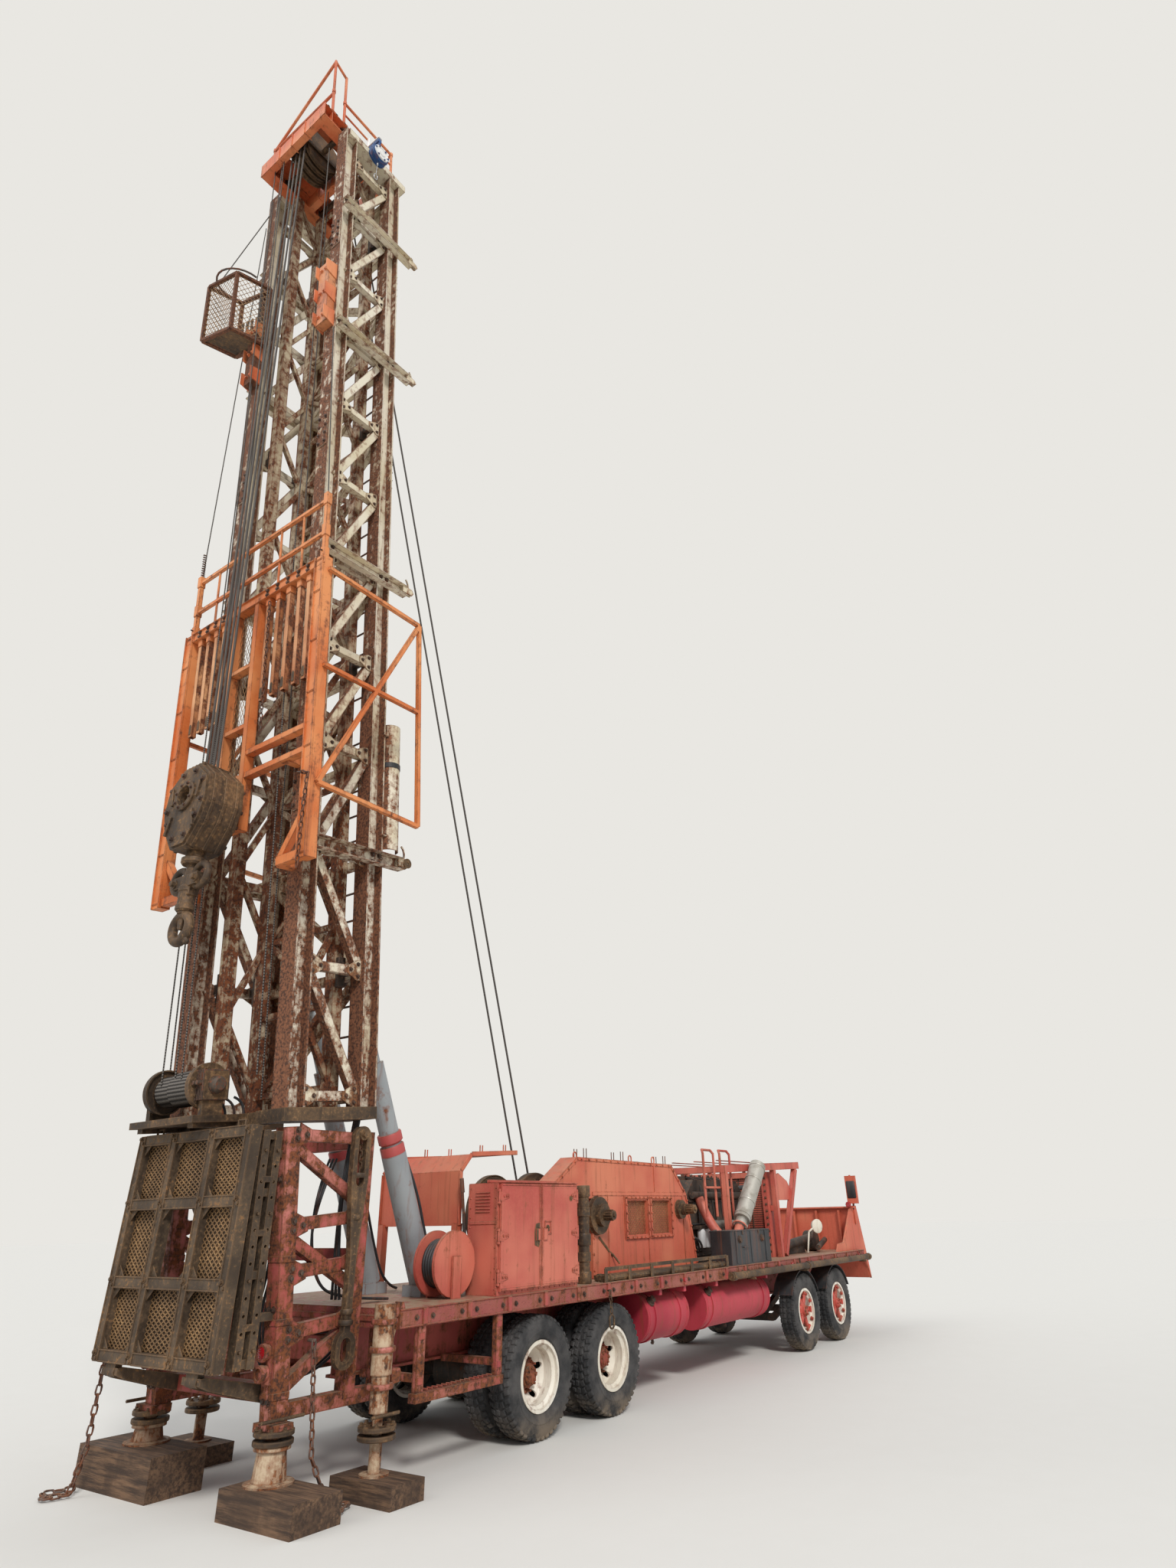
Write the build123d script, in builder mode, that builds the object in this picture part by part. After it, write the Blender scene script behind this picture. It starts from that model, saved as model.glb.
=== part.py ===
from build123d import *
import os
from math import cos, hypot, radians, sin

# Workover rig: a telescoping mast on a four-axle carrier.
# +X runs forward along the carrier, +Y to its left, +Z up; the ground is Z = 0.

# Carrier stations, forward of the rearmost axle
REAR_AXLE_X = -2754.0
DRIVE_SPREAD = 1320.0
STEER_2_AT = 6800.0
STEER_1_AT = 8190.0
DECK_REAR_AT = -2030.0
DECK_FRONT_AT = 9600.0

# Tyres and wheels
TYRE_RADIUS = 535.0
TYRE_WIDTH = 280.0
RIM_RADIUS = 290.0
RIM_WALL = 12.0
FLANGE_RADIUS = 308.0
FLANGE_WIDTH = 12.0
OUTER_WHEEL_Y = 1080.0
DUAL_SPACING = 330.0
SPINDLE_RADIUS = 45.0
RUNNING_GAP = 0.3
HUB_RADIUS = 110.0
HAND_HOLE_RADIUS = 32.0
KINGPIN_Y = 800.0
KINGPIN_RADIUS = 28.0
KINGPIN_GAP = 0.6
SPINDLE_STOP = 84.0

# Chassis and deck
DECK_TOP = 1278.0
DECK_PLATE = 20.0
DECK_RIM = 150.0
DECK_RIM_WIDTH = 60.0
DECK_HALF_WIDTH = 1250.0
JOIST_WIDTH = 70.0
RAIL_Y = 430.0
RAIL_DEPTH = 400.0
RAIL_WIDTH = 140.0
RAIL_FLANGE = 24.0
RAIL_WEB = 18.0
RAIL_REAR_AT = -2030.0
RAIL_FRONT_AT = 9500.0
RAIL_TOP = DECK_TOP - DECK_RIM

# Mast
MAST_FOOT_AT = -3106.0
MAST_LEAN = 4.52
MAST_DEPTH = 829.0
MAST_HALF_WIDTH = 800.0
MAST_LEG = 200.0
MAST_TOP = 13550.0
FIRST_LEVEL = 100.0
LEVEL_PITCH = 1180.0
LEVEL_COUNT = 12
BRACE_WIDTH = 90.0
BRACE_THICK = 80.0
ARM_LEVELS = (2460.0, 6000.0, 9540.0, 11900.0)
ARM_REACH = 320.0
ARM_DEPTH = 140.0
ARM_THICK = 90.0
INNER_HALF_WIDTH = 580.0
INNER_LEG = 120.0
INNER_REAR = 190.0
INNER_FRONT = 620.0
INNER_PITCH = 787.0
INNER_TOP = 13620.0

# Support frame under the mast
POST_TOP_AT = -3070.0
POST_FOOT_AT = -2880.0
POST_FOOT_Z = 560.0
POST_SIZE = 150.0
FRONT_POST_AT = -2190.0

# Jacks and the timber they stand on
REAR_JACK_AT = -2900.0
REAR_JACK_Y = MAST_HALF_WIDTH + 50
FOOT_Y = MAST_HALF_WIDTH + 30
JACK_HEAD_Z = 520.0
SIDE_JACK_AT = -2160.0
SIDE_JACK_Y = DECK_HALF_WIDTH - 50
TIMBER = 200.0
TIMBER_LAYER = 150.0
SIDE_TIMBER = 150.0

# Folding work floor
FLOOR_HINGE_AT = -3480.0
FLOOR_HINGE_Z = 900.0
FLOOR_HALF_WIDTH = 850.0
FLOOR_LENGTH = 1820.0
FLOOR_CHANNEL = 100.0
FLOOR_BAR = 90.0
FLOOR_LEAN = 2.0
FLOOR_HEADROOM = 153.0
MAST_FOOT_Z = FLOOR_HINGE_Z + FLOOR_LENGTH + FLOOR_HEADROOM
POST_TOP_Z = FLOOR_HINGE_Z + FLOOR_LENGTH
PIN_RADIUS = 18.0
FLOOR_BEAM_AT = -2880.0
FLOOR_BEAM_Z = 760.0

# Cabinet with two doors
CABINET_REAR_AT = -740.0
CABINET_FRONT_AT = 610.0
CABINET_TOP = 2290.0
CABINET_FACE_Y = -(DECK_HALF_WIDTH - 30)
CABINET_DEPTH = 400.0
SHEET = 30.0
DOOR_THICK = 26.0
DOOR_GAP = 6.0
DOOR_SEAT = 5.0
DOOR_LAP = 22.0
SILL = 60.0

# Racking board folded against the mast
BOARD_BACK = -270.0
BOARD_HALF_WIDTH = 1200.0
BOARD_TOP = 5490.0
BOARD_FOOT = 2150.0
FINGER_SIZE = 60.0
FINGER_LENGTH = 1300.0
LEFT_FINGERS = (1000.0, 840.0, 680.0, 520.0)
RIGHT_FINGERS = (-300.0, -480.0, -660.0, -840.0, -1000.0)

os.makedirs("parts", exist_ok=True)


def along(station):
    """X of a station measured forward of the rearmost axle."""
    return REAR_AXLE_X + station


def save(builder, name):
    """Label a finished piece and write it."""
    builder.part.label = name
    export_step(builder.part, f"parts/{name}.step")


def bar(start, end, wide, deep, across=(0, 1, 0)):
    """Straight rectangular bar; wide is measured along the across direction."""
    run = Vector(*end) - Vector(*start)
    side = Vector(*across)
    side = side - run * (side.dot(run) / run.dot(run))
    with BuildPart(mode=Mode.PRIVATE) as piece:
        with BuildSketch(Plane(origin=start, x_dir=side, z_dir=run)):
            Rectangle(wide, deep)
        extrude(amount=run.length)
    return piece.part


def rolled_bar(start, end, plates, across):
    """Bar whose section is made of plates, each given as its place, width and depth in the section."""
    run = Vector(*end) - Vector(*start)
    side = Vector(*across)
    side = side - run * (side.dot(run) / run.dot(run))
    with BuildPart(mode=Mode.PRIVATE) as piece:
        with BuildSketch(Plane(origin=start, x_dir=side, z_dir=run)):
            for place, wide, deep in plates:
                with Locations(place):
                    Rectangle(wide, deep)
        extrude(amount=run.length)
    return piece.part


def i_bar(start, end, wide, deep, wall, across=(0, 1, 0)):
    """Straight I-section bar with flanges as wide as said along the across direction."""
    flange = (deep - wall) / 2
    plates = [((0, 0), wall, deep), ((0, flange), wide, wall), ((0, -flange), wide, wall)]
    return rolled_bar(start, end, plates, across)


def channel_bar(start, end, wide, deep, wall, opens, across=(0, 1, 0)):
    """Straight channel that opens towards +1 or -1 along the across direction."""
    flange = (deep - wall) / 2
    web = ((-opens * (wide - wall) / 2, 0), wall, deep)
    plates = [web, ((0, flange), wide, wall), ((0, -flange), wide, wall)]
    return rolled_bar(start, end, plates, across)


def pipe(start, end, radius, sides=0):
    """Round bar, or one with a few flat sides, from start to end."""
    run = Vector(*end) - Vector(*start)
    with BuildPart(mode=Mode.PRIVATE) as piece:
        with BuildSketch(Plane(origin=start, z_dir=run)):
            if sides:
                RegularPolygon(radius, sides)
            else:
                Circle(radius)
        extrude(amount=run.length)
    return piece.part


def mast_point(a, y, h):
    """World point at depth a forward of the rear legs, side y and height h up the mast."""
    lean = radians(MAST_LEAN)
    x = along(MAST_FOOT_AT) + a * cos(lean) - h * sin(lean)
    return (x, y, MAST_FOOT_Z + a * sin(lean) + h * cos(lean))


def mast_bar(start, end, wide, deep, across=(0, 1, 0)):
    """Bar between two points given in the mast's own frame."""
    return bar(mast_point(*start), mast_point(*end), wide, deep, across)


LEAN_NORMAL = (cos(radians(MAST_LEAN)), 0, sin(radians(MAST_LEAN)))
MAST_DOWN = (sin(radians(MAST_LEAN)), 0, -cos(radians(MAST_LEAN)))
LEVELS = [FIRST_LEVEL + LEVEL_PITCH * k for k in range(LEVEL_COUNT)]


# Chassis: two I-section rails joined by cross members
RAIL_LENGTH = RAIL_FRONT_AT - RAIL_REAR_AT
RAIL_MID_Z = RAIL_TOP - RAIL_DEPTH / 2
CROSS_MEMBER_WIDTH = 80.0
CROSS_MEMBER_DEPTH = 200.0
CROSS_MEMBERS = (-1900.0, -650.0, 660.0, 1950.0, 3400.0, 4900.0, 6150.0, 7500.0, 9000.0)
with BuildPart() as chassis:
    with BuildSketch(Plane.YZ.offset(along(RAIL_REAR_AT))):
        for side in (-1, 1):
            with Locations((side * RAIL_Y, RAIL_MID_Z)):
                Rectangle(RAIL_WEB, RAIL_DEPTH)
            for end in (-1, 1):
                edge = RAIL_MID_Z + end * (RAIL_DEPTH - RAIL_FLANGE) / 2
                with Locations((side * RAIL_Y, edge)):
                    Rectangle(RAIL_WIDTH, RAIL_FLANGE)
    extrude(amount=RAIL_LENGTH)
    with Locations([(along(x), 0, RAIL_MID_Z) for x in CROSS_MEMBERS]):
        Box(CROSS_MEMBER_WIDTH, 2 * RAIL_Y, CROSS_MEMBER_DEPTH)
save(chassis, "chassis_rails")


# Deck: tread plate on joists inside a channel rim
DECK_LENGTH = DECK_FRONT_AT - DECK_REAR_AT
DECK_MID_X = along((DECK_FRONT_AT + DECK_REAR_AT) / 2)
JOIST_FROM = 500.0
JOIST_PITCH = 1180.0
JOIST_COUNT = 10
JOISTS = [DECK_REAR_AT + JOIST_FROM + JOIST_PITCH * k for k in range(JOIST_COUNT)]
with BuildPart() as deck:
    with BuildSketch(Plane.XY.offset(DECK_TOP - DECK_PLATE)):
        with Locations((DECK_MID_X, 0)):
            Rectangle(DECK_LENGTH, 2 * DECK_HALF_WIDTH)
    extrude(amount=DECK_PLATE)
    with BuildSketch(Plane.XY.offset(RAIL_TOP)):
        with Locations((DECK_MID_X, 0)):
            Rectangle(DECK_LENGTH, 2 * DECK_HALF_WIDTH)
            Rectangle(
                DECK_LENGTH - 2 * DECK_RIM_WIDTH,
                2 * (DECK_HALF_WIDTH - DECK_RIM_WIDTH),
                mode=Mode.SUBTRACT,
            )
    extrude(amount=DECK_RIM - DECK_PLATE)
    with Locations([(along(x), 0, RAIL_TOP + (DECK_RIM - DECK_PLATE) / 2) for x in JOISTS]):
        Box(JOIST_WIDTH, 2 * (DECK_HALF_WIDTH - DECK_RIM_WIDTH), DECK_RIM - DECK_PLATE)
save(deck, "deck")


# Wheels: tyres, rims, discs, spokes and hubs
BEAD_INSET = 48.0
BEAD_HEEL = (6.0, 40.0)
WIDEST_DROP = 140.0
SHOULDER = (35.0, 8.0)
TREAD_INSET = 32.0
RIM_INSET = 25.0
HUB_CAP = 20.0
HUB_NOSE = (35.0, 70.0)
HUB_REACH = 60.0
STEER_HUB_REACH = 110.0
DISC_ROOT = (30.0, 14.0)
DISC_SEAT = (4.0, 75.0)
HAND_HOLE_CIRCLE = 205.0
HAND_HOLES = 5
HAND_HOLE_DEPTH = 400.0
SPOKES = 6
SPOKE = (62.0, 60.0)
SPOKE_OUT = 40.0


def wheel_plane(x, y):
    """Plane whose local x runs across the axle line and local y along the axle."""
    return Plane(origin=(x, y, TYRE_RADIUS), x_dir=(1, 0, 0), z_dir=(0, 0, 1))


def tyre_outline(offset):
    """Half section of a tyre, radius against distance along the axle."""
    half = TYRE_WIDTH / 2
    heel = FLANGE_RADIUS + BEAD_HEEL[0]
    widest = TYRE_RADIUS - WIDEST_DROP
    shoulder = TYRE_RADIUS - SHOULDER[0]
    outline = [
        (RIM_RADIUS + RUNNING_GAP, half - BEAD_INSET),
        (heel, half - BEAD_HEEL[1]),
        (widest, half),
        (shoulder, half - SHOULDER[1]),
        (TYRE_RADIUS, half - TREAD_INSET),
    ]
    rear = [(radius, offset - reach) for radius, reach in outline]
    return rear + [(radius, offset + reach) for radius, reach in reversed(outline)]


def rim_outline(offset):
    """Half section of a rim with an upturned flange at each edge."""
    edge = TYRE_WIDTH / 2 - RIM_INSET
    inside = RIM_RADIUS - RIM_WALL
    return [
        (inside, offset - edge),
        (FLANGE_RADIUS, offset - edge),
        (FLANGE_RADIUS, offset - edge + FLANGE_WIDTH),
        (RIM_RADIUS, offset - edge + FLANGE_WIDTH),
        (RIM_RADIUS, offset + edge - FLANGE_WIDTH),
        (FLANGE_RADIUS, offset + edge - FLANGE_WIDTH),
        (FLANGE_RADIUS, offset + edge),
        (inside, offset + edge),
    ]


def hub_outline(outer, inner, nose):
    """Half section of a hub bored for its spindle and closed by a cap."""
    bore = SPINDLE_RADIUS + RUNNING_GAP
    cap = outer - nose * HUB_CAP
    return [
        (bore, inner),
        (HUB_RADIUS, inner),
        (HUB_RADIUS, outer - nose * HUB_NOSE[1]),
        (HUB_RADIUS - HUB_NOSE[0], outer),
        (0, outer),
        (0, cap),
        (bore, cap),
    ]


def make_drive_wheel(x, side, name):
    """Dual tyres on two disc wheels, dished so that the outer one is deep."""
    y = side * OUTER_WHEEL_Y
    inward = -side * DUAL_SPACING
    disc = inward / 2
    disc_outline = [
        (HUB_RADIUS - DISC_ROOT[0], disc - DISC_ROOT[1]),
        (RIM_RADIUS - DISC_SEAT[0], disc - DISC_SEAT[1]),
        (RIM_RADIUS - DISC_SEAT[0], disc + DISC_SEAT[1]),
        (HUB_RADIUS - DISC_ROOT[0], disc + DISC_ROOT[1]),
    ]
    outlines = [rim_outline(0), rim_outline(inward), disc_outline]
    outlines.append(hub_outline(-side * HUB_REACH, disc - side * HUB_REACH, side))
    outlines += [tyre_outline(0), tyre_outline(inward)]
    with BuildPart() as wheel:
        for outline in outlines:
            with BuildSketch(wheel_plane(x, y)):
                with BuildLine():
                    Polyline(*outline, close=True)
                make_face()
            revolve(axis=Axis((x, y, TYRE_RADIUS), (0, 1, 0)))
        holes_from = y + disc - HAND_HOLE_DEPTH / 2
        with BuildSketch(Plane(origin=(x, holes_from, TYRE_RADIUS), z_dir=(0, 1, 0))):
            with PolarLocations(HAND_HOLE_CIRCLE, HAND_HOLES):
                Circle(HAND_HOLE_RADIUS)
        extrude(amount=HAND_HOLE_DEPTH, mode=Mode.SUBTRACT)
    save(wheel, name)


def make_steer_wheel(x, side, name):
    """Single tyre on a rim carried by the six spokes of a cast hub."""
    y = side * OUTER_WHEEL_Y
    hub = hub_outline(side * STEER_HUB_REACH, -side * HUB_REACH, side)
    outlines = [rim_outline(0), hub, tyre_outline(0)]
    with BuildPart() as wheel:
        for outline in outlines:
            with BuildSketch(wheel_plane(x, y)):
                with BuildLine():
                    Polyline(*outline, close=True)
                make_face()
            revolve(axis=Axis((x, y, TYRE_RADIUS), (0, 1, 0)))
        spokes_from = y + side * SPOKE_OUT - SPOKE[1] / 2
        with BuildSketch(Plane(origin=(x, spokes_from, TYRE_RADIUS), z_dir=(0, 1, 0))):
            with PolarLocations((HUB_RADIUS + RIM_RADIUS) / 2 - 8, SPOKES):
                Rectangle(RIM_RADIUS - HUB_RADIUS + 10, SPOKE[0])
        extrude(amount=SPOKE[1])
    save(wheel, name)


SIDES = {"right": -1, "left": 1}
DRIVE_AXLES = {"drive_1": DRIVE_SPREAD, "drive_2": 0.0}
STEER_AXLES = {"steer_1": STEER_1_AT, "steer_2": STEER_2_AT}
for side_name, side in SIDES.items():
    for axle, at in DRIVE_AXLES.items():
        make_drive_wheel(along(at), side, f"wheel_{axle}_{side_name}")
    for axle, at in STEER_AXLES.items():
        make_steer_wheel(along(at), side, f"wheel_{axle}_{side_name}")


# Drive axles: tapered housings with a bowl, carried by a walking beam on each side
DRIVE_SPINDLE_END = OUTER_WHEEL_Y - SPINDLE_STOP
BEAM_Y = 500.0
TRUNNION_AT = DRIVE_SPREAD / 2
HOUSING = (80.0, 500.0)
BOWL_ROOT = 240.0
BOWL = (190.0, 110.0)
WALKING_BEAM = 80.0
BEAM_END = (110.0, 90.0)
BEAM_BELLY = 160.0
SADDLE = (130.0, 60.0)
with BuildPart() as drive_axles:
    for at in DRIVE_AXLES.values():
        with BuildSketch(wheel_plane(along(at), 0)):
            with BuildLine():
                Polyline(
                    (0, -DRIVE_SPINDLE_END),
                    (SPINDLE_RADIUS, -DRIVE_SPINDLE_END),
                    (SPINDLE_RADIUS, -OUTER_WHEEL_Y + HOUSING[1]),
                    (HOUSING[0], -OUTER_WHEEL_Y + HOUSING[1]),
                    (HOUSING[0], -BOWL_ROOT),
                    (BOWL[0], -BOWL[1]),
                    (BOWL[0], BOWL[1]),
                    (HOUSING[0], BOWL_ROOT),
                    (HOUSING[0], OUTER_WHEEL_Y - HOUSING[1]),
                    (SPINDLE_RADIUS, OUTER_WHEEL_Y - HOUSING[1]),
                    (SPINDLE_RADIUS, DRIVE_SPINDLE_END),
                    (0, DRIVE_SPINDLE_END),
                    close=True,
                )
            make_face()
        revolve(axis=Axis((along(at), 0, TYRE_RADIUS), (0, 1, 0)))
    for side in (-1, 1):
        with BuildSketch(Plane.XZ.offset(-side * BEAM_Y - WALKING_BEAM / 2)):
            with BuildLine():
                Polyline(
                    (along(-BEAM_END[0]), TYRE_RADIUS + BEAM_END[1]),
                    (along(-BEAM_END[0]), TYRE_RADIUS - BEAM_END[1]),
                    (along(TRUNNION_AT), TYRE_RADIUS - BEAM_BELLY),
                    (along(DRIVE_SPREAD + BEAM_END[0]), TYRE_RADIUS - BEAM_END[1]),
                    (along(DRIVE_SPREAD + BEAM_END[0]), TYRE_RADIUS + BEAM_END[1]),
                    (along(TRUNNION_AT + SADDLE[0]), TYRE_RADIUS + SADDLE[1]),
                    (along(TRUNNION_AT + SADDLE[0]), RAIL_TOP - RAIL_DEPTH),
                    (along(TRUNNION_AT - SADDLE[0]), RAIL_TOP - RAIL_DEPTH),
                    (along(TRUNNION_AT - SADDLE[0]), TYRE_RADIUS + SADDLE[1]),
                    close=True,
                )
            make_face()
        extrude(amount=WALKING_BEAM)
save(drive_axles, "drive_axles")


# Steering axles: dropped beams on leaf springs, with an eye for each kingpin
AXLE_BEAM_Z = 430.0
FIST = 110.0
SPRING_Y = 430.0
AXLE_BEAM = 100.0
FIST_HALF = 60.0
BEAM_BEND_Y = (620.0, 600.0)
SPRING_WIDTH = 80.0
SPRING_HALF = 600.0
SPRING_EYE = (90.0, 40.0)
SPRING_SEAT = (120.0, 40.0, 120.0)
with BuildPart() as steer_axles:
    for at in STEER_AXLES.values():
        with BuildSketch(Plane.YZ.offset(along(at) - AXLE_BEAM / 2)):
            with BuildLine():
                Polyline(
                    (-KINGPIN_Y - FIST_HALF, TYRE_RADIUS + FIST / 2),
                    (-KINGPIN_Y - FIST_HALF, TYRE_RADIUS - FIST / 2),
                    (-KINGPIN_Y + FIST_HALF, TYRE_RADIUS - FIST / 2),
                    (-BEAM_BEND_Y[0], AXLE_BEAM_Z - AXLE_BEAM / 2),
                    (BEAM_BEND_Y[0], AXLE_BEAM_Z - AXLE_BEAM / 2),
                    (KINGPIN_Y - FIST_HALF, TYRE_RADIUS - FIST / 2),
                    (KINGPIN_Y + FIST_HALF, TYRE_RADIUS - FIST / 2),
                    (KINGPIN_Y + FIST_HALF, TYRE_RADIUS + FIST / 2),
                    (KINGPIN_Y - FIST_HALF, TYRE_RADIUS + FIST / 2),
                    (BEAM_BEND_Y[1], AXLE_BEAM_Z + AXLE_BEAM / 2),
                    (-BEAM_BEND_Y[1], AXLE_BEAM_Z + AXLE_BEAM / 2),
                    (-KINGPIN_Y + FIST_HALF, TYRE_RADIUS + FIST / 2),
                    close=True,
                )
            make_face()
        extrude(amount=AXLE_BEAM)
        with Locations([(along(at), s * KINGPIN_Y, TYRE_RADIUS) for s in (-1, 1)]):
            Cylinder(KINGPIN_RADIUS + KINGPIN_GAP, 2 * FIST, mode=Mode.SUBTRACT)
        for s in (-1, 1):
            x = along(at)
            eye_z = RAIL_TOP - RAIL_DEPTH
            eye_inner = SPRING_HALF - SPRING_EYE[1]
            seat, low, high = SPRING_SEAT
            with BuildSketch(Plane.XZ.offset(-s * SPRING_Y - SPRING_WIDTH / 2)):
                with BuildLine():
                    Polyline(
                        (x - SPRING_HALF, eye_z),
                        (x - SPRING_HALF, eye_z - SPRING_EYE[0]),
                        (x - seat, AXLE_BEAM_Z + low),
                        (x + seat, AXLE_BEAM_Z + low),
                        (x + SPRING_HALF, eye_z - SPRING_EYE[0]),
                        (x + SPRING_HALF, eye_z),
                        (x + eye_inner, eye_z),
                        (x + seat, AXLE_BEAM_Z + high),
                        (x - seat, AXLE_BEAM_Z + high),
                        (x - eye_inner, eye_z),
                        close=True,
                    )
                make_face()
            extrude(amount=SPRING_WIDTH)
save(steer_axles, "steer_axles")


# Steering knuckles: yoke, kingpin, spindle and the curved mudguard they carry
GUARD_RADIUS = TYRE_RADIUS + 30.0
GUARD_THICK = 10.0
GUARD_FROM = 25.0
GUARD_SWEEP = 130.0
GUARD_WIDTH = 325.0
YOKE_INNER = 85.0
YOKE_THICK = 20.0
YOKE_WIDTH = 100.0
YOKE_ARM = (130.0, 50.0)
YOKE_ARM_OUT = 25.0
GUARD_STAY = (60.0, 24.0)


def make_knuckle(x, side, name):
    """Knuckle that turns about its kingpin and carries one steered wheel."""
    y = side * KINGPIN_Y
    yoke = KINGPIN_Y + YOKE_INNER + YOKE_THICK / 2
    spindle_end = OUTER_WHEEL_Y + SPINDLE_STOP
    with BuildPart() as knuckle:
        with Locations((x, y, TYRE_RADIUS)):
            Cylinder(KINGPIN_RADIUS, 2 * FIST + YOKE_THICK)
        arm_rise = (FIST + YOKE_ARM[1]) / 2 + 5
        with Locations([(x, y + side * YOKE_ARM_OUT, TYRE_RADIUS + s * arm_rise) for s in (-1, 1)]):
            Box(YOKE_WIDTH, *YOKE_ARM)
        with Locations((x, side * yoke, TYRE_RADIUS)):
            Box(YOKE_WIDTH, YOKE_THICK, 2 * FIST)
        with BuildSketch(Plane(origin=(x, side * yoke, TYRE_RADIUS), z_dir=(0, side, 0))):
            Circle(SPINDLE_RADIUS)
        extrude(amount=spindle_end - yoke)
        guard_y = side * (KINGPIN_Y + YOKE_INNER)
        with BuildSketch(Plane(origin=(x, guard_y, TYRE_RADIUS), x_dir=(1, 0, 0), z_dir=(0, -1, 0))):
            with BuildLine():
                outer = CenterArc((0, 0), GUARD_RADIUS + GUARD_THICK, GUARD_FROM, GUARD_SWEEP)
                inner = CenterArc((0, 0), GUARD_RADIUS, GUARD_FROM, GUARD_SWEEP)
                Line(outer @ 0, inner @ 0)
                Line(outer @ 1, inner @ 1)
            make_face()
        extrude(amount=-side * GUARD_WIDTH)
        with Locations((x, guard_y + side * GUARD_STAY[1] / 2, TYRE_RADIUS + GUARD_RADIUS / 2 + 2)):
            Box(*GUARD_STAY, GUARD_RADIUS)
    save(knuckle, name)


for side_name, side in SIDES.items():
    for axle, at in STEER_AXLES.items():
        make_knuckle(along(at), side, f"knuckle_{axle}_{side_name}")


# Horizontal tanks slung under the deck by banded hangers
TANK_RADIUS = 270.0
TANK_Y = 880.0
TANK_Z = RAIL_TOP - TANK_RADIUS - 24
TANKS = ((2150.0, 3150.0), (3620.0, 5600.0))
HANGER_INSET = 200.0
HANGER_WIDTH = 60.0
BAND = 12.0
HANGER_DEEP = 60.0
HANGER_INNER_Y = RAIL_Y + RAIL_WIDTH / 2
HANGER_OUTER_Y = DECK_HALF_WIDTH - DECK_RIM_WIDTH / 2
with BuildPart() as tanks:
    for side in (-1, 1):
        for start, end in TANKS:
            with BuildSketch(Plane.YZ.offset(along(start))):
                with Locations((side * TANK_Y, TANK_Z)):
                    Circle(TANK_RADIUS)
            extrude(amount=end - start)
            for at in (start + HANGER_INSET, end - HANGER_INSET):
                with BuildSketch(Plane.YZ.offset(along(at) - HANGER_WIDTH / 2)):
                    with Locations((side * TANK_Y, TANK_Z)):
                        Circle(TANK_RADIUS + BAND)
                    arm_y = side * (HANGER_INNER_Y + HANGER_OUTER_Y) / 2
                    with Locations((arm_y, RAIL_TOP - HANGER_DEEP / 2)):
                        Rectangle(HANGER_OUTER_Y - HANGER_INNER_Y, HANGER_DEEP)
                extrude(amount=HANGER_WIDTH)
save(tanks, "under_deck_tanks")


# Step frames hung below the rear of the deck
STEP_Z = 600.0
STEP_AT = (-1730.0, -690.0)
STEP_POST = 50.0
STEP_TREAD = 90.0
STEP_EDGE_Y = DECK_HALF_WIDTH - STEP_TREAD / 2
STEP_ARM = 60.0
STEP_ARM_Z = RAIL_TOP - RAIL_DEPTH + STEP_ARM / 5
STEP_OVERHANG = 60.0
RAIL_FACE_Y = RAIL_Y + RAIL_WIDTH / 2
with BuildPart() as step_frames:
    for side in (-1, 1):
        edge = side * STEP_EDGE_Y
        frame = []
        for x in STEP_AT:
            arm_end = (along(x), side * RAIL_FACE_Y, STEP_ARM_Z)
            frame.append(bar((along(x), edge, STEP_Z), (along(x), edge, RAIL_TOP), STEP_POST, STEP_TREAD))
            frame.append(bar((along(x), edge, STEP_ARM_Z), arm_end, STEP_ARM, STEP_ARM, (1, 0, 0)))
        tread_rear = (along(STEP_AT[0]) - STEP_OVERHANG, edge, STEP_Z)
        tread_front = (along(STEP_AT[1]) + STEP_TREAD / 2, edge, STEP_Z)
        frame.append(bar(tread_rear, tread_front, STEP_TREAD, 70))
        add(frame)
save(step_frames, "step_frames")


# Red support frame each side: leaning rear post, front post, rails and braces
FRONT_POST = 120.0
LOWER_RAIL_Z = 640.0
LOWER_RAIL = 110.0
LOWER_RAIL_END_AT = -1850.0
FOOT_BRACE = 90.0
SIDE_RAILS = ((60.0, 60.0), (775.0, 710.0), (1130.0, 1070.0), (1560.0, 1500.0))
SIDE_RAIL = (90.0, 100.0)
SIDE_BRACES = ((120.0, 610.0), (840.0, 1280.0))
SIDE_BRACE = (80.0, 90.0)
JACK_SEAT = (260.0, 180.0)


def post_x(z):
    """X of the leaning rear post's centre line at height z."""
    share = (z - POST_FOOT_Z) / (POST_TOP_Z - POST_FOOT_Z)
    return along(POST_FOOT_AT + share * (POST_TOP_AT - POST_FOOT_AT))


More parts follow.
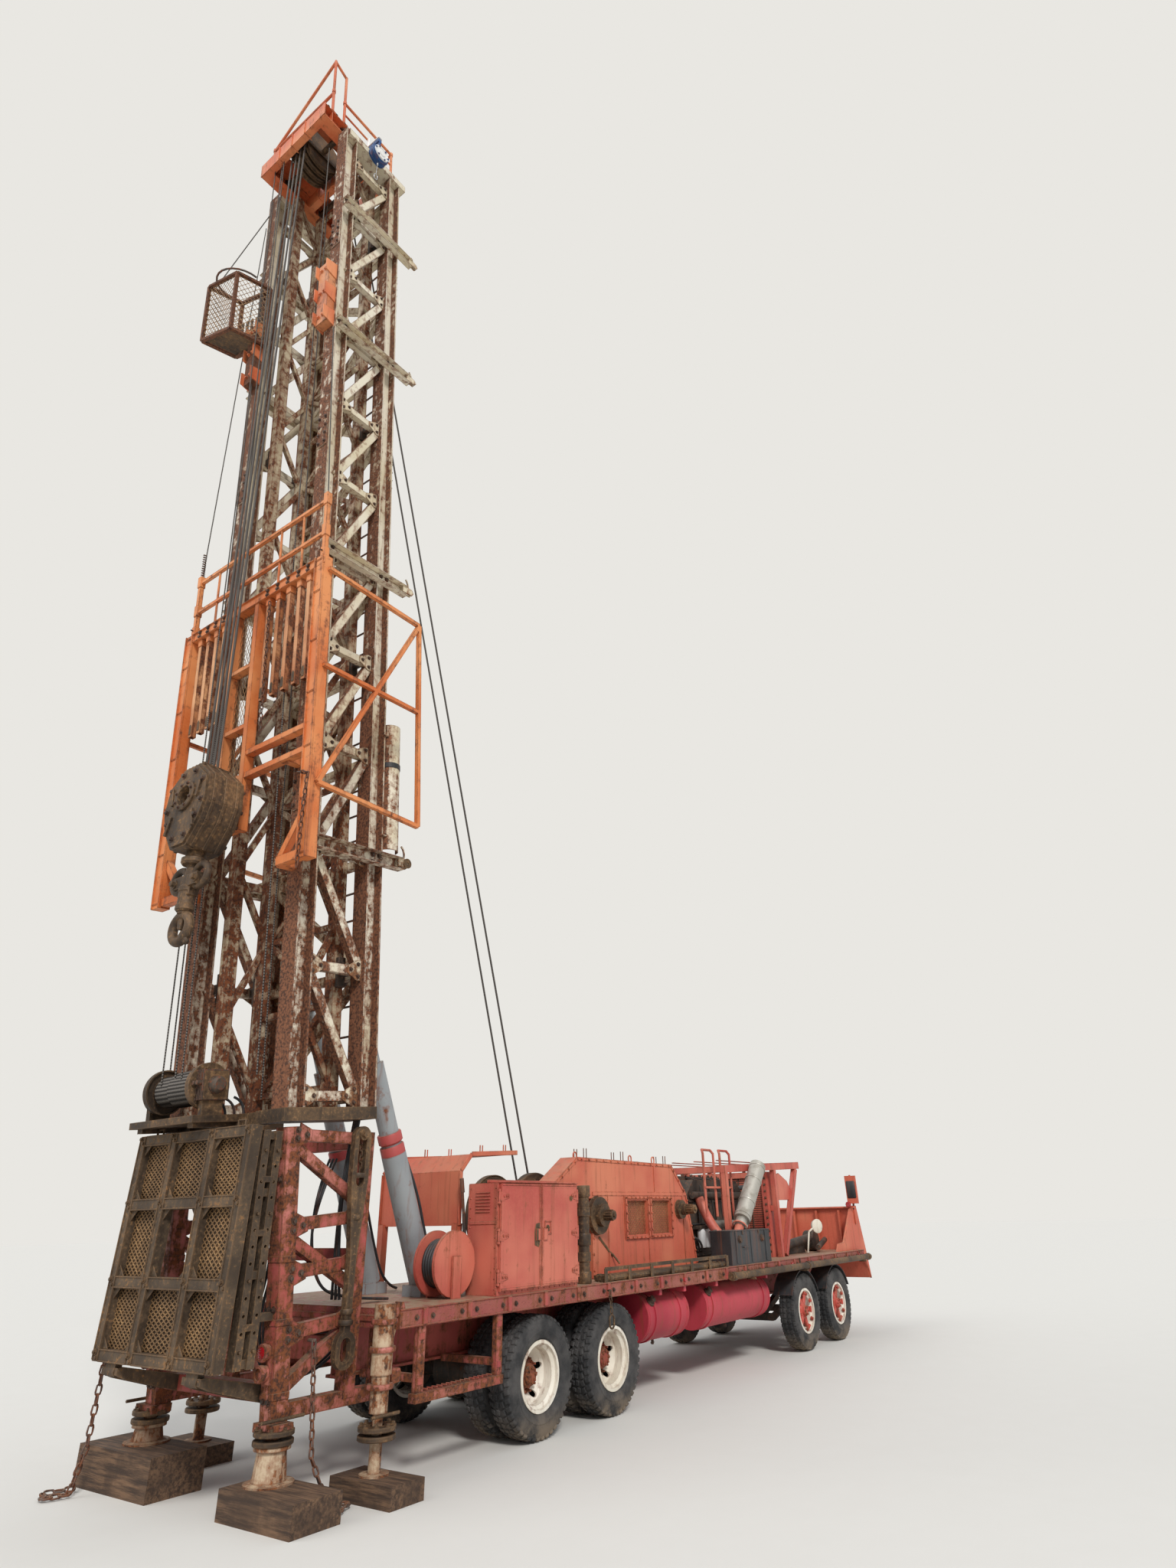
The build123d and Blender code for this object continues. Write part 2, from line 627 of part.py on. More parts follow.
def support_frame(side):
    """Bars of one side frame, from the jack up to the mast's foot."""
    y = side * MAST_HALF_WIDTH
    front = along(FRONT_POST_AT)
    heel = along(LOWER_RAIL_END_AT)
    low = (post_x(LOWER_RAIL_Z), y, LOWER_RAIL_Z)
    knee = (post_x(FLOOR_BEAM_Z), y, FLOOR_BEAM_Z)
    heel_foot = (heel, y, LOWER_RAIL_Z - LOWER_RAIL / 2)
    shapes = [
        bar((post_x(POST_FOOT_Z), y, POST_FOOT_Z), (post_x(POST_TOP_Z), y, POST_TOP_Z), POST_SIZE, POST_SIZE),
        bar((front, y, LOWER_RAIL_Z), (front, y, POST_TOP_Z), FRONT_POST, FRONT_POST),
        bar(low, (heel, y, LOWER_RAIL_Z), LOWER_RAIL, LOWER_RAIL),
        bar(heel_foot, (heel, y, DECK_TOP - DECK_PLATE), LOWER_RAIL, LOWER_RAIL),
        bar(knee, (front, y, RAIL_TOP + 60), FOOT_BRACE, FOOT_BRACE),
    ]
    for section, drops in ((SIDE_RAIL, SIDE_RAILS), (SIDE_BRACE, SIDE_BRACES)):
        for rear_drop, front_drop in drops:
            rear_z = POST_TOP_Z - rear_drop
            shapes.append(bar((post_x(rear_z), y, rear_z), (front, y, POST_TOP_Z - front_drop), *section))
    foot = along(REAR_JACK_AT)
    seat = (foot, side * FOOT_Y, JACK_HEAD_Z)
    shapes.append(bar(seat, (foot, side * FOOT_Y, POST_FOOT_Z + 20), *JACK_SEAT))
    return shapes


with BuildPart() as support:
    for side in (-1, 1):
        add(support_frame(side))
save(support, "support_frames")


# Cross beams that tie the two support frames together
FLOOR_BEAM = 120.0
LOW_TIE_DROP = 1020.0
HIGH_TIE_DROP = 80.0
with BuildPart() as crossbeams:
    rear_half = MAST_HALF_WIDTH - POST_SIZE / 2
    front_half = MAST_HALF_WIDTH - FRONT_POST / 2
    ties = [
        (FLOOR_BEAM_AT, FLOOR_BEAM_Z, rear_half, FLOOR_BEAM, FLOOR_BEAM),
        (FRONT_POST_AT, POST_TOP_Z - LOW_TIE_DROP, front_half, 100, 100),
        (FRONT_POST_AT, POST_TOP_Z - HIGH_TIE_DROP, front_half, 100, 120),
    ]
    for at, z, half, deep, tall in ties:
        add(bar((along(at), -half, z), (along(at), half, z), deep, tall, (1, 0, 0)))
save(crossbeams, "support_crossbeams")


# Base of the mast: a shoe beam under the legs of each side, and the winch's platform behind them
BASE_THICK = 110.0
BASE_OVERHANG = 110.0
SHOE_Y = 700.0
SHOE_WIDTH = 400.0
BASE_TIE = (160.0, 110.0)
BASE_TIE_H = -60.0
PLATFORM_TOP = -5.0
PLATFORM = (460.0, 60.0)
PLATFORM_Y = (-200.0, 800.0)
OUTRIGGER = (80.0, 60.0)
OUTRIGGER_Y = (-100.0, 700.0)
WINCH_A = -310.0
with BuildPart() as mast_base:
    shoes = []
    for side in (-1, 1):
        rear = (-BASE_OVERHANG, side * SHOE_Y, -BASE_THICK / 2)
        front = (MAST_DEPTH + BASE_OVERHANG, side * SHOE_Y, -BASE_THICK / 2)
        shoes.append(mast_bar(rear, front, SHOE_WIDTH, BASE_THICK))
    shoes.append(mast_bar((0, -500, BASE_TIE_H), (0, 500, BASE_TIE_H), *BASE_TIE, LEAN_NORMAL))
    deck_h = PLATFORM_TOP - PLATFORM[1] / 2
    deck_ends = [(WINCH_A + 10, y, deck_h) for y in PLATFORM_Y]
    shoes.append(mast_bar(*deck_ends, *PLATFORM, LEAN_NORMAL))
    for y in OUTRIGGER_Y:
        shoes.append(mast_bar((-480, y, deck_h - 40), (60, y, deck_h - 40), *OUTRIGGER))
    add(shoes)
save(mast_base, "mast_base")


# Outer mast section: H-section legs with a lattice each side and one across the front
LEG_WALL = 20.0
REAR_SEAT = MAST_LEG / 2 - LEG_WALL / 2
FRONT_SEAT = MAST_DEPTH - MAST_LEG / 2 + LEG_WALL / 2
TOP_BEAM = (240.0, 120.0)
TOP_BEAM_A = (-60.0, MAST_DEPTH + 200.0)
ARM_WALL = 10.0
ARM_REAR = -90.0
HOOK_RADIUS = 130.0
HOOK_PLATE = 16.0
HOOK_SWEEP = 140.0


def mast_plane(a, y, h):
    """Plane across the mast's width: its local x runs forward and its local y up the mast."""
    return Plane(origin=mast_point(a, y, h), x_dir=LEAN_NORMAL, z_dir=(0, -1, 0))


def arm_hook(a, y, h):
    """Curved plate at the end of an outrigger arm, which keeps hanging lines off the mast."""
    with BuildPart(mode=Mode.PRIVATE) as hook:
        with BuildSketch(mast_plane(a, y + HOOK_PLATE / 2, h)):
            with BuildLine():
                outer = CenterArc((0, HOOK_RADIUS), HOOK_RADIUS, -90, HOOK_SWEEP)
                inner = CenterArc((0, HOOK_RADIUS), HOOK_RADIUS - HOOK_PLATE, -90, HOOK_SWEEP)
                Line(outer @ 0, inner @ 0)
                Line(outer @ 1, inner @ 1)
            make_face()
        extrude(amount=HOOK_PLATE)
    return hook.part


def side_lattice(side):
    """Legs, girts, diagonals and outrigger arms of one side of the outer section."""
    y = side * MAST_HALF_WIDTH
    shapes = []
    for a in (0, MAST_DEPTH):
        shapes.append(i_bar(mast_point(a, y, 0), mast_point(a, y, MAST_TOP), MAST_LEG, MAST_LEG, LEG_WALL))
    for level in LEVELS:
        shapes.append(mast_bar((REAR_SEAT, y, level), (FRONT_SEAT, y, level), BRACE_THICK, BRACE_WIDTH))
    for low, high in zip(LEVELS[2:], LEVELS[3:]):
        shapes.append(mast_bar((REAR_SEAT, y, low), (FRONT_SEAT, y, high), BRACE_THICK, BRACE_WIDTH))
    for low, high in zip(LEVELS[:2], LEVELS[1:3]):
        shapes.append(mast_bar((REAR_SEAT, y, high), (FRONT_SEAT, y, low), BRACE_THICK, BRACE_WIDTH))
    top = MAST_TOP - TOP_BEAM[1] / 2
    shapes.append(mast_bar((TOP_BEAM_A[0], y, top), (TOP_BEAM_A[1], y, top), *TOP_BEAM))
    outside = side * (MAST_HALF_WIDTH + (MAST_LEG + ARM_THICK) / 2)
    web = outside - side * (ARM_THICK - HOOK_PLATE) / 2
    tip = MAST_DEPTH + ARM_REACH
    for level in ARM_LEVELS:
        start = mast_point(ARM_REAR, outside, level)
        end = mast_point(tip, outside, level)
        shapes.append(channel_bar(start, end, ARM_THICK, ARM_DEPTH, ARM_WALL, side))
        shapes.append(arm_hook(tip - 40, web, level))
    return shapes


def front_lattice(a, half, thick, wide, levels):
    """Girts and crossing diagonals between the front legs."""
    shapes = []
    rise = levels[1] - levels[0]
    inset = half - wide / 2 * rise / hypot(rise, 2 * half - wide)
    for k, (low, high) in enumerate(zip(levels, levels[1:])):
        turn = 1 if k % 2 else -1
        shapes.append(mast_bar((a, -half, low), (a, half, low), thick, wide, LEAN_NORMAL))
        shapes.append(mast_bar((a, -turn * inset, low), (a, turn * inset, high), thick, wide, LEAN_NORMAL))
    shapes.append(mast_bar((a, -half, levels[-1]), (a, half, levels[-1]), thick, wide, LEAN_NORMAL))
    return shapes


for side_name, side in SIDES.items():
    with BuildPart() as mast_side:
        add(side_lattice(side))
    save(mast_side, f"mast_side_{side_name}")

with BuildPart() as mast_front:
    web_face = MAST_HALF_WIDTH - LEG_WALL / 2
    add(front_lattice(MAST_DEPTH, web_face, BRACE_THICK, BRACE_WIDTH, LEVELS))
save(mast_front, "mast_front")


# Inner mast section, run down inside the outer one
INNER_COUNT = 18
INNER_FIRST = 200.0
INNER_BRACE = (50.0, 60.0)
INNER_LEVELS = [INNER_FIRST + INNER_PITCH * k for k in range(INNER_COUNT)]


def inner_lattice(side):
    """Legs and zigzag bracing of one side of the inner section."""
    y = side * INNER_HALF_WIDTH
    shapes = [
        mast_bar((INNER_REAR, y, 0), (INNER_REAR, y, INNER_TOP), INNER_LEG, INNER_LEG),
        mast_bar((INNER_FRONT, y, 0), (INNER_FRONT, y, INNER_TOP), INNER_LEG, INNER_LEG),
    ]
    for k, (low, high) in enumerate(zip(INNER_LEVELS, INNER_LEVELS[1:])):
        ends = (INNER_REAR, INNER_FRONT) if k % 2 else (INNER_FRONT, INNER_REAR)
        shapes.append(mast_bar((ends[0], y, low), (ends[1], y, high), *INNER_BRACE))
    return shapes


with BuildPart() as inner_sides:
    for side in (-1, 1):
        add(inner_lattice(side))
save(inner_sides, "inner_mast_sides")

with BuildPart() as inner_front:
    reach = INNER_HALF_WIDTH - INNER_LEG / 2
    add(front_lattice(INNER_FRONT, reach, *INNER_BRACE, INNER_LEVELS))
save(inner_front, "inner_mast_front")


# Crown: deck of plates and beams with its sheaves and railing
CROWN_Z = INNER_TOP
CROWN_DEEP = 260.0
CROWN_WALL = 16.0
CROWN_BEAM = 200.0
CROWN_BEAM_Y = 640.0
CROWN_TIE = 100.0
CROWN_REAR = -395.0
CROWN_FRONT = MAST_DEPTH + 130.0
CROWN_TIES = (CROWN_REAR + CROWN_TIE / 2, 400.0, CROWN_FRONT - CROWN_TIE / 2)
with BuildPart() as crown_frame:
    middle = CROWN_Z + CROWN_DEEP / 2
    for side in (-1, 1):
        y = side * CROWN_BEAM_Y
        start = mast_point(CROWN_REAR, y, middle)
        add(i_bar(start, mast_point(CROWN_FRONT, y, middle), CROWN_BEAM, CROWN_DEEP, CROWN_WALL))
    add([
        mast_bar((a, -CROWN_BEAM_Y, middle), (a, CROWN_BEAM_Y, middle), CROWN_TIE, CROWN_DEEP, LEAN_NORMAL)
        for a in CROWN_TIES
    ])
save(crown_frame, "crown_frame")


# Crown sheaves on their shafts
GROOVE_DEPTH = 30.0
GROOVE_LIP = 18.0
SHEAVE_RADIUS = 300.0
SHEAVE_SHAFT = 40.0
SHEAVE_WIDTH = 64.0
SHEAVE_PITCH = 100.0
SHEAVE_H = CROWN_Z + CROWN_DEEP / 2 + 60
MAIN_SHEAVE_A = 20.0
FRONT_SHEAVE_A = 620.0
FRONT_SHEAVE_RADIUS = 160.0
SHAFT_SEAT_Y = CROWN_BEAM_Y - CROWN_WALL / 2
MAIN_SHEAVE_Y = [SHEAVE_PITCH * (k - 1.5) for k in range(4)]
SHEAVES = [(MAIN_SHEAVE_A, y, SHEAVE_RADIUS) for y in MAIN_SHEAVE_Y]
SHEAVES += [(FRONT_SHEAVE_A, y, FRONT_SHEAVE_RADIUS) for y in (-SHEAVE_PITCH, SHEAVE_PITCH)]


def sheave_outline(radius, width, bore):
    """Half section of a grooved sheave."""
    half = width / 2
    return [
        (bore, -half),
        (radius, -half),
        (radius - GROOVE_DEPTH, -half + GROOVE_LIP),
        (radius - GROOVE_DEPTH, half - GROOVE_LIP),
        (radius, half),
        (bore, half),
    ]


with BuildPart() as crown_sheaves:
    for a, y, radius in SHEAVES:
        origin = mast_point(a, y, SHEAVE_H)
        with BuildSketch(Plane(origin=origin, x_dir=(1, 0, 0), z_dir=(0, 0, 1))):
            with BuildLine():
                Polyline(*sheave_outline(radius, SHEAVE_WIDTH, SHEAVE_SHAFT - 1), close=True)
            make_face()
        revolve(axis=Axis(origin, (0, 1, 0)))
    for a in (MAIN_SHEAVE_A, FRONT_SHEAVE_A):
        ends = [mast_point(a, side * SHAFT_SEAT_Y, SHEAVE_H) for side in (-1, 1)]
        add(pipe(*ends, SHEAVE_SHAFT))
save(crown_sheaves, "crown_sheaves")

RAIL_BASE = CROWN_Z + CROWN_DEEP
RAILING = 21.0
RAILING_Y = 700.0
RAILING_REAR = -230.0
RAILING_GATE = -20.0
RAILING_FRONT = MAST_DEPTH + 90.0
LOW_RAIL = 540.0
HIGH_RAIL = 1280.0
GATE_RAIL = 1160.0
POST_CAP = 20.0
CROWN_POSTS = (
    (RAILING_REAR, RAILING_Y, LOW_RAIL),
    (RAILING_REAR, -RAILING_Y, HIGH_RAIL),
    (RAILING_GATE, -RAILING_Y, GATE_RAIL),
    (RAILING_FRONT, -RAILING_Y, LOW_RAIL),
    (RAILING_FRONT, RAILING_Y, LOW_RAIL),
)
CROWN_RAILS = (
    ((RAILING_REAR, RAILING_Y, LOW_RAIL), (RAILING_REAR, -RAILING_Y, HIGH_RAIL)),
    ((RAILING_REAR, RAILING_Y, LOW_RAIL), (RAILING_REAR, -RAILING_Y, LOW_RAIL - 40)),
    ((RAILING_REAR, -RAILING_Y, HIGH_RAIL), (RAILING_GATE, -RAILING_Y, GATE_RAIL)),
    ((RAILING_GATE, -RAILING_Y, LOW_RAIL), (RAILING_FRONT, -RAILING_Y, LOW_RAIL)),
    ((RAILING_FRONT, -RAILING_Y, LOW_RAIL), (RAILING_FRONT, RAILING_Y, LOW_RAIL)),
    ((RAILING_FRONT, RAILING_Y, LOW_RAIL), (RAILING_REAR, RAILING_Y, LOW_RAIL)),
)
with BuildPart() as crown_railing:
    tubes = []
    for a, y, tall in CROWN_POSTS:
        foot = mast_point(a, y, RAIL_BASE)
        tubes.append(pipe(foot, mast_point(a, y, RAIL_BASE + tall + POST_CAP), RAILING, 8))
    for ends in CROWN_RAILS:
        tubes.append(pipe(*[mast_point(a, y, RAIL_BASE + tall) for a, y, tall in ends], RAILING, 8))
    add(tubes)
save(crown_railing, "crown_railing")


# Racking board: channel frame, ladder walkway and comb of fingers
WALKWAY = (300.0, -120.0)
BOARD_BAR = (100.0, 120.0)
BOARD_CHANNEL = (140.0, 120.0)
BOARD_ARM = 90.0
BOARD_ARM_H = BOARD_FOOT + 60
BOARD_BRACE = 70.0
BOARD_BRACE_RISE = 500.0
BRACKET_H = (3300.0, 3560.0)
BRACKET = (90.0, 60.0)
STILE = (70.0, 110.0)
STILE_FOOT = 2700.0
RUNG = (100.0, 50.0)
RUNG_H = (2740.0, 3300.0, 3900.0, 4650.0)
HAND_POST = 50.0
HAND_POST_TALL = 900.0
HANDRAIL = 40.0
HANDRAIL_H = (BOARD_TOP + 420, BOARD_TOP + 860)
with BuildPart() as racking_frame:
    a = BOARD_BACK
    top = BOARD_TOP
    wide = BOARD_HALF_WIDTH
    shapes = [mast_bar((a, -wide, top), (a, wide, top), *BOARD_BAR, LEAN_NORMAL)]
    for side in (-1, 1):
        y = side * wide
        leg_y = side * MAST_HALF_WIDTH
        stile = WALKWAY[0] if side > 0 else WALKWAY[1]
        shapes.append(mast_bar((a, y, BOARD_FOOT), (a, y, top + BOARD_BAR[1] / 2), *BOARD_CHANNEL))
        for h in BRACKET_H:
            shapes.append(mast_bar((a, stile, h), (a, y, h), *BRACKET, LEAN_NORMAL))
        ends = [(a, end_y, BOARD_ARM_H) for end_y in (y, leg_y)]
        shapes.append(mast_bar(*ends, BOARD_ARM, BOARD_ARM, LEAN_NORMAL))
        brace_top = (a, y, BOARD_ARM_H + BOARD_BRACE_RISE)
        shapes.append(mast_bar(brace_top, (a, leg_y, BOARD_ARM_H), BOARD_BRACE, BOARD_BRACE, LEAN_NORMAL))
        shapes.append(mast_bar((a, y, top), (a, y, top + HAND_POST_TALL), HAND_POST, HAND_POST))
        for h in (BRACKET_H[0], BOARD_ARM_H):
            shapes.append(mast_bar((a, leg_y, h), (-MAST_LEG / 2, leg_y, h), BOARD_ARM, BOARD_ARM))
    for y in WALKWAY:
        shapes.append(mast_bar((a, y, STILE_FOOT), (a, y, top), *STILE))
    for h in RUNG_H:
        shapes.append(mast_bar((a, WALKWAY[1], h), (a, WALKWAY[0], h), *RUNG, LEAN_NORMAL))
    for h in HANDRAIL_H:
        shapes.append(mast_bar((a, -wide, h), (a, wide, h), HANDRAIL, HANDRAIL, LEAN_NORMAL))
    add(shapes)
save(racking_frame, "racking_frame")

FINGER_WALL = 6.0
FINGER_ROOT = BOARD_TOP - BOARD_BAR[1] / 2
with BuildPart() as racking_fingers:
    for y in LEFT_FINGERS + RIGHT_FINGERS:
        root = mast_point(BOARD_BACK, y, FINGER_ROOT)
        with BuildSketch(Plane(origin=root, x_dir=(0, 1, 0), z_dir=MAST_DOWN)):
            Rectangle(FINGER_SIZE, FINGER_SIZE)
            Rectangle(FINGER_SIZE - 2 * FINGER_WALL, FINGER_SIZE - 2 * FINGER_WALL, mode=Mode.SUBTRACT)
        extrude(amount=FINGER_LENGTH)
save(racking_fingers, "racking_fingers")

# Pipe side frames that fold forward along the mast
SIDE_FRAME_REACH = 1050.0
SIDE_PIPE = 45.0
SIDE_FRAME_Y = BOARD_HALF_WIDTH + BOARD_CHANNEL[0] / 2 + SIDE_PIPE / 2
SIDE_TOP_H = (BOARD_TOP - 110, BOARD_TOP - 190)
SIDE_LOW_H = (2900.0, 2780.0)
SIDE_MID_H = (4200.0, 4150.0)
with BuildPart() as side_frames:
    runs = (
        ((BOARD_BACK, SIDE_TOP_H[0]), (SIDE_FRAME_REACH, SIDE_TOP_H[1])),
        ((SIDE_FRAME_REACH, SIDE_TOP_H[1]), (SIDE_FRAME_REACH, SIDE_LOW_H[1])),
        ((SIDE_FRAME_REACH, SIDE_LOW_H[1]), (BOARD_BACK, SIDE_LOW_H[0])),
        ((SIDE_FRAME_REACH, SIDE_MID_H[1]), (BOARD_BACK, SIDE_MID_H[0])),
        ((SIDE_FRAME_REACH, SIDE_TOP_H[1]), (BOARD_BACK, SIDE_LOW_H[0])),
    )
    pipes = []
    for side in (-1, 1):
        y = side * SIDE_FRAME_Y
        for (a1, h1), (a2, h2) in runs:
            pipes.append(mast_bar((a1, y, h1), (a2, y, h2), SIDE_PIPE, SIDE_PIPE))
    add(pipes)
save(side_frames, "board_side_frames")


# Rod basket folded up by the left rear leg, with the brackets that carry it
BASKET_LOW = 10150.0
BASKET_HIGH = 11250.0
BASKET_SLOPE = 0.4
BASKET_BAR = 45.0
BASKET_CORNERS = ((-140.0, 560.0), (-560.0, 760.0), (-560.0, 1480.0), (-140.0, 1280.0))
BASKET_BRACKET = (200.0, 120.0)
BASKET_BRACKET_Y = 760.0
BASKET_BRACKET_H = (9500.0, 10600.0)
with BuildPart() as rod_basket:
    shapes = []
    for (a1, y1), (a2, y2) in zip(BASKET_CORNERS, BASKET_CORNERS[1:] + BASKET_CORNERS[:1]):
        across = (1, 0, 0) if a1 == a2 else (0, 1, 0)
        for h in (BASKET_LOW, BASKET_HIGH):
            start = (a1, y1, h + BASKET_SLOPE * (y1 - BASKET_CORNERS[0][1]))
            end = (a2, y2, h + BASKET_SLOPE * (y2 - BASKET_CORNERS[0][1]))
            shapes.append(mast_bar(start, end, BASKET_BAR, BASKET_BAR, across))
    for a1, y1 in BASKET_CORNERS:
        lift = BASKET_SLOPE * (y1 - BASKET_CORNERS[0][1])
        post = [(a1, y1, h + lift) for h in (BASKET_LOW, BASKET_HIGH)]
        shapes.append(mast_bar(*post, BASKET_BAR, BASKET_BAR))
    bracket_a = -(MAST_LEG + BASKET_BRACKET[1]) / 2
    for side in (-1, 1):
        low, high = ((bracket_a, side * BASKET_BRACKET_Y, h) for h in BASKET_BRACKET_H)
        shapes.append(mast_bar(low, high, *BASKET_BRACKET))
    add(shapes)
save(rod_basket, "rod_basket")


# Travelling block: rounded body between two cheeks, with bails and a closed hook below
BLOCK_AT = -3950.0
BLOCK_Z = 5700.0
BLOCK_WIDTH = 420.0
BLOCK_CHEEK = 22.0
BLOCK_ROUND = 40.0
BLOCK_HALF = ((130.0, 400.0), (330.0, 230.0), (360.0, -60.0), (300.0, -250.0), (130.0, -480.0))
BLOCK_TOP = BLOCK_Z + BLOCK_HALF[0][1]
BLOCK_FOOT = BLOCK_Z + BLOCK_HALF[-1][1]
BLOCK_EYE = 95.0
BLOCK_EYE_Z = BLOCK_Z + 60
BLOCK_EYE_DEPTH = 120.0
NECK = (55.0, 260.0)
BAIL = (110.0, 34.0)
BAIL_Y = 170.0
BAIL_BAR = (110.0, 120.0)
SHANK = (60.0, 300.0)
HOOK_RING = (130.0, 45.0)
HOOK_DROP = 760.0


def block_outline(inset):
    """Outline of the block, widest a little below its middle, drawn in by an inset."""
    points = [(y - inset, z - inset if z > 0 else z + inset) for y, z in BLOCK_HALF]
    return points + [(-y, z) for y, z in reversed(points)]


with BuildPart() as travelling_block:
    rear = along(BLOCK_AT) - BLOCK_WIDTH / 2
    layers = ((0, BLOCK_WIDTH, BLOCK_CHEEK), (BLOCK_CHEEK, BLOCK_WIDTH - 2 * BLOCK_CHEEK, 0))
    for start, thick, inset in layers:
        with BuildSketch(Plane.YZ.offset(rear + start)) as profile:
            with BuildLine():
                Polyline(*[(y, BLOCK_Z + z) for y, z in block_outline(inset)], close=True)
            make_face()
            fillet(profile.vertices(), radius=BLOCK_ROUND)
        extrude(amount=thick)
    with BuildSketch(Plane.YZ.offset(rear)):
        with Locations((0, BLOCK_EYE_Z)):
            Circle(BLOCK_EYE)
    extrude(amount=BLOCK_EYE_DEPTH, mode=Mode.SUBTRACT)
    x = along(BLOCK_AT)
    ring_z = BLOCK_FOOT - NECK[1]
    add(pipe((x, 0, BLOCK_FOOT), (x, 0, ring_z), NECK[0]))
    for side in (-1, 1):
        with Locations(Location((x, side * BAIL_Y, ring_z), (0, 90, 0))):
            Torus(*BAIL)
    bar_z = ring_z - 40
    add(bar((x, -BAIL_Y - 20, bar_z), (x, BAIL_Y + 20, bar_z), *BAIL_BAR, (1, 0, 0)))
    add(pipe((x, 0, bar_z - 20), (x, 0, bar_z - 20 - SHANK[1]), SHANK[0]))
    with Locations(Location((x, 0, BLOCK_FOOT - HOOK_DROP), (0, 90, 0))):
        Torus(*HOOK_RING)
save(travelling_block, "travelling_block")


# Small winch on the base of the mast
WINCH_H = 250.0
WINCH_DRUM = 120.0
WINCH_DRUM_Y = (-50.0, 700.0)
WINCH_FLANGE = 200.0
WINCH_FLANGE_Y = (-40.0, 640.0)
WINCH_FLANGE_THICK = 40.0
WINCH_MOTOR = 240.0
WINCH_MOTOR_LENGTH = 130.0
WINCH_STAND_Y = (-110.0, 720.0)
WINCH_STAND = (60.0, 200.0)
WINCH_END = 120.0
with BuildPart() as winch:
    a = WINCH_A
    add(pipe(*[mast_point(a, y, WINCH_H) for y in WINCH_DRUM_Y], WINCH_DRUM))
    for y in WINCH_FLANGE_Y:
        add(pipe(mast_point(a, y, WINCH_H), mast_point(a, y + WINCH_FLANGE_THICK, WINCH_H), WINCH_FLANGE))
    face = WINCH_FLANGE_Y[0]
    motor = [(a, y, WINCH_H) for y in (face - WINCH_MOTOR_LENGTH, face)]
    add(mast_bar(*motor, WINCH_MOTOR, WINCH_MOTOR, LEAN_NORMAL))
    for y in WINCH_STAND_Y:
        add(mast_bar((a, y, PLATFORM_TOP), (a, y, WINCH_H + WINCH_STAND[0]), *WINCH_STAND))
    cover = [(a, WINCH_STAND_Y[1] + dy, WINCH_H) for dy in (-30, 30)]
    add(mast_bar(*cover, WINCH_END, WINCH_END, LEAN_NORMAL))
save(winch, "winch")


# Work floor folded up behind the rear posts
floor_lean = radians(FLOOR_LEAN)


def floor_point(y, run, out=0.0):
    """Point on the folded floor: run up from its hinge, out towards the rear."""
    x = along(FLOOR_HINGE_AT) + run * sin(floor_lean) - out * cos(floor_lean)
    return (x, y, FLOOR_HINGE_Z + run * cos(floor_lean) + out * sin(floor_lean))


FLOOR_NORMAL = (cos(floor_lean), 0, -sin(floor_lean))
FLOOR_START = 60.0
FLOOR_EDGE = FLOOR_BAR / 2
BAY_EDGE_Y = 290.0
FLOOR_BARS_Y = (FLOOR_EDGE - FLOOR_HALF_WIDTH, -BAY_EDGE_Y, BAY_EDGE_Y, FLOOR_HALF_WIDTH - FLOOR_EDGE)
CENTRE_BAY = (640.0, 1240.0)
BAY_RUNS = (FLOOR_START + FLOOR_EDGE, *CENTRE_BAY, FLOOR_LENGTH - FLOOR_EDGE)
MESH_OUT = -30.0
MESH_THICK = 12.0
HINGE_Y = 580.0
HINGE_LUG = (150.0, 60.0)
HINGE_BARREL = (38.0, 75.0)
with BuildPart() as work_floor:
    grid = []
    for y in FLOOR_BARS_Y:
        ends = [floor_point(y, run) for run in (FLOOR_START, FLOOR_LENGTH)]
        grid.append(bar(*ends, FLOOR_CHANNEL, FLOOR_BAR, FLOOR_NORMAL))
    for run in BAY_RUNS:
        ends = [floor_point(side * (FLOOR_HALF_WIDTH - 10), run) for side in (-1, 1)]
        grid.append(bar(*ends, FLOOR_CHANNEL, FLOOR_BAR, FLOOR_NORMAL))
    add(grid)
    sheet = [floor_point(0, run, MESH_OUT) for run in (FLOOR_START, BAY_RUNS[-1])]
    add(bar(*sheet, MESH_THICK, 2 * FLOOR_HALF_WIDTH - FLOOR_BAR, FLOOR_NORMAL))
    bay = [floor_point(0, run, MESH_OUT) for run in (CENTRE_BAY[0] + FLOOR_EDGE, CENTRE_BAY[1] - FLOOR_EDGE)]
    add(bar(*bay, 5 * MESH_THICK, 2 * BAY_EDGE_Y - FLOOR_BAR, FLOOR_NORMAL), mode=Mode.SUBTRACT)
    hinge_x = along(FLOOR_HINGE_AT)
    for side in (-1, 1):
        y = side * HINGE_Y
        radius, half = HINGE_BARREL
        add(bar((hinge_x, y, FLOOR_HINGE_Z), floor_point(y, FLOOR_START + 20), *HINGE_LUG))
        add(pipe((hinge_x, y - half, FLOOR_HINGE_Z), (hinge_x, y + half, FLOOR_HINGE_Z), radius))
        with Locations(Location((hinge_x, y, FLOOR_HINGE_Z), (90, 0, 0))):
            Cylinder(PIN_RADIUS + RUNNING_GAP, 200, mode=Mode.SUBTRACT)
save(work_floor, "work_floor")

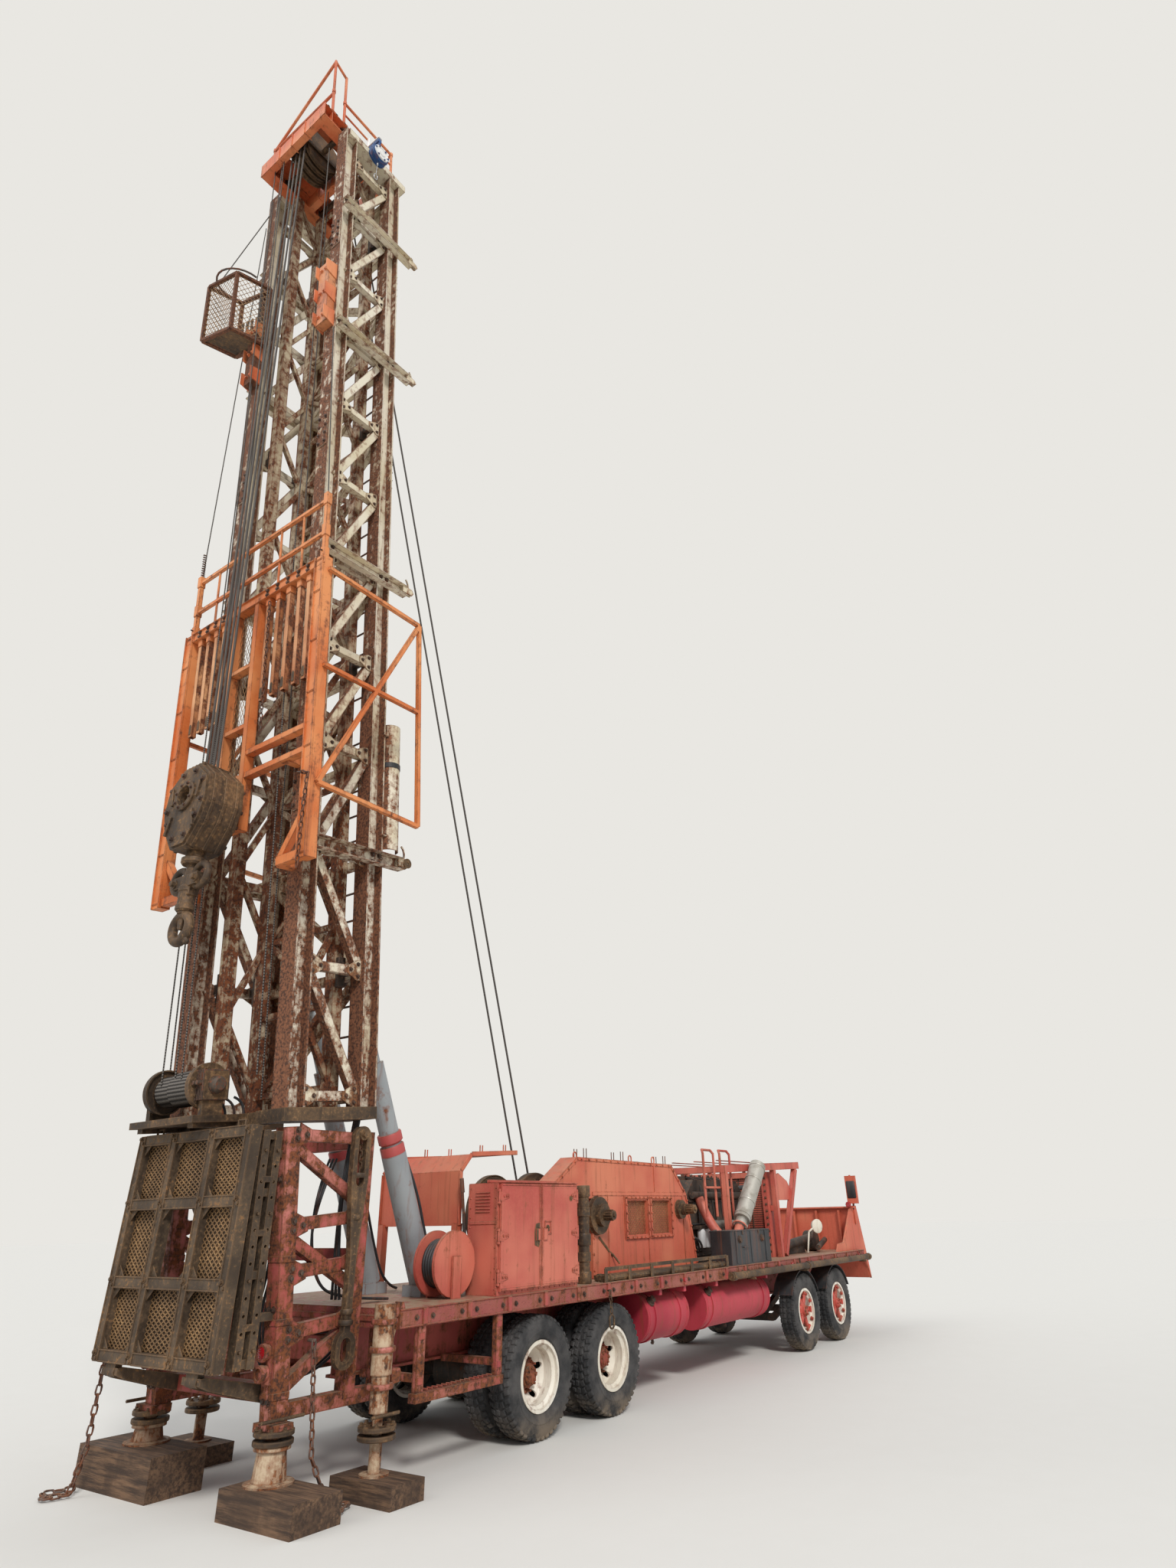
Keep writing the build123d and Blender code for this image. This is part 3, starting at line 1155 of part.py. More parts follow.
# Brackets and pins that carry the floor
EAR_THICK = 40.0
EAR_Y = (HINGE_Y - 100, HINGE_Y + 100)
EAR = 30.0
PIN_LENGTH = 240.0
BEAM_REAR_X = along(FLOOR_BEAM_AT) - FLOOR_BEAM / 2
with BuildPart() as floor_carrier:
    for side in (-1, 1):
        for ear in EAR_Y:
            with BuildSketch(Plane.XZ.offset(-side * ear - EAR_THICK / 2)):
                with BuildLine():
                    Polyline(
                        (hinge_x - EAR, FLOOR_HINGE_Z - 20),
                        (hinge_x - EAR, FLOOR_HINGE_Z + EAR),
                        (hinge_x + EAR, FLOOR_HINGE_Z + EAR),
                        (BEAM_REAR_X, FLOOR_BEAM_Z + FLOOR_BEAM / 2),
                        (BEAM_REAR_X, FLOOR_BEAM_Z - FLOOR_BEAM / 2),
                        (hinge_x + 2 * EAR, FLOOR_HINGE_Z - 2 * EAR),
                        close=True,
                    )
                make_face()
            extrude(amount=EAR_THICK)
        with Locations(Location((hinge_x, side * HINGE_Y, FLOOR_HINGE_Z), (90, 0, 0))):
            Cylinder(PIN_RADIUS, PIN_LENGTH)
save(floor_carrier, "floor_carrier")

# Guide rails with pin holes, between the floor and the rear posts
GUIDE_Y = 800.0
GUIDE_AT = (-3310.0, -3190.0)
GUIDE_RAIL = (90.0, 70.0)
GUIDE_FOOT_Z = 960.0
GUIDE_TOP_Z = POST_TOP_Z - 40
GUIDE_TIE = 60.0
GUIDE_TIES_Z = (1000.0, 1600.0, 2200.0, GUIDE_TOP_Z - 40)
GUIDE_ARMS_Z = (1300.0, 2500.0)
GUIDE_HOLE = 13.0
GUIDE_HOLE_PITCH = 120.0
HOLE_COUNT = int((GUIDE_TOP_Z - GUIDE_FOOT_Z) / GUIDE_HOLE_PITCH) - 1
with BuildPart() as floor_guides:
    for side in (-1, 1):
        y = side * GUIDE_Y
        rails = [bar((along(x), y, GUIDE_FOOT_Z), (along(x), y, GUIDE_TOP_Z), *GUIDE_RAIL) for x in GUIDE_AT]
        for z in GUIDE_TIES_Z:
            rails.append(bar((along(GUIDE_AT[0]), y, z), (along(GUIDE_AT[1]), y, z), GUIDE_TIE, GUIDE_TIE))
        for z in GUIDE_ARMS_Z:
            face = (post_x(z) - POST_SIZE / 2 - 3, y, z)
            rails.append(bar((along(GUIDE_AT[1]), y, z), face, GUIDE_TIE, GUIDE_TIE))
        add(rails)
    with BuildSketch(Plane.XZ):
        with Locations([
            (along(x), GUIDE_FOOT_Z + GUIDE_HOLE_PITCH * (k + 1)) for x in GUIDE_AT for k in range(HOLE_COUNT)
        ]):
            Circle(GUIDE_HOLE)
    extrude(amount=2 * GUIDE_Y, both=True, mode=Mode.SUBTRACT)
save(floor_guides, "floor_guides")


# Cabinet on the right edge of the deck, with the pins and brackets of its doors
CABINET_BACK_Y = CABINET_FACE_Y + CABINET_DEPTH
CABINET_LENGTH = CABINET_FRONT_AT - CABINET_REAR_AT
CABINET_MID_X = along((CABINET_FRONT_AT + CABINET_REAR_AT) / 2)
DOOR_BACK_Y = CABINET_FACE_Y - DOOR_SEAT
DOOR_FACE_Y = DOOR_BACK_Y - DOOR_THICK
DOOR_LOW = DECK_TOP + SILL - DOOR_LAP
DOOR_HIGH = CABINET_TOP - SHEET + DOOR_LAP
DOOR_MID_Z = (DOOR_LOW + DOOR_HIGH) / 2
HINGE_INSET = 4.0
HINGE_REAR_X = along(CABINET_REAR_AT) + HINGE_INSET
HINGE_FRONT_X = along(CABINET_FRONT_AT) - HINGE_INSET
HINGE_PIN_Y = DOOR_BACK_Y - DOOR_THICK / 2
HINGE_PIN = 7.0
HINGE_RADIUS = 13.0
HINGE_TALL = 90.0
BRACKET_TALL = 24.0
BRACKET_GAP = 0.6
HINGE_END = 120.0
HINGES_Z = (DOOR_LOW + HINGE_END, DOOR_MID_Z, DOOR_HIGH - HINGE_END)
with BuildPart() as cabinet:
    with BuildSketch(Plane.XY.offset(DECK_TOP)):
        with Locations((CABINET_MID_X, (CABINET_FACE_Y + CABINET_BACK_Y) / 2)):
            Rectangle(CABINET_LENGTH, CABINET_DEPTH)
    extrude(amount=CABINET_TOP - DECK_TOP)
    with BuildSketch(Plane.XZ.offset(-CABINET_FACE_Y)):
        with Locations((CABINET_MID_X, (DECK_TOP + CABINET_TOP) / 2 + (SILL - SHEET) / 2)):
            Rectangle(CABINET_LENGTH - 2 * SHEET, CABINET_TOP - DECK_TOP - SILL - SHEET)
    extrude(amount=-(CABINET_DEPTH - SHEET), mode=Mode.SUBTRACT)
    bracket_rise = (HINGE_TALL + BRACKET_TALL) / 2 + BRACKET_GAP
    for hinge_x in (HINGE_REAR_X, HINGE_FRONT_X):
        for z in HINGES_Z:
            with Locations((hinge_x, HINGE_PIN_Y, z)):
                Cylinder(HINGE_PIN, 2 * bracket_rise + BRACKET_TALL)
            with Locations([(hinge_x, HINGE_PIN_Y, z + side * bracket_rise) for side in (-1, 1)]):
                Cylinder(HINGE_RADIUS, BRACKET_TALL)
            root_y = (HINGE_PIN_Y + CABINET_FACE_Y) / 2
            with Locations([(hinge_x, root_y, z + side * bracket_rise) for side in (-1, 1)]):
                Box(2 * HINGE_RADIUS, CABINET_FACE_Y - HINGE_PIN_Y, BRACKET_TALL)
save(cabinet, "cabinet")

# Doors laid over the cabinet's mouth, each hung on three bored knuckles
DOOR_WIDTH = (HINGE_FRONT_X - HINGE_REAR_X - DOOR_GAP) / 2
DOOR_EDGE = HINGE_RADIUS + 5
DOOR_PLATE = DOOR_WIDTH - DOOR_EDGE
DOOR_PAN = 6.0
DOOR_BORDER = 40.0
LEAF = (60.0, 12.0)
LEAF_OUT = 4.0
HANDLE = (70.0, 16.0, 110.0)
HANDLE_INSET = 60.0
for name, hinge_x, turn in (("rear", HINGE_REAR_X, 1), ("front", HINGE_FRONT_X, -1)):
    middle = hinge_x + turn * (DOOR_EDGE + DOOR_PLATE / 2)
    with BuildPart() as door:
        with BuildSketch(Plane.XZ.offset(-DOOR_BACK_Y)):
            with Locations((middle, DOOR_MID_Z)):
                Rectangle(DOOR_PLATE, DOOR_HIGH - DOOR_LOW)
        extrude(amount=DOOR_THICK)
        with BuildSketch(Plane.XZ.offset(-DOOR_BACK_Y)):
            with Locations((middle, DOOR_MID_Z)):
                Rectangle(DOOR_PLATE - 2 * DOOR_BORDER, DOOR_HIGH - DOOR_LOW - 2 * DOOR_BORDER)
        extrude(amount=DOOR_THICK - DOOR_PAN, mode=Mode.SUBTRACT)
        for z in HINGES_Z:
            with Locations((hinge_x, HINGE_PIN_Y, z)):
                Cylinder(HINGE_RADIUS, HINGE_TALL)
            with Locations((hinge_x + turn * LEAF[0] / 2, DOOR_FACE_Y - LEAF_OUT + LEAF[1] / 2, z)):
                Box(LEAF[0], LEAF[1], HINGE_TALL)
            with Locations((hinge_x, HINGE_PIN_Y, z)):
                Cylinder(HINGE_PIN + RUNNING_GAP, 2 * HINGE_TALL, mode=Mode.SUBTRACT)
        handle_x = hinge_x + turn * (DOOR_WIDTH - HANDLE_INSET)
        with Locations((handle_x, DOOR_FACE_Y - HANDLE[1] / 2, DOOR_MID_Z)):
            Box(*HANDLE)
    save(door, f"cabinet_door_{name}")


# Drawworks: two drums on bearing stands, with their guards
DRUM_WALL = 40.0
DRUM_SHAFT = 50.0
DRUM_SHAFT_END = 160.0
DRUM_HALF = 330.0


def drum_outline(radius, flange, half):
    """Half section of a flanged drum."""
    end = half + DRUM_SHAFT_END
    return [
        (0, -end),
        (DRUM_SHAFT, -end),
        (DRUM_SHAFT, -half),
        (flange, -half),
        (flange, -half + DRUM_WALL),
        (radius, -half + DRUM_WALL),
        (radius, half - DRUM_WALL),
        (flange, half - DRUM_WALL),
        (flange, half),
        (DRUM_SHAFT, half),
        (DRUM_SHAFT, end),
        (0, end),
    ]


DRUMS = ((950.0, 2000.0, 290.0, 430.0), (2500.0, 1900.0, 260.0, 400.0))
with BuildPart() as drums:
    for at, z, radius, flange in DRUMS:
        origin = (along(at), 0, z)
        with BuildSketch(Plane(origin=origin, x_dir=(1, 0, 0), z_dir=(0, 0, 1))):
            with BuildLine():
                Polyline(*drum_outline(radius, flange, DRUM_HALF), close=True)
            make_face()
        revolve(axis=Axis(origin, (0, 1, 0)))
save(drums, "drums")

STAND_Y = DRUM_HALF + 70.0
STAND_THICK = 60.0
STAND_FOOT = 300.0
STAND_HEAD = (120.0, 110.0)
HOOD_HALF = 600.0
HOOD_SHEET = 20.0
HOOD_LEG = 80.0
HOOD_OUTER = ((-640.0, 1900.0), (-640.0, 2430.0), (-480.0, 2600.0), (300.0, 2640.0))
HOOD_INNER = ((300.0, 2620.0), (-470.0, 2580.0), (-620.0, 2420.0), (-620.0, 1900.0))
with BuildPart() as drum_frame:
    for at, z, radius, flange in DRUMS:
        for side in (-1, 1):
            with BuildSketch(Plane.XZ.offset(-side * STAND_Y - STAND_THICK / 2)):
                with BuildLine():
                    Polyline(
                        (along(at) - STAND_FOOT, DECK_TOP),
                        (along(at) + STAND_FOOT, DECK_TOP),
                        (along(at) + STAND_HEAD[0], z + STAND_HEAD[1]),
                        (along(at) - STAND_HEAD[0], z + STAND_HEAD[1]),
                        close=True,
                    )
                make_face()
                with Locations((along(at), z)):
                    Circle(DRUM_SHAFT + RUNNING_GAP, mode=Mode.SUBTRACT)
            extrude(amount=STAND_THICK)
    with BuildSketch(Plane.XZ.offset(-HOOD_HALF)):
        with BuildLine():
            Polyline(*[(along(x), z) for x, z in HOOD_OUTER + HOOD_INNER], close=True)
        make_face()
    extrude(amount=2 * HOOD_HALF)
    for side in (-1, 1):
        foot = (along(HOOD_OUTER[0][0] + HOOD_SHEET / 2), side * (HOOD_HALF - HOOD_LEG / 2), DECK_TOP)
        add(bar(foot, (foot[0], foot[1], HOOD_OUTER[0][1] + HOOD_SHEET), HOOD_LEG, HOOD_LEG))
save(drum_frame, "drum_frame")

# Chain guard: a flat housing with joint strips and two framed windows
GUARD_FACE_Y = -750.0
GUARD_BACK_Y = -(DRUM_HALF + DRUM_SHAFT_END)
GUARD_OUTLINE = (
    (1580.0, DECK_TOP),
    (4180.0, DECK_TOP),
    (4130.0, 1560.0),
    (3970.0, 2210.0),
    (3585.0, 2590.0),
    (1290.0, 2620.0),
    (760.0, 2290.0),
    (760.0, 2150.0),
    (1580.0, 2150.0),
)
GUARD_ROUND = 12.0
STRIP = 8.0
STRIP_WIDTH = 40.0
LONG_STRIP = (1600.0, 3960.0, 2205.0)
SHORT_STRIP = (3110.0, 2225.0, 2596.0)
WINDOW_FRAME = 55.0
WINDOW = (500.0, 400.0)
WINDOW_PITCH = 610.0
WINDOW_AT = (2620.0, 1925.0)
WINDOW_DEPTH = 60.0
with BuildPart() as chain_guard:
    with BuildSketch(Plane.XZ.offset(-GUARD_FACE_Y)) as side_sheet:
        with BuildLine():
            Polyline(*[(along(x), z) for x, z in GUARD_OUTLINE], close=True)
        make_face()
        fillet(side_sheet.vertices(), radius=GUARD_ROUND)
    extrude(amount=-(GUARD_BACK_Y - GUARD_FACE_Y))
    windows = [(along(WINDOW_AT[0] + WINDOW_PITCH * k), WINDOW_AT[1]) for k in range(2)]
    with BuildSketch(Plane.XZ.offset(-GUARD_FACE_Y)):
        with Locations(*windows):
            Rectangle(WINDOW[0] + 2 * WINDOW_FRAME, WINDOW[1] + 2 * WINDOW_FRAME)
        with Locations((along((LONG_STRIP[0] + LONG_STRIP[1]) / 2), LONG_STRIP[2])):
            Rectangle(LONG_STRIP[1] - LONG_STRIP[0], STRIP_WIDTH)
        with Locations((along(SHORT_STRIP[0]), (SHORT_STRIP[1] + SHORT_STRIP[2]) / 2)):
            Rectangle(STRIP_WIDTH, SHORT_STRIP[2] - SHORT_STRIP[1])
    extrude(amount=STRIP)
    with BuildSketch(Plane.XZ.offset(-GUARD_FACE_Y + STRIP)):
        with Locations(*windows):
            Rectangle(*WINDOW)
    extrude(amount=-(WINDOW_DEPTH + STRIP), mode=Mode.SUBTRACT)
save(chain_guard, "chain_guard")

SHAFTS = ((1690.0, 1960.0, 210.0), (3740.0, 2010.0, 120.0))
SHAFT_STEPS = ((0.0, 60.0, 1.0), (60.0, 130.0, 0.6))
SHAFT_NOSE = (130.0, 260.0, 55.0)
with BuildPart() as shaft_ends:
    for at, z, disc in SHAFTS:
        steps = [(start, end, share * disc) for start, end, share in SHAFT_STEPS]
        for start, end, radius in steps + [SHAFT_NOSE]:
            add(pipe((along(at), GUARD_FACE_Y - start, z), (along(at), GUARD_FACE_Y - end, z), radius))
save(shaft_ends, "shaft_ends")


# Pipework stored on the right edge: an upright pipe, a rack and a long pipe on hooks
UPRIGHT_AT = 920.0
UPRIGHT_Y = -(DECK_HALF_WIDTH - 150.0)
UPRIGHT_RADIUS = 62.0
UPRIGHT_TOP = CABINET_TOP - 30
UPRIGHT_COLLARS = (1500.0, 1960.0)
LONG_PIPE_Y = -(DECK_HALF_WIDTH + 62.0)
LONG_PIPE_Z = 1165.0
LONG_PIPE_RADIUS = 46.0
LONG_PIPE_AT = (4080.0, 9680.0)
PIPE_HOOKS_AT = (4700.0, 6600.0, 9300.0)
HOOK_BAR = (30.0, 24.0)
HOOK_STEM = (16.0, 30.0)
HOOK_REACH = 70.0
RACK_AT = (1150.0, 4150.0)
RACK_PITCH = 500.0
RACK_COUNT = 7
RACK_Y = -(DECK_HALF_WIDTH - 15.0)
RACK_TALL = 140.0
RACK_BAR = (10.0, 60.0)
RACK_RAIL = (10.0, 40.0)
RACK_PIPE = 34.0
RACK_PIPE_PITCH = 72.0
with BuildPart() as deck_pipes:
    foot = (along(UPRIGHT_AT), UPRIGHT_Y, DECK_TOP)
    add(pipe(foot, (foot[0], foot[1], UPRIGHT_TOP), UPRIGHT_RADIUS))
    for z in UPRIGHT_COLLARS:
        add(pipe((foot[0], foot[1], z), (foot[0], foot[1], z + 90), UPRIGHT_RADIUS + 12))
    rack = []
    for k in range(RACK_COUNT):
        x = along(RACK_AT[0] + RACK_PITCH * k)
        rack.append(bar((x, RACK_Y, DECK_TOP), (x, RACK_Y, DECK_TOP + RACK_TALL), *RACK_BAR))
    rail_z = DECK_TOP + RACK_TALL - 10
    rail_y = RACK_Y + RACK_RAIL[0]
    rack.append(bar((along(RACK_AT[0]), rail_y, rail_z), (along(RACK_AT[1]), rail_y, rail_z), *RACK_RAIL))
    add(rack)
    for k in range(3):
        y = RACK_Y + 50 + RACK_PIPE_PITCH * k
        start = (along(RACK_AT[0] + 40 * k), y, DECK_TOP + RACK_PIPE)
        add(pipe(start, (along(RACK_AT[1] - 90 * k), y, DECK_TOP + RACK_PIPE), RACK_PIPE, 8))
    add(pipe(*[(along(x), LONG_PIPE_Y, LONG_PIPE_Z) for x in LONG_PIPE_AT], LONG_PIPE_RADIUS))
    hooks = []
    low = LONG_PIPE_Z - LONG_PIPE_RADIUS - 10
    stem_y = -DECK_HALF_WIDTH - HOOK_STEM[0] / 2
    for x in PIPE_HOOKS_AT:
        tip = (along(x), LONG_PIPE_Y - HOOK_REACH, low)
        hooks.append(bar(tip, (along(x), -DECK_HALF_WIDTH, low), *HOOK_BAR, (1, 0, 0)))
        hooks.append(bar((along(x), stem_y, low), (along(x), stem_y, DECK_TOP), *HOOK_STEM))
    add(hooks)
save(deck_pipes, "deck_pipes")


# Hose reel behind the cabinet
REEL_AT = -1060.0
REEL_Z = 1575.0
REEL_FACE_Y = -(DECK_HALF_WIDTH - 290.0)
REEL_FLANGE = 290.0
REEL_BARREL = 200.0
REEL_WIDTH = 280.0
REEL_PLATE = 30.0
REEL_AXLE = 30.0
REEL_STAND = (20.0, 120.0)
REEL_STAND_GAP = 25.0
REEL_STAND_TOP = 65.0
with BuildPart() as hose_reel:
    barrel = REEL_WIDTH - 2 * REEL_PLATE
    rings = ((0.0, REEL_PLATE, REEL_FLANGE), (REEL_PLATE, barrel, REEL_BARREL))
    rings += ((REEL_PLATE + barrel, REEL_PLATE, REEL_FLANGE),)
    for start, thick, radius in rings:
        y = REEL_FACE_Y + start
        add(pipe((along(REEL_AT), y, REEL_Z), (along(REEL_AT), y + thick, REEL_Z), radius))
    stands = (REEL_FACE_Y - REEL_STAND_GAP, REEL_FACE_Y + REEL_WIDTH + REEL_STAND_GAP)
    for y in stands:
        add(bar((along(REEL_AT), y, DECK_TOP), (along(REEL_AT), y, REEL_Z + REEL_STAND_TOP), *REEL_STAND))
    add(pipe(*[(along(REEL_AT), y, REEL_Z) for y in stands], REEL_AXLE))
save(hose_reel, "hose_reel")


# Engine with its rocker covers and exhaust manifold
ENGINE_AT = (4500.0, 6550.0)
ENGINE_HALF = 420.0
ENGINE_TOP = 2420.0
ENGINE_SHOULDER = 2150.0
COVER = (220.0, 300.0, 60.0)
COVER_COUNT = 5
COVER_FROM = 4920.0
COVER_PITCH = 290.0
MANIFOLD_Z = 2200.0
MANIFOLD = 50.0
MANIFOLD_GAP = 15.0
MANIFOLD_AT = (4620.0, 6400.0)
with BuildPart() as engine:
    with BuildSketch(Plane.XZ.offset(ENGINE_HALF)):
        with BuildLine():
            Polyline(
                (along(ENGINE_AT[0]), DECK_TOP),
                (along(ENGINE_AT[1]), DECK_TOP),
                (along(ENGINE_AT[1]), ENGINE_SHOULDER),
                (along(ENGINE_AT[1] - 300), ENGINE_TOP),
                (along(ENGINE_AT[0] + 300), ENGINE_TOP),
                (along(ENGINE_AT[0]), ENGINE_SHOULDER),
                close=True,
            )
        make_face()
    extrude(amount=-2 * ENGINE_HALF)
    covers = [(along(COVER_FROM + COVER_PITCH * k), 0, ENGINE_TOP + COVER[2] / 2) for k in range(COVER_COUNT)]
    with Locations(*covers):
        Box(*COVER)
    for side in (-1, 1):
        y = side * (ENGINE_HALF + MANIFOLD + MANIFOLD_GAP)
        add(pipe(*[(along(x), y, MANIFOLD_Z) for x in MANIFOLD_AT], MANIFOLD, 12))
        for k in range(COVER_COUNT):
            x = along(COVER_FROM + COVER_PITCH * k)
            add(pipe((x, side * (ENGINE_HALF - 10), MANIFOLD_Z), (x, y, MANIFOLD_Z), MANIFOLD - 12, 12))
save(engine, "engine")

GEARBOX_AT = 3950.0
GEARBOX_Y = -140.0
GEARBOX_Z = (1300.0, 2150.0)
GEARBOX_RADIUS = 330.0
GEARBOX_CASE = (900.0, 700.0, 222.0)
GEARBOX_BAND_Z = (1480.0, 2020.0)
with BuildPart() as gearbox:
    add(pipe(*[(along(GEARBOX_AT), GEARBOX_Y, z) for z in GEARBOX_Z], GEARBOX_RADIUS))
    for z in GEARBOX_BAND_Z:
        add(pipe(*[(along(GEARBOX_AT), GEARBOX_Y, z + dz) for dz in (0, 40)], GEARBOX_RADIUS + 18))
    case_top = DECK_TOP + GEARBOX_CASE[2]
    add(bar((along(GEARBOX_AT), 0, DECK_TOP), (along(GEARBOX_AT), 0, case_top), *GEARBOX_CASE[:2]))
save(gearbox, "gearbox")

# Radiator and the red beams over the engine
RADIATOR_AT = 6850.0
RADIATOR = (260.0, 1500.0)
RADIATOR_TOP = 2560.0
CORE_BORDER = 90.0
CORE_DEPTH = 45.0
BEAM_SIDE_Y = 840.0
BEAM = (80.0, 110.0)
BEAM_AT = ((5000.0, 2560.0), (7900.0, 2680.0))
LEANING_STRUT = ((7003.0, DECK_TOP + 23), (7770.0, 2620.0))
BEAM_POST = (80.0, 90.0)
REAR_POST_AT = 5050.0
CROSS_BEAM = 90.0
CROSS_BEAMS = ((RADIATOR_AT, 2000.0), (REAR_POST_AT, 2560.0), (7850.0, 2670.0))
with BuildPart() as engine_frame:
    tall = RADIATOR_TOP - DECK_TOP
    with Locations((along(RADIATOR_AT), 0, DECK_TOP + tall / 2)):
        Box(RADIATOR[0], RADIATOR[1], tall)
    pocket_x = [along(RADIATOR_AT) + side * (RADIATOR[0] - CORE_DEPTH) / 2 for side in (-1, 1)]
    with Locations([(x, 0, DECK_TOP + tall / 2) for x in pocket_x]):
        Box(CORE_DEPTH, RADIATOR[1] - 2 * CORE_BORDER, tall - 2 * CORE_BORDER, mode=Mode.SUBTRACT)
    shapes = []
    for side in (-1, 1):
        y = side * BEAM_SIDE_Y
        shapes.append(bar(*[(along(x), y, z) for x, z in BEAM_AT], *BEAM))
        shapes.append(bar(*[(along(x), y, z) for x, z in LEANING_STRUT], *BEAM_POST))
        for at, top in ((REAR_POST_AT, BEAM_AT[0][1]), (RADIATOR_AT, 2640.0)):
            shapes.append(bar((along(at), y, DECK_TOP), (along(at), y, top), *BEAM_POST))
    for at, z in CROSS_BEAMS:
        ends = [(along(at), side * BEAM_SIDE_Y, z) for side in (-1, 1)]
        shapes.append(bar(*ends, CROSS_BEAM, CROSS_BEAM, (1, 0, 0)))
    add(shapes)
save(engine_frame, "engine_frame")

# Muffler on its elbow, leaning forward
MUFFLER_Y = -1020.0
MUFFLER = ((5150.0, 1850.0), (5900.0, 2620.0))
MUFFLER_RADIUS = 125.0
ELBOW_AT = 5165.0
ELBOW_Z = 1790.0
ELBOW_RADIUS = 60.0
with BuildPart() as muffler:
    add(pipe(*[(along(x), MUFFLER_Y, z) for x, z in MUFFLER], MUFFLER_RADIUS))
    elbow = (along(ELBOW_AT), MUFFLER_Y, ELBOW_Z)
    add(pipe(elbow, (elbow[0], elbow[1], ELBOW_Z + 80), ELBOW_RADIUS))
    add(pipe((elbow[0], -ENGINE_HALF, ELBOW_Z), (elbow[0], MUFFLER_Y - ELBOW_RADIUS, ELBOW_Z), ELBOW_RADIUS))
save(muffler, "muffler")

TOOL_BOX = (1300.0, 330.0, 430.0)
TOOL_BOX_AT = 4990.0
TOOL_BOX_Y = -(DECK_HALF_WIDTH - 30.0 - TOOL_BOX[1] / 2)
TOOL_BOX_ROUND = 8.0
with BuildPart() as tool_box:
    with Locations((along(TOOL_BOX_AT), TOOL_BOX_Y, DECK_TOP + TOOL_BOX[2] / 2)):
        Box(*TOOL_BOX)
    fillet(tool_box.edges().filter_by(Axis.Z), radius=TOOL_BOX_ROUND)
save(tool_box, "tool_box")


# Front bulkhead with its side gussets and sloping apron
BULKHEAD_AT = 9560.0
BULKHEAD_TOP = 2000.0
BULKHEAD_SHEET = 30.0
GUSSET_Y = DECK_HALF_WIDTH - 120.0
GUSSET_THICK = 40.0
GUSSET_OUTLINE = (
    (8560.0, DECK_TOP),
    (8670.0, 1400.0),
    (8950.0, 1420.0),
    (9530.0, 2010.0),
    (9790.0, 2010.0),
    (10000.0, DECK_TOP),
    (10110.0, 790.0),
    (9870.0, RAIL_TOP + 40),
    (9600.0, RAIL_TOP + 60),
    (9600.0, DECK_TOP),
)
APRON = ((9900.0, 1250.0), (10080.0, 800.0))
APRON_SHEET = 20.0
MIRROR_STAY_AT = 9640.0
MIRROR_STAY_Y = GUSSET_Y + 32.0
MIRROR_STAY_Z = (1700.0, 2540.0)
MIRROR_STAY_RADIUS = 18.0
MIRROR = (60.0, 200.0, 480.0)
MIRROR_Z = 2285.0
with BuildPart() as bulkhead:
    tall = BULKHEAD_TOP - DECK_TOP
    with Locations((along(BULKHEAD_AT), 0, DECK_TOP + tall / 2)):
        Box(BULKHEAD_SHEET, 2 * GUSSET_Y - GUSSET_THICK, tall)
    for side in (-1, 1):
        with BuildSketch(Plane.XZ.offset(-side * GUSSET_Y - GUSSET_THICK / 2)):
            with BuildLine():
                Polyline(*[(along(x), z) for x, z in GUSSET_OUTLINE], close=True)
            make_face()
        extrude(amount=GUSSET_THICK)
    add(bar(*[(along(x), 0, z) for x, z in APRON], 2 * GUSSET_Y - GUSSET_THICK / 2, APRON_SHEET))
    for side in (-1, 1):
        stay = [(along(MIRROR_STAY_AT), side * MIRROR_STAY_Y, z) for z in MIRROR_STAY_Z]
        add(pipe(*stay, MIRROR_STAY_RADIUS))
        with Locations((along(MIRROR_STAY_AT) - 40, side * (MIRROR_STAY_Y + 18), MIRROR_Z)):
            Box(*MIRROR)
save(bulkhead, "front_bulkhead")


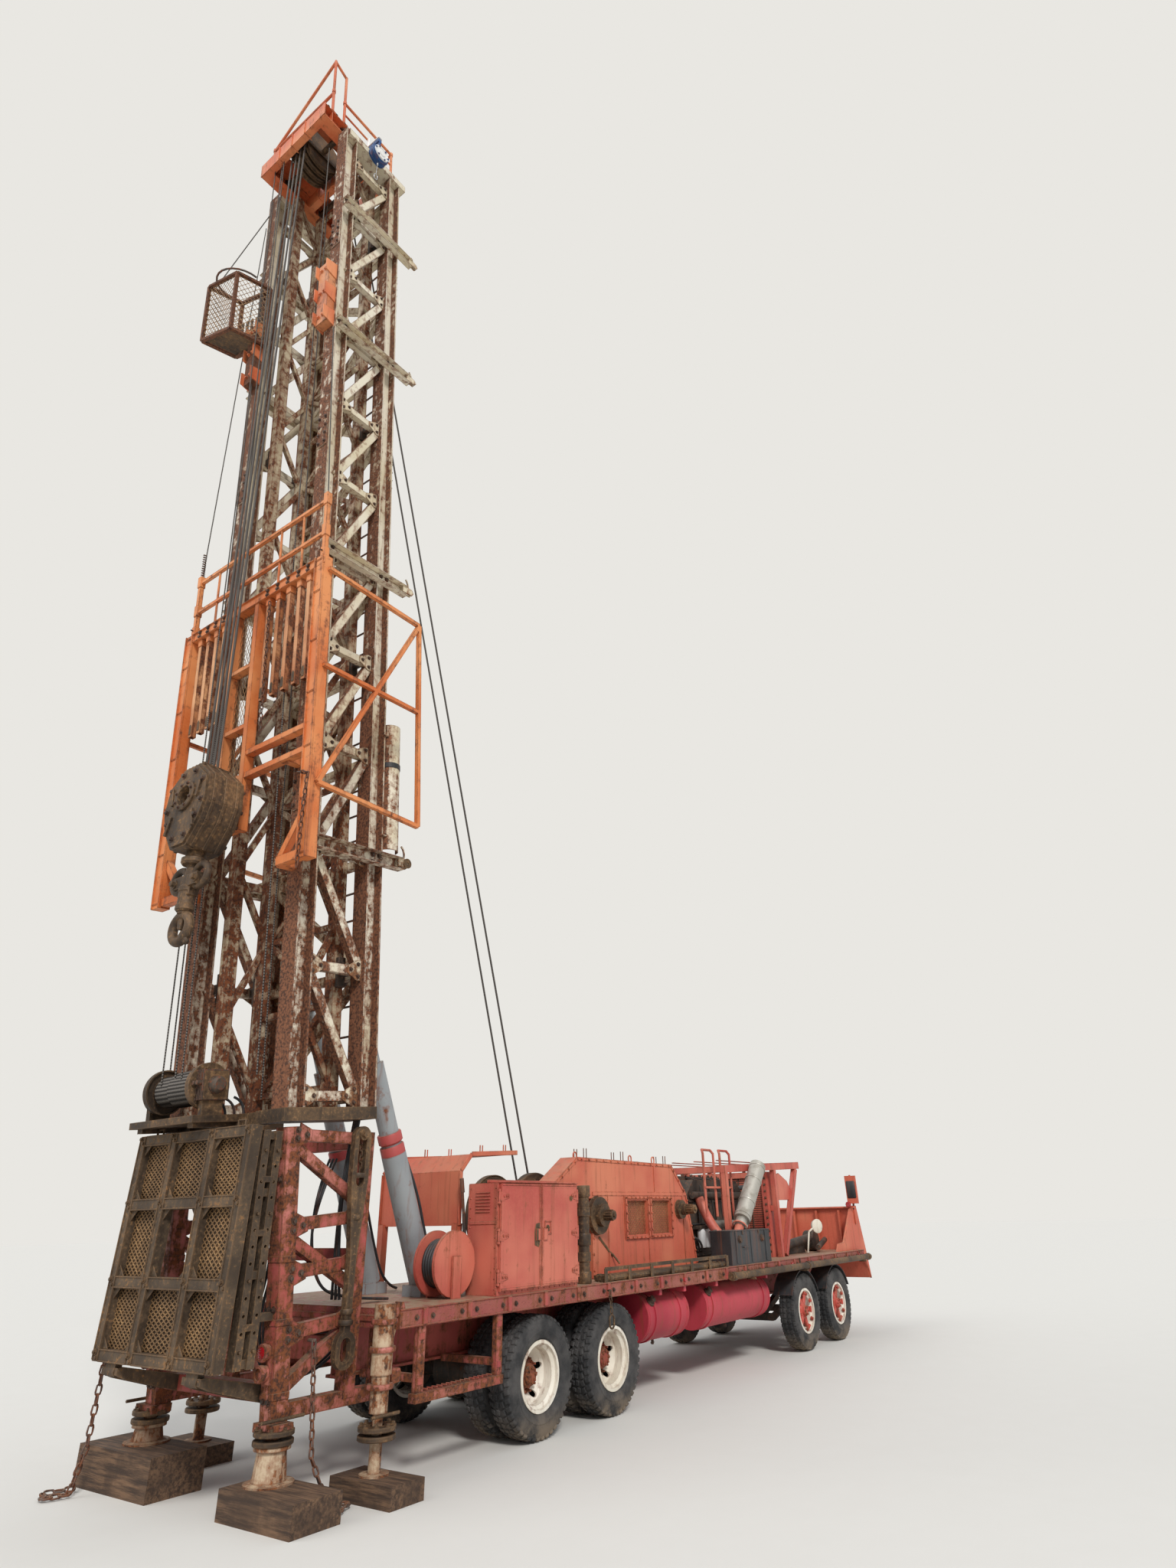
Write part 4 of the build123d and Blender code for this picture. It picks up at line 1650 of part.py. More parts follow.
# Jacks: a screw under each rear post, and a sliding leg on each side of the deck
SCREW_OUTLINE = ((130.0, 20.0), (190.0, 12.0), (190.0, 0.0))
HEAD_OUTLINE = ((50.0, 0.0), (50.0, 50.0), (140.0, 60.0), (140.0, 105.0), (110.0, 110.0))
LEG_STEPS = ((120.0, 164.0), (50.0, 380.0), (42.0, 560.0), (75.0, 820.0), (88.0, 1330.0))
BRACKET_THICK = 30.0
with BuildPart() as jacks:
    for side in (-1, 1):
        x = along(REAR_JACK_AT)
        y = side * REAR_JACK_Y
        seat = TIMBER if side < 0 else 2 * TIMBER_LAYER
        outline = [(0, JACK_HEAD_Z)]
        outline += [(r, JACK_HEAD_Z - drop) for r, drop in HEAD_OUTLINE]
        outline += [(r, seat + rise) for r, rise in SCREW_OUTLINE]
        outline.append((0, seat))
        with BuildSketch(Plane.XZ.offset(-y)):
            with BuildLine():
                Polyline(*[(x + r, z) for r, z in outline], close=True)
            make_face()
        revolve(axis=Axis((x, y, 0), (0, 0, 1)))
    for side in (-1, 1):
        x = along(SIDE_JACK_AT)
        y = side * SIDE_JACK_Y
        outline = [(0, SIDE_TIMBER)]
        floor_z = SIDE_TIMBER
        for radius, top in LEG_STEPS:
            outline += [(radius, floor_z), (radius, top)]
            floor_z = top
        outline.append((0, floor_z))
        with BuildSketch(Plane.XZ.offset(-y)):
            with BuildLine():
                Polyline(*[(x + r, z) for r, z in outline], close=True)
            make_face()
        revolve(axis=Axis((x, y, 0), (0, 0, 1)))
        with BuildSketch(Plane.XZ.offset(-y - BRACKET_THICK / 2)):
            with BuildLine():
                Polyline(
                    (x, LEG_STEPS[-1][1] - 30),
                    (along(DECK_REAR_AT), DECK_TOP),
                    (along(DECK_REAR_AT), RAIL_TOP),
                    (x, LEG_STEPS[-2][1] + 10),
                    close=True,
                )
            make_face()
        extrude(amount=BRACKET_THICK)
save(jacks, "jacks")


# Timber pads on the ground
RIGHT_PAD = (450.0, 860.0, TIMBER)
LEFT_PAD = (500.0, 1100.0, 2 * TIMBER_LAYER)
SIDE_PAD = (360.0, 700.0, SIDE_TIMBER)
RIGHT_PAD_PLACE = (-40.0, -1050.0)
LEFT_PAD_PLACE = (-60.0, 800.0)
with BuildPart() as pads:
    x = along(REAR_JACK_AT)
    for size, (dx, y) in ((RIGHT_PAD, RIGHT_PAD_PLACE), (LEFT_PAD, LEFT_PAD_PLACE)):
        with Locations((x + dx, y, size[2] / 2)):
            Box(*size)
    with Locations([(along(SIDE_JACK_AT), s * (SIDE_JACK_Y + 40), SIDE_TIMBER / 2) for s in (-1, 1)]):
        Box(*SIDE_PAD)
save(pads, "timber_pads")


# Raising rams: three stages from the deck to lugs on the mast's front girt
RAM_Y = 400.0
RAM_FOOT = (along(-930), 1380.0)
RAM_PIN_A = MAST_DEPTH + 220
RAM_PIN_H = FIRST_LEVEL + LEVEL_PITCH
RAM_STAGES = ((0.0, 0.42, 125.0), (0.42, 0.72, 100.0), (0.72, 1.0, 70.0))
RAM_BASE = (300.0, 260.0)
RAM_EYE = (75.0, 110.0)
RAM_LUG = 30.0
RAM_LUG_Y = RAM_EYE[1] - RAM_LUG / 2
RAM_LUG_END = 60.0
with BuildPart() as rams:
    for side in (-1, 1):
        y = side * RAM_Y
        foot = Vector(RAM_FOOT[0], y, RAM_FOOT[1])
        run = Vector(*mast_point(RAM_PIN_A, y, RAM_PIN_H)) - foot
        for start, end, radius in RAM_STAGES:
            add(pipe(tuple(foot + run * start), tuple(foot + run * end), radius))
        with Locations((foot.X, y, (DECK_TOP + RAM_FOOT[1]) / 2)):
            Box(*RAM_BASE, RAM_FOOT[1] - DECK_TOP)
        eye = [mast_point(RAM_PIN_A, y + dy, RAM_PIN_H) for dy in (-RAM_EYE[1], RAM_EYE[1])]
        add(pipe(*eye, RAM_EYE[0]))
        lug_from = MAST_DEPTH + BRACE_THICK / 2
        for lug_y in (y - RAM_LUG_Y, y + RAM_LUG_Y):
            lug = [(a, lug_y, RAM_PIN_H) for a in (lug_from, RAM_PIN_A + RAM_LUG_END)]
            add(mast_bar(*lug, RAM_LUG, BRACE_WIDTH))
save(rams, "raising_rams")


# Hoisting lines: four to the block and two to the drum
LINE_RADIUS = 12.0
LINE_SIDES = 6
LINE_PITCH = 70.0
GROOVE = SHEAVE_RADIUS - GROOVE_DEPTH + LINE_RADIUS
FRONT_GROOVE = FRONT_SHEAVE_RADIUS - GROOVE_DEPTH + LINE_RADIUS
DRUM_AT, DRUM_Z, DRUM_BARREL, DRUM_FLANGE = DRUMS[0]
with BuildPart() as hoist_lines:
    lines = []
    for k, crown_y in enumerate(MAIN_SHEAVE_Y):
        start = mast_point(MAIN_SHEAVE_A - GROOVE, crown_y, SHEAVE_H)
        end = (along(BLOCK_AT), LINE_PITCH * (k - 1.5), BLOCK_TOP + 1)
        lines.append(pipe(start, end, LINE_RADIUS, LINE_SIDES))
    for y in (-SHEAVE_PITCH, SHEAVE_PITCH):
        start = Vector(*mast_point(FRONT_SHEAVE_A + FRONT_GROOVE, y, SHEAVE_H))
        centre = Vector(along(DRUM_AT), y, DRUM_Z)
        run = start - centre
        outward = Vector(run.Z, 0, -run.X).normalized() * (DRUM_BARREL + LINE_RADIUS + RUNNING_GAP)
        lines.append(pipe(tuple(start), tuple(centre + outward), LINE_RADIUS, LINE_SIDES))
    add(lines)
save(hoist_lines, "hoist_lines")


# Elevator link hung by its upper eye beside the right support frame
LINK_AT = -2360.0
LINK_Y = -940.0
LINK_THICK = 56.0
LINK_PEG_Z = POST_TOP_Z - 40
LINK_PEG_RADIUS = 26.0
UPPER_EYE = (460.0, 90.0)
LOWER_EYE = (180.0, 110.0)
LINK_WALL = 50.0
LINK_SHANK = 70.0
LINK_TAPER = 620.0
LINK_LENGTH = 1820.0
UPPER_Z = LINK_PEG_Z + LINK_PEG_RADIUS + RUNNING_GAP - UPPER_EYE[0] / 2
LOWER_Z = LINK_PEG_Z - LINK_LENGTH + LINK_WALL + LOWER_EYE[0] / 2
with BuildPart() as elevator_link:
    x = along(LINK_AT)
    shoulder = UPPER_Z - (UPPER_EYE[0] - UPPER_EYE[1]) / 2
    outer_half = UPPER_EYE[1] / 2 + LINK_WALL
    with BuildSketch(Plane.XZ.offset(-LINK_Y - LINK_THICK / 2)):
        with Locations((x, (UPPER_Z + LOWER_Z) / 2)):
            Rectangle(LINK_SHANK, UPPER_Z - LOWER_Z)
        with BuildLine():
            Polyline(
                (x - outer_half, shoulder),
                (x + outer_half, shoulder),
                (x + LINK_SHANK / 2, shoulder - LINK_TAPER),
                (x - LINK_SHANK / 2, shoulder - LINK_TAPER),
                close=True,
            )
        make_face()
        for z, (tall, wide) in ((UPPER_Z, UPPER_EYE), (LOWER_Z, LOWER_EYE)):
            with Locations((x, z)):
                SlotOverall(tall + 2 * LINK_WALL, wide + 2 * LINK_WALL, rotation=90)
        for z, (tall, wide) in ((UPPER_Z, UPPER_EYE), (LOWER_Z, LOWER_EYE)):
            with Locations((x, z)):
                SlotOverall(tall, wide, rotation=90, mode=Mode.SUBTRACT)
    extrude(amount=LINK_THICK)
    rail_face = -MAST_HALF_WIDTH - SIDE_RAIL[0] / 2
    add(pipe((x, rail_face, LINK_PEG_Z), (x, LINK_Y - LINK_THICK, LINK_PEG_Z), LINK_PEG_RADIUS))
save(elevator_link, "elevator_link")


# Tail lights on the rear posts: one round lamp and an empty cup below it
LAMP_Z = (1050.0, 910.0)
LAMP_RADIUS = 55.0
LAMP_DEPTH = 50.0
LAMP_PLATE = (6.0, 130.0, 300.0)
LAMP_STANDOFF = 8.0
with BuildPart() as tail_lights:
    face = post_x(LAMP_Z[0]) - POST_SIZE / 2 - LAMP_STANDOFF
    plate_z = (LAMP_Z[0] + LAMP_Z[1]) / 2 + 5
    for side in (-1, 1):
        y = side * MAST_HALF_WIDTH
        with Locations((face - LAMP_PLATE[0] / 2, y, plate_z)):
            Box(*LAMP_PLATE)
        for z in LAMP_Z:
            lamp = [(face - LAMP_PLATE[0] - out, y, z) for out in (0, LAMP_DEPTH)]
            add(pipe(*lamp, LAMP_RADIUS))
save(tail_lights, "tail_lights")


# Fall-arrest reel hung under the right end of the crown
FALL_REEL_A = MAST_DEPTH / 2
FALL_ARM_H = CROWN_Z + 160
FALL_ARM = 60.0
FALL_ARM_END = -1020.0
FALL_STRAP = 30.0
FALL_STRAP_Y = -1000.0
FALL_REEL_H = CROWN_Z - 190
FALL_REEL_Y = (-940.0, -1060.0)
FALL_REEL_RADIUS = 140.0
with BuildPart() as lifeline_reel:
    a = FALL_REEL_A
    web_face = -(CROWN_BEAM_Y + CROWN_WALL / 2)
    add(mast_bar((a, web_face, FALL_ARM_H), (a, FALL_ARM_END, FALL_ARM_H), FALL_ARM, FALL_ARM, LEAN_NORMAL))
    strap = [(a, FALL_STRAP_Y, h) for h in (FALL_ARM_H, FALL_REEL_H + 130)]
    add(mast_bar(*strap, FALL_STRAP, FALL_STRAP))
    add(pipe(*[mast_point(a, y, FALL_REEL_H) for y in FALL_REEL_Y], FALL_REEL_RADIUS))
save(lifeline_reel, "lifeline_reel")
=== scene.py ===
"""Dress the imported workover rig: finishes, tyres, ropes, mesh, fasteners and fittings.

The floor, the light and the camera are set up here too.
"""

from __future__ import annotations

import logging
import math
from dataclasses import dataclass, field
from enum import Enum
from typing import Callable, Iterable, Sequence

import bmesh
import bpy
from mathutils import Matrix, Vector

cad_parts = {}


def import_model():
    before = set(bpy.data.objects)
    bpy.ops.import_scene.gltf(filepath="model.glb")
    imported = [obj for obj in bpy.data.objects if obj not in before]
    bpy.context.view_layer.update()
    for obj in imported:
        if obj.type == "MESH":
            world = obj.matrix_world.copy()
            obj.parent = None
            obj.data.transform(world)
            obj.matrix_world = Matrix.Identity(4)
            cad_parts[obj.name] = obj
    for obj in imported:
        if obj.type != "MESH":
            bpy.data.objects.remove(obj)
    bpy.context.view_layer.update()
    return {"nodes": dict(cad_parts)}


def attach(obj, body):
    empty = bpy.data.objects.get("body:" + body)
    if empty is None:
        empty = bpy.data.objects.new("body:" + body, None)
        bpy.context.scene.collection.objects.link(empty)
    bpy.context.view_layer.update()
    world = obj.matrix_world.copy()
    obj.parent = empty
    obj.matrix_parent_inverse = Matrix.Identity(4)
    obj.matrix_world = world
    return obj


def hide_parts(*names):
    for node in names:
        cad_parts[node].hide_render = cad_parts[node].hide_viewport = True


LOG = logging.getLogger("workover_rig")
Mesh = bpy.types.Mesh
Object = bpy.types.Object
Point = Sequence[float]

REAR_AXLE_X = -2.754
MAST_FOOT_X = REAR_AXLE_X - 3.106
MAST_FOOT_Z = 2.873
LEAN = math.radians(4.52)
MAST_DEPTH = 0.829
MAST_HALF = 0.8
LEG = 0.2
LEVELS = [0.1 + 1.18 * k for k in range(12)]
DECK_TOP = 1.278
DECK_HALF = 1.25
TYRE_RADIUS = 0.535
WHEEL_Y = 1.08
SIDES = {"right": -1, "left": 1}
FLOOR_LEAN = math.radians(2.0)
UPRIGHT = Matrix.Rotation(math.pi / 2, 4, "X")
INVERTED = Matrix.Rotation(-math.pi / 2, 4, "X")
QUARTER = Matrix.Rotation(math.pi / 2, 4, "Z")
BACK_QUARTER = Matrix.Rotation(-math.pi / 2, 4, "Z")


def along(station: float) -> float:
    """Return the X of a station measured forward of the rearmost axle."""
    return REAR_AXLE_X + station


def deck(station: float, y: float, z: float) -> tuple[float, float, float]:
    """Return the point at a station of the carrier, side y and height z."""
    return along(station), y, z


def moved(x: float, y: float, z: float) -> Matrix:
    """Return the matrix that sets a blank down at a point."""
    return Matrix.Translation((x, y, z))


def mast(a: float, y: float, h: float) -> Vector:
    """Return the point at depth a forward of the rear legs, side y and height h up the leaning mast."""
    x = MAST_FOOT_X + a * math.cos(LEAN) - h * math.sin(LEAN)
    return Vector((x, y, MAST_FOOT_Z + a * math.sin(LEAN) + h * math.cos(LEAN)))


def on_floor(y: float, run: float, out: float = 0.0) -> Vector:
    """Return the point of the folded work floor at side y, run up from its hinge and out to the rear."""
    x = along(-3.48) + run * math.sin(FLOOR_LEAN) - out * math.cos(FLOOR_LEAN)
    return Vector((x, y, 0.9 + run * math.cos(FLOOR_LEAN) + out * math.sin(FLOOR_LEAN)))


MAST_UP = (mast(0, 0, 1) - mast(0, 0, 0)).normalized()
MAST_FORE = (mast(1, 0, 0) - mast(0, 0, 0)).normalized()
FLOOR_UP = (on_floor(0, 1) - on_floor(0, 0)).normalized()
FLOOR_OUT = (on_floor(0, 0, 1) - on_floor(0, 0)).normalized()


def frame_at(origin: Point, z_axis: Point, across: Point = (0, 1, 0)) -> Matrix:
    """Place a blank so that its own Z runs along an axis.

    Args:
        origin: where the blank's centre goes.
        z_axis: direction of the blank's Z.
        across: direction that its X comes nearest to.

    Returns:
        The placing matrix.
    """
    z = Vector(z_axis).normalized()
    x = Vector(across)
    x = x - z * x.dot(z)
    if x.length < 1e-6:
        x = z.orthogonal()
    x.normalize()
    turn = Matrix((x, z.cross(x), z)).transposed().to_4x4()
    return Matrix.Translation(Vector(origin)) @ turn


class Slot(Enum):
    """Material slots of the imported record."""

    RED = "red_paint"
    ORANGE = "orange_paint"
    CREAM = "cream_paint"
    CRIMSON = "crimson_paint"
    GREY = "grey_steel"
    GREASY = "greasy_steel"
    BRIGHT = "bright_steel"
    BLACK = "black_paint"
    WHITE = "white_paint"
    BLUE = "blue_paint"
    TYRE = "tyre"
    TIMBER = "timber"
    LENS = "lamp_lens"


class Wire:
    """A shader socket that Python expressions can work on."""

    def __init__(self, bench: "ShaderBench", socket: bpy.types.NodeSocket) -> None:
        """Hold a socket and the bench that its nodes stand on."""
        self.bench = bench
        self.socket = socket

    def _math(self, operation: str, first: object, second: object) -> "Wire":
        """Add a Math node on two values or links."""
        return self.bench.node("Math", {"operation": operation}, {0: first, 1: second})

    def __add__(self, other: object) -> "Wire":
        """Add."""
        return self._math("ADD", self, other)

    def __radd__(self, other: object) -> "Wire":
        """Add, reflected."""
        return self._math("ADD", other, self)

    def __sub__(self, other: object) -> "Wire":
        """Subtract."""
        return self._math("SUBTRACT", self, other)

    def __rsub__(self, other: object) -> "Wire":
        """Subtract, reflected."""
        return self._math("SUBTRACT", other, self)

    def __mul__(self, other: object) -> "Wire":
        """Multiply."""
        return self._math("MULTIPLY", self, other)

    def __rmul__(self, other: object) -> "Wire":
        """Multiply, reflected."""
        return self._math("MULTIPLY", other, self)

    def wave(self) -> "Wire":
        """Take the sine."""
        return self.bench.node("Math", {"operation": "SINE"}, {0: self})


class ShaderBench:
    """Builds one material's node tree."""

    def __init__(self, name: str) -> None:
        """Start a material with its principled shader and output."""
        self.material = bpy.data.materials.new(name)
        self.material.use_nodes = True
        self.tree = self.material.node_tree
        self.shader = next(n for n in self.tree.nodes if n.type == "BSDF_PRINCIPLED")

    def node(self, kind: str, settings: dict, sockets: dict, out: int | str = 0) -> Wire:
        """Add a node.

        Args:
            kind: node type without its ShaderNode prefix.
            settings: attributes set before anything is linked.
            sockets: values or links by input name or index.
            out: the output to return.

        Returns:
            The chosen output as a wire.
        """
        made = self.tree.nodes.new(f"ShaderNode{kind}")
        for key, value in settings.items():
            setattr(made, key, value)
        for key, value in sockets.items():
            self.feed(made.inputs[key], value)
        return Wire(self, made.outputs[out])

    def feed(self, socket: bpy.types.NodeSocket, value: object) -> None:
        """Link a wire to a socket, or set its value."""
        if isinstance(value, Wire):
            self.tree.links.new(value.socket, socket)
        else:
            socket.default_value = colour(value) if isinstance(value, str) else value

    def place(self, stretch: Point = (1, 1, 1)) -> Wire:
        """Return Object coordinates, stretched per axis."""
        where = self.node("TexCoord", {}, {}, "Object")
        if tuple(stretch) == (1, 1, 1):
            return where
        return self.node("Mapping", {}, {"Vector": where, "Scale": stretch})

    def facing(self, axis: str) -> Wire:
        """Return one part of the surface's own normal."""
        normal = self.node("TexCoord", {}, {}, "Normal")
        return self.node("SeparateXYZ", {}, {0: normal}, axis)

    def height(self) -> Wire:
        """Return the height above the ground at rest."""
        return self.node("SeparateXYZ", {}, {0: self.place()}, "Z")

    def noise(
        self, scale: float, detail: float = 4.0, stretch: Point = (1, 1, 1), rough: float = 0.6,
    ) -> Wire:
        """Return cloudy noise between about 0.3 and 0.7."""
        sockets = {"Vector": self.place(stretch), "Scale": scale, "Detail": detail, "Roughness": rough}
        return self.node("TexNoise", {}, sockets)

    def cells(self, scale: float) -> Wire:
        """Return distances in a pattern of cells."""
        return self.node("TexVoronoi", {"feature": "F1"}, {"Vector": self.place(), "Scale": scale})

    def step(self, value: object, low: float, high: float) -> Wire:
        """Return a smooth 0 to 1 rise of a value from low to high."""
        sockets = {"Value": value, "From Min": low, "From Max": high}
        return self.node("MapRange", {"interpolation_type": "SMOOTHSTEP"}, sockets)

    def blend(self, share: object, first: object, second: object) -> Wire:
        """Mix two colours by a share."""
        settings = {"data_type": "RGBA", "clamp_factor": True}
        return self.node("Mix", settings, {0: share, 6: first, 7: second}, 2)

    def edges(self, radius: float) -> Wire:
        """Return a mask of outer and inner edges."""
        rounded = self.node("Bevel", {"samples": 3}, {"Radius": radius})
        true = self.node("NewGeometry", {}, {}, "Normal")
        dot = self.node("VectorMath", {"operation": "DOT_PRODUCT"}, {0: rounded, 1: true}, "Value")
        return self.step(1.0 - dot, 0.01, 0.2)

    def bump(self, height: object, distance: float, strength: float = 0.5) -> Wire:
        """Return a bumped normal from a height."""
        return self.node("Bump", {}, {"Height": height, "Distance": distance, "Strength": strength})

    def shade(self, **sockets: object) -> None:
        """Feed the shader's sockets, named with underscores for spaces."""
        for key, value in sockets.items():
            self.feed(self.shader.inputs[key.replace("_", " ")], value)


def colour(code: str) -> tuple[float, float, float, float]:
    """Turn a hexadecimal display colour into a linear one."""
    parts = [int(code[k : k + 2], 16) / 255 for k in (0, 2, 4)]
    lin = [c / 12.92 if c <= 0.04045 else ((c + 0.055) / 1.055) ** 2.4 for c in parts]
    return (*lin, 1.0)


@dataclass(frozen=True)
class Finish:
    """A finish by name, with the record's slot that it belongs to."""

    name: str
    slot: Slot

    def material(self) -> bpy.types.Material:
        """Return the finish's material, made at its first use."""
        known = bpy.data.materials.get(self.name)
        if known is not None:
            return known
        bench = ShaderBench(self.name)
        self.dress(bench)
        return bench.material

    def dress(self, bench: ShaderBench) -> None:
        """Build the node tree; each kind of finish has its own."""
        raise NotImplementedError


@dataclass(frozen=True)
class Paint(Finish):
    """Old paint that has faded, chipped at its edges, rusted and gathered dust."""

    fresh: str = "b0433a"
    faded: str = "c8694f"
    rust: float = 0.25
    rust_dark: str = "3d2418"
    rust_light: str = "7c4526"
    dust: float = 0.35
    dust_colour: str = "a08b70"
    edge: float = 0.6
    rough: float = 0.55
    rear_rust: float = 0.0
    low_rust: float = 0.0
    low_to: float = 9.0
    left_rust: float = 0.0
    patch: float = 5.5

    def dress(self, bench: ShaderBench) -> None:
        """Build paint over rust, with streaks that run down and dust on what faces up."""
        broad = bench.noise(0.8, 3)
        patches = bench.noise(self.patch, 9, rough=0.68)
        fine = bench.noise(38, 6)
        streaks = bench.noise(1.0, 6, (14, 14, 0.9))
        colour_now = bench.blend(bench.step(broad, 0.38, 0.62), self.fresh, self.faded)
        mottle = bench.blend(bench.step(fine, 0.35, 0.7) * 0.25, colour_now, self.faded)
        streaked = bench.blend(bench.step(streaks, 0.5, 0.72) * 0.45, mottle, self.rust_light)
        spread = patches * 0.55 + streaks * 0.3 + fine * 0.15
        if self.edge:
            spread = spread + bench.edges(0.02) * (0.2 * self.edge)
        if self.rear_rust:
            rear = bench.step(0.0 - bench.facing("X"), 0.55, 0.95)
            spread = spread + rear * (0.2 * self.rear_rust)
        if self.low_rust:
            low = 1.0 - bench.step(bench.height(), self.low_to - 5.0, self.low_to)
            spread = spread + low * (0.15 * self.low_rust)
        if self.left_rust:
            y = bench.node("SeparateXYZ", {}, {0: bench.place()}, "Y")
            spread = spread + bench.step(y, 0.2, 0.6) * (0.2 * self.left_rust)
        start = 0.69 - 0.3 * self.rust
        mask = bench.step(spread, start, start + 0.05)
        ring = bench.step(spread, start - 0.06, start + 0.01) - mask
        rust = bench.blend(bench.step(fine, 0.35, 0.62), self.rust_dark, self.rust_light)
        stained = bench.blend(ring * 0.55, streaked, self.rust_light)
        rusted = bench.blend(mask, stained, rust)
        up = bench.step(bench.facing("Z"), 0.45, 0.95)
        dusty = bench.blend(up * bench.step(patches, 0.3, 0.6) * self.dust, rusted, self.dust_colour)
        relief = fine * 0.4 + mask * bench.noise(90, 5) * 1.4 - mask * 0.5
        bench.shade(
            Base_Color=dusty,
            Roughness=mask * (0.92 - self.rough) + bench.step(fine, 0.2, 0.8) * 0.12 + (self.rough - 0.05),
            Normal=bench.bump(relief, 0.004),
        )


@dataclass(frozen=True)
class OiledSteel(Finish):
    """Bare working steel under grease, scale and mud."""

    dark: str = "33291f"
    light: str = "6f5a44"
    scale: str = "8d6a48"
    gloss: float = 0.45
    metal: float = 0.35

    def dress(self, bench: ShaderBench) -> None:
        """Build greasy steel with worn lighter places and scale."""
        broad = bench.noise(2.2, 5)
        fine = bench.noise(30, 7, rough=0.66)
        runs = bench.noise(1.0, 5, (18, 18, 1.4))
        base = bench.blend(bench.step(broad * 0.6 + fine * 0.4, 0.38, 0.62), self.dark, self.light)
        run = bench.blend(bench.step(runs, 0.5, 0.66) * 0.6, base, self.dark)
        flaked = bench.blend(bench.step(fine * 0.7 + broad * 0.3, 0.54, 0.62), run, self.scale)
        worn = bench.blend(bench.edges(0.012) * 0.5, flaked, self.scale)
        bench.shade(
            Base_Color=worn,
            Metallic=self.metal,
            Roughness=bench.step(fine, 0.3, 0.7) * 0.35 + self.gloss,
            Normal=bench.bump(fine * 0.7 + broad * 0.3, 0.006),
        )


@dataclass(frozen=True)
class PlainSteel(Finish):
    """Smooth metal with brushed streaks and light stains."""

    metal_colour: str = "a9a69e"
    stain: str = "6e6557"
    gloss: float = 0.32
    metal: float = 0.85
    stained: float = 0.5

    def dress(self, bench: ShaderBench) -> None:
        """Build metal with long scratches and patches of tarnish."""
        clouds = bench.noise(6, 6)
        scratch = bench.noise(1.0, 4, (70, 70, 4))
        base = bench.blend(bench.step(clouds, 0.46, 0.68) * self.stained, self.metal_colour, self.stain)
        bench.shade(
            Base_Color=base,
            Metallic=self.metal,
            Roughness=bench.step(clouds, 0.35, 0.7) * 0.3 + scratch * 0.15 + self.gloss,
            Normal=bench.bump(scratch, 0.0008),
        )


@dataclass(frozen=True)
class Rubber(Finish):
    """Tyre rubber, greyed by dust."""

    black: str = "232324"
    grey: str = "4a4745"
    mud: str = "7d6c58"

    def dress(self, bench: ShaderBench) -> None:
        """Build dusty rubber with mud in its lower parts."""
        clouds = bench.noise(4, 6)
        fine = bench.noise(60, 5)
        base = bench.blend(bench.step(clouds, 0.35, 0.65), self.black, self.grey)
        low = 1.0 - bench.step(bench.height(), 0.02, 0.3)
        muddy = bench.blend(low * bench.step(clouds + fine * 0.3, 0.5, 0.75) * 0.8, base, self.mud)
        bench.shade(
            Base_Color=muddy,
            Roughness=bench.step(fine, 0.3, 0.7) * 0.15 + 0.72,
            Normal=bench.bump(fine, 0.002),
        )


@dataclass(frozen=True)
class Wood(Finish):
    """Old sawn timber with dark grain and oil stains."""

    dark: str = "38281d"
    light: str = "775a42"

    def dress(self, bench: ShaderBench) -> None:
        """Build grain that runs along Y, with checks and stains."""
        grain = bench.noise(1.0, 8, (34, 2.2, 34), 0.7)
        stains = bench.noise(3, 4)
        base = bench.blend(bench.step(grain, 0.36, 0.66), self.dark, self.light)
        stained = bench.blend(bench.step(stains, 0.45, 0.65) * 0.6, base, self.dark)
        bench.shade(Base_Color=stained, Roughness=grain * 0.2 + 0.72, Normal=bench.bump(grain, 0.008, 0.7))


@dataclass(frozen=True)
class WireRope(Finish):
    """Laid wire rope, greasy between its strands."""

    bright: str = "6f6963"
    dark: str = "231f1c"
    strands: int = 6
    lay: float = 0.16

    def dress(self, bench: ShaderBench) -> None:
        """Build strands that wind round the rope along its UV map."""
        around = bench.node("SeparateXYZ", {}, {0: bench.node("TexCoord", {}, {}, "UV")}, "X")
        turn = around * (
            2 * math.pi * self.strands
        ) + bench.height() * (2 * math.pi * self.strands / self.lay)
        ridge = turn.wave() * 0.5 + 0.5
        base = bench.blend(ridge, self.dark, self.bright)
        bench.shade(Base_Color=base, Metallic=0.5, Roughness=0.55, Normal=bench.bump(ridge, 0.004, 0.8))


@dataclass(frozen=True)
class Lens(Finish):
    """Red lamp glass with a ribbed face."""

    glass: str = "a3141c"

    def dress(self, bench: ShaderBench) -> None:
        """Build glossy ribbed red."""
        ribs = (bench.height() * 420.0).wave()
        base = bench.blend(bench.step(bench.noise(30, 4), 0.4, 0.7) * 0.4, self.glass, "6b2a22")
        bench.shade(Base_Color=base, Roughness=0.25, Coat_Weight=0.5, Normal=bench.bump(ribs, 0.002, 0.6))


@dataclass(frozen=True)
class TreadPlate(Paint):
    """Painted plate with raised diamonds, worn where boots and pipe go."""

    def dress(self, bench: ShaderBench) -> None:
        """Build the painted plate, then lay the diamonds over its relief."""
        super().dress(bench)
        rows = bench.cells(34)
        raised = 1.0 - bench.step(rows, 0.22, 0.4)
        bench.shade(Normal=bench.bump(raised + bench.noise(60, 4) * 0.4, 0.004, 0.8))


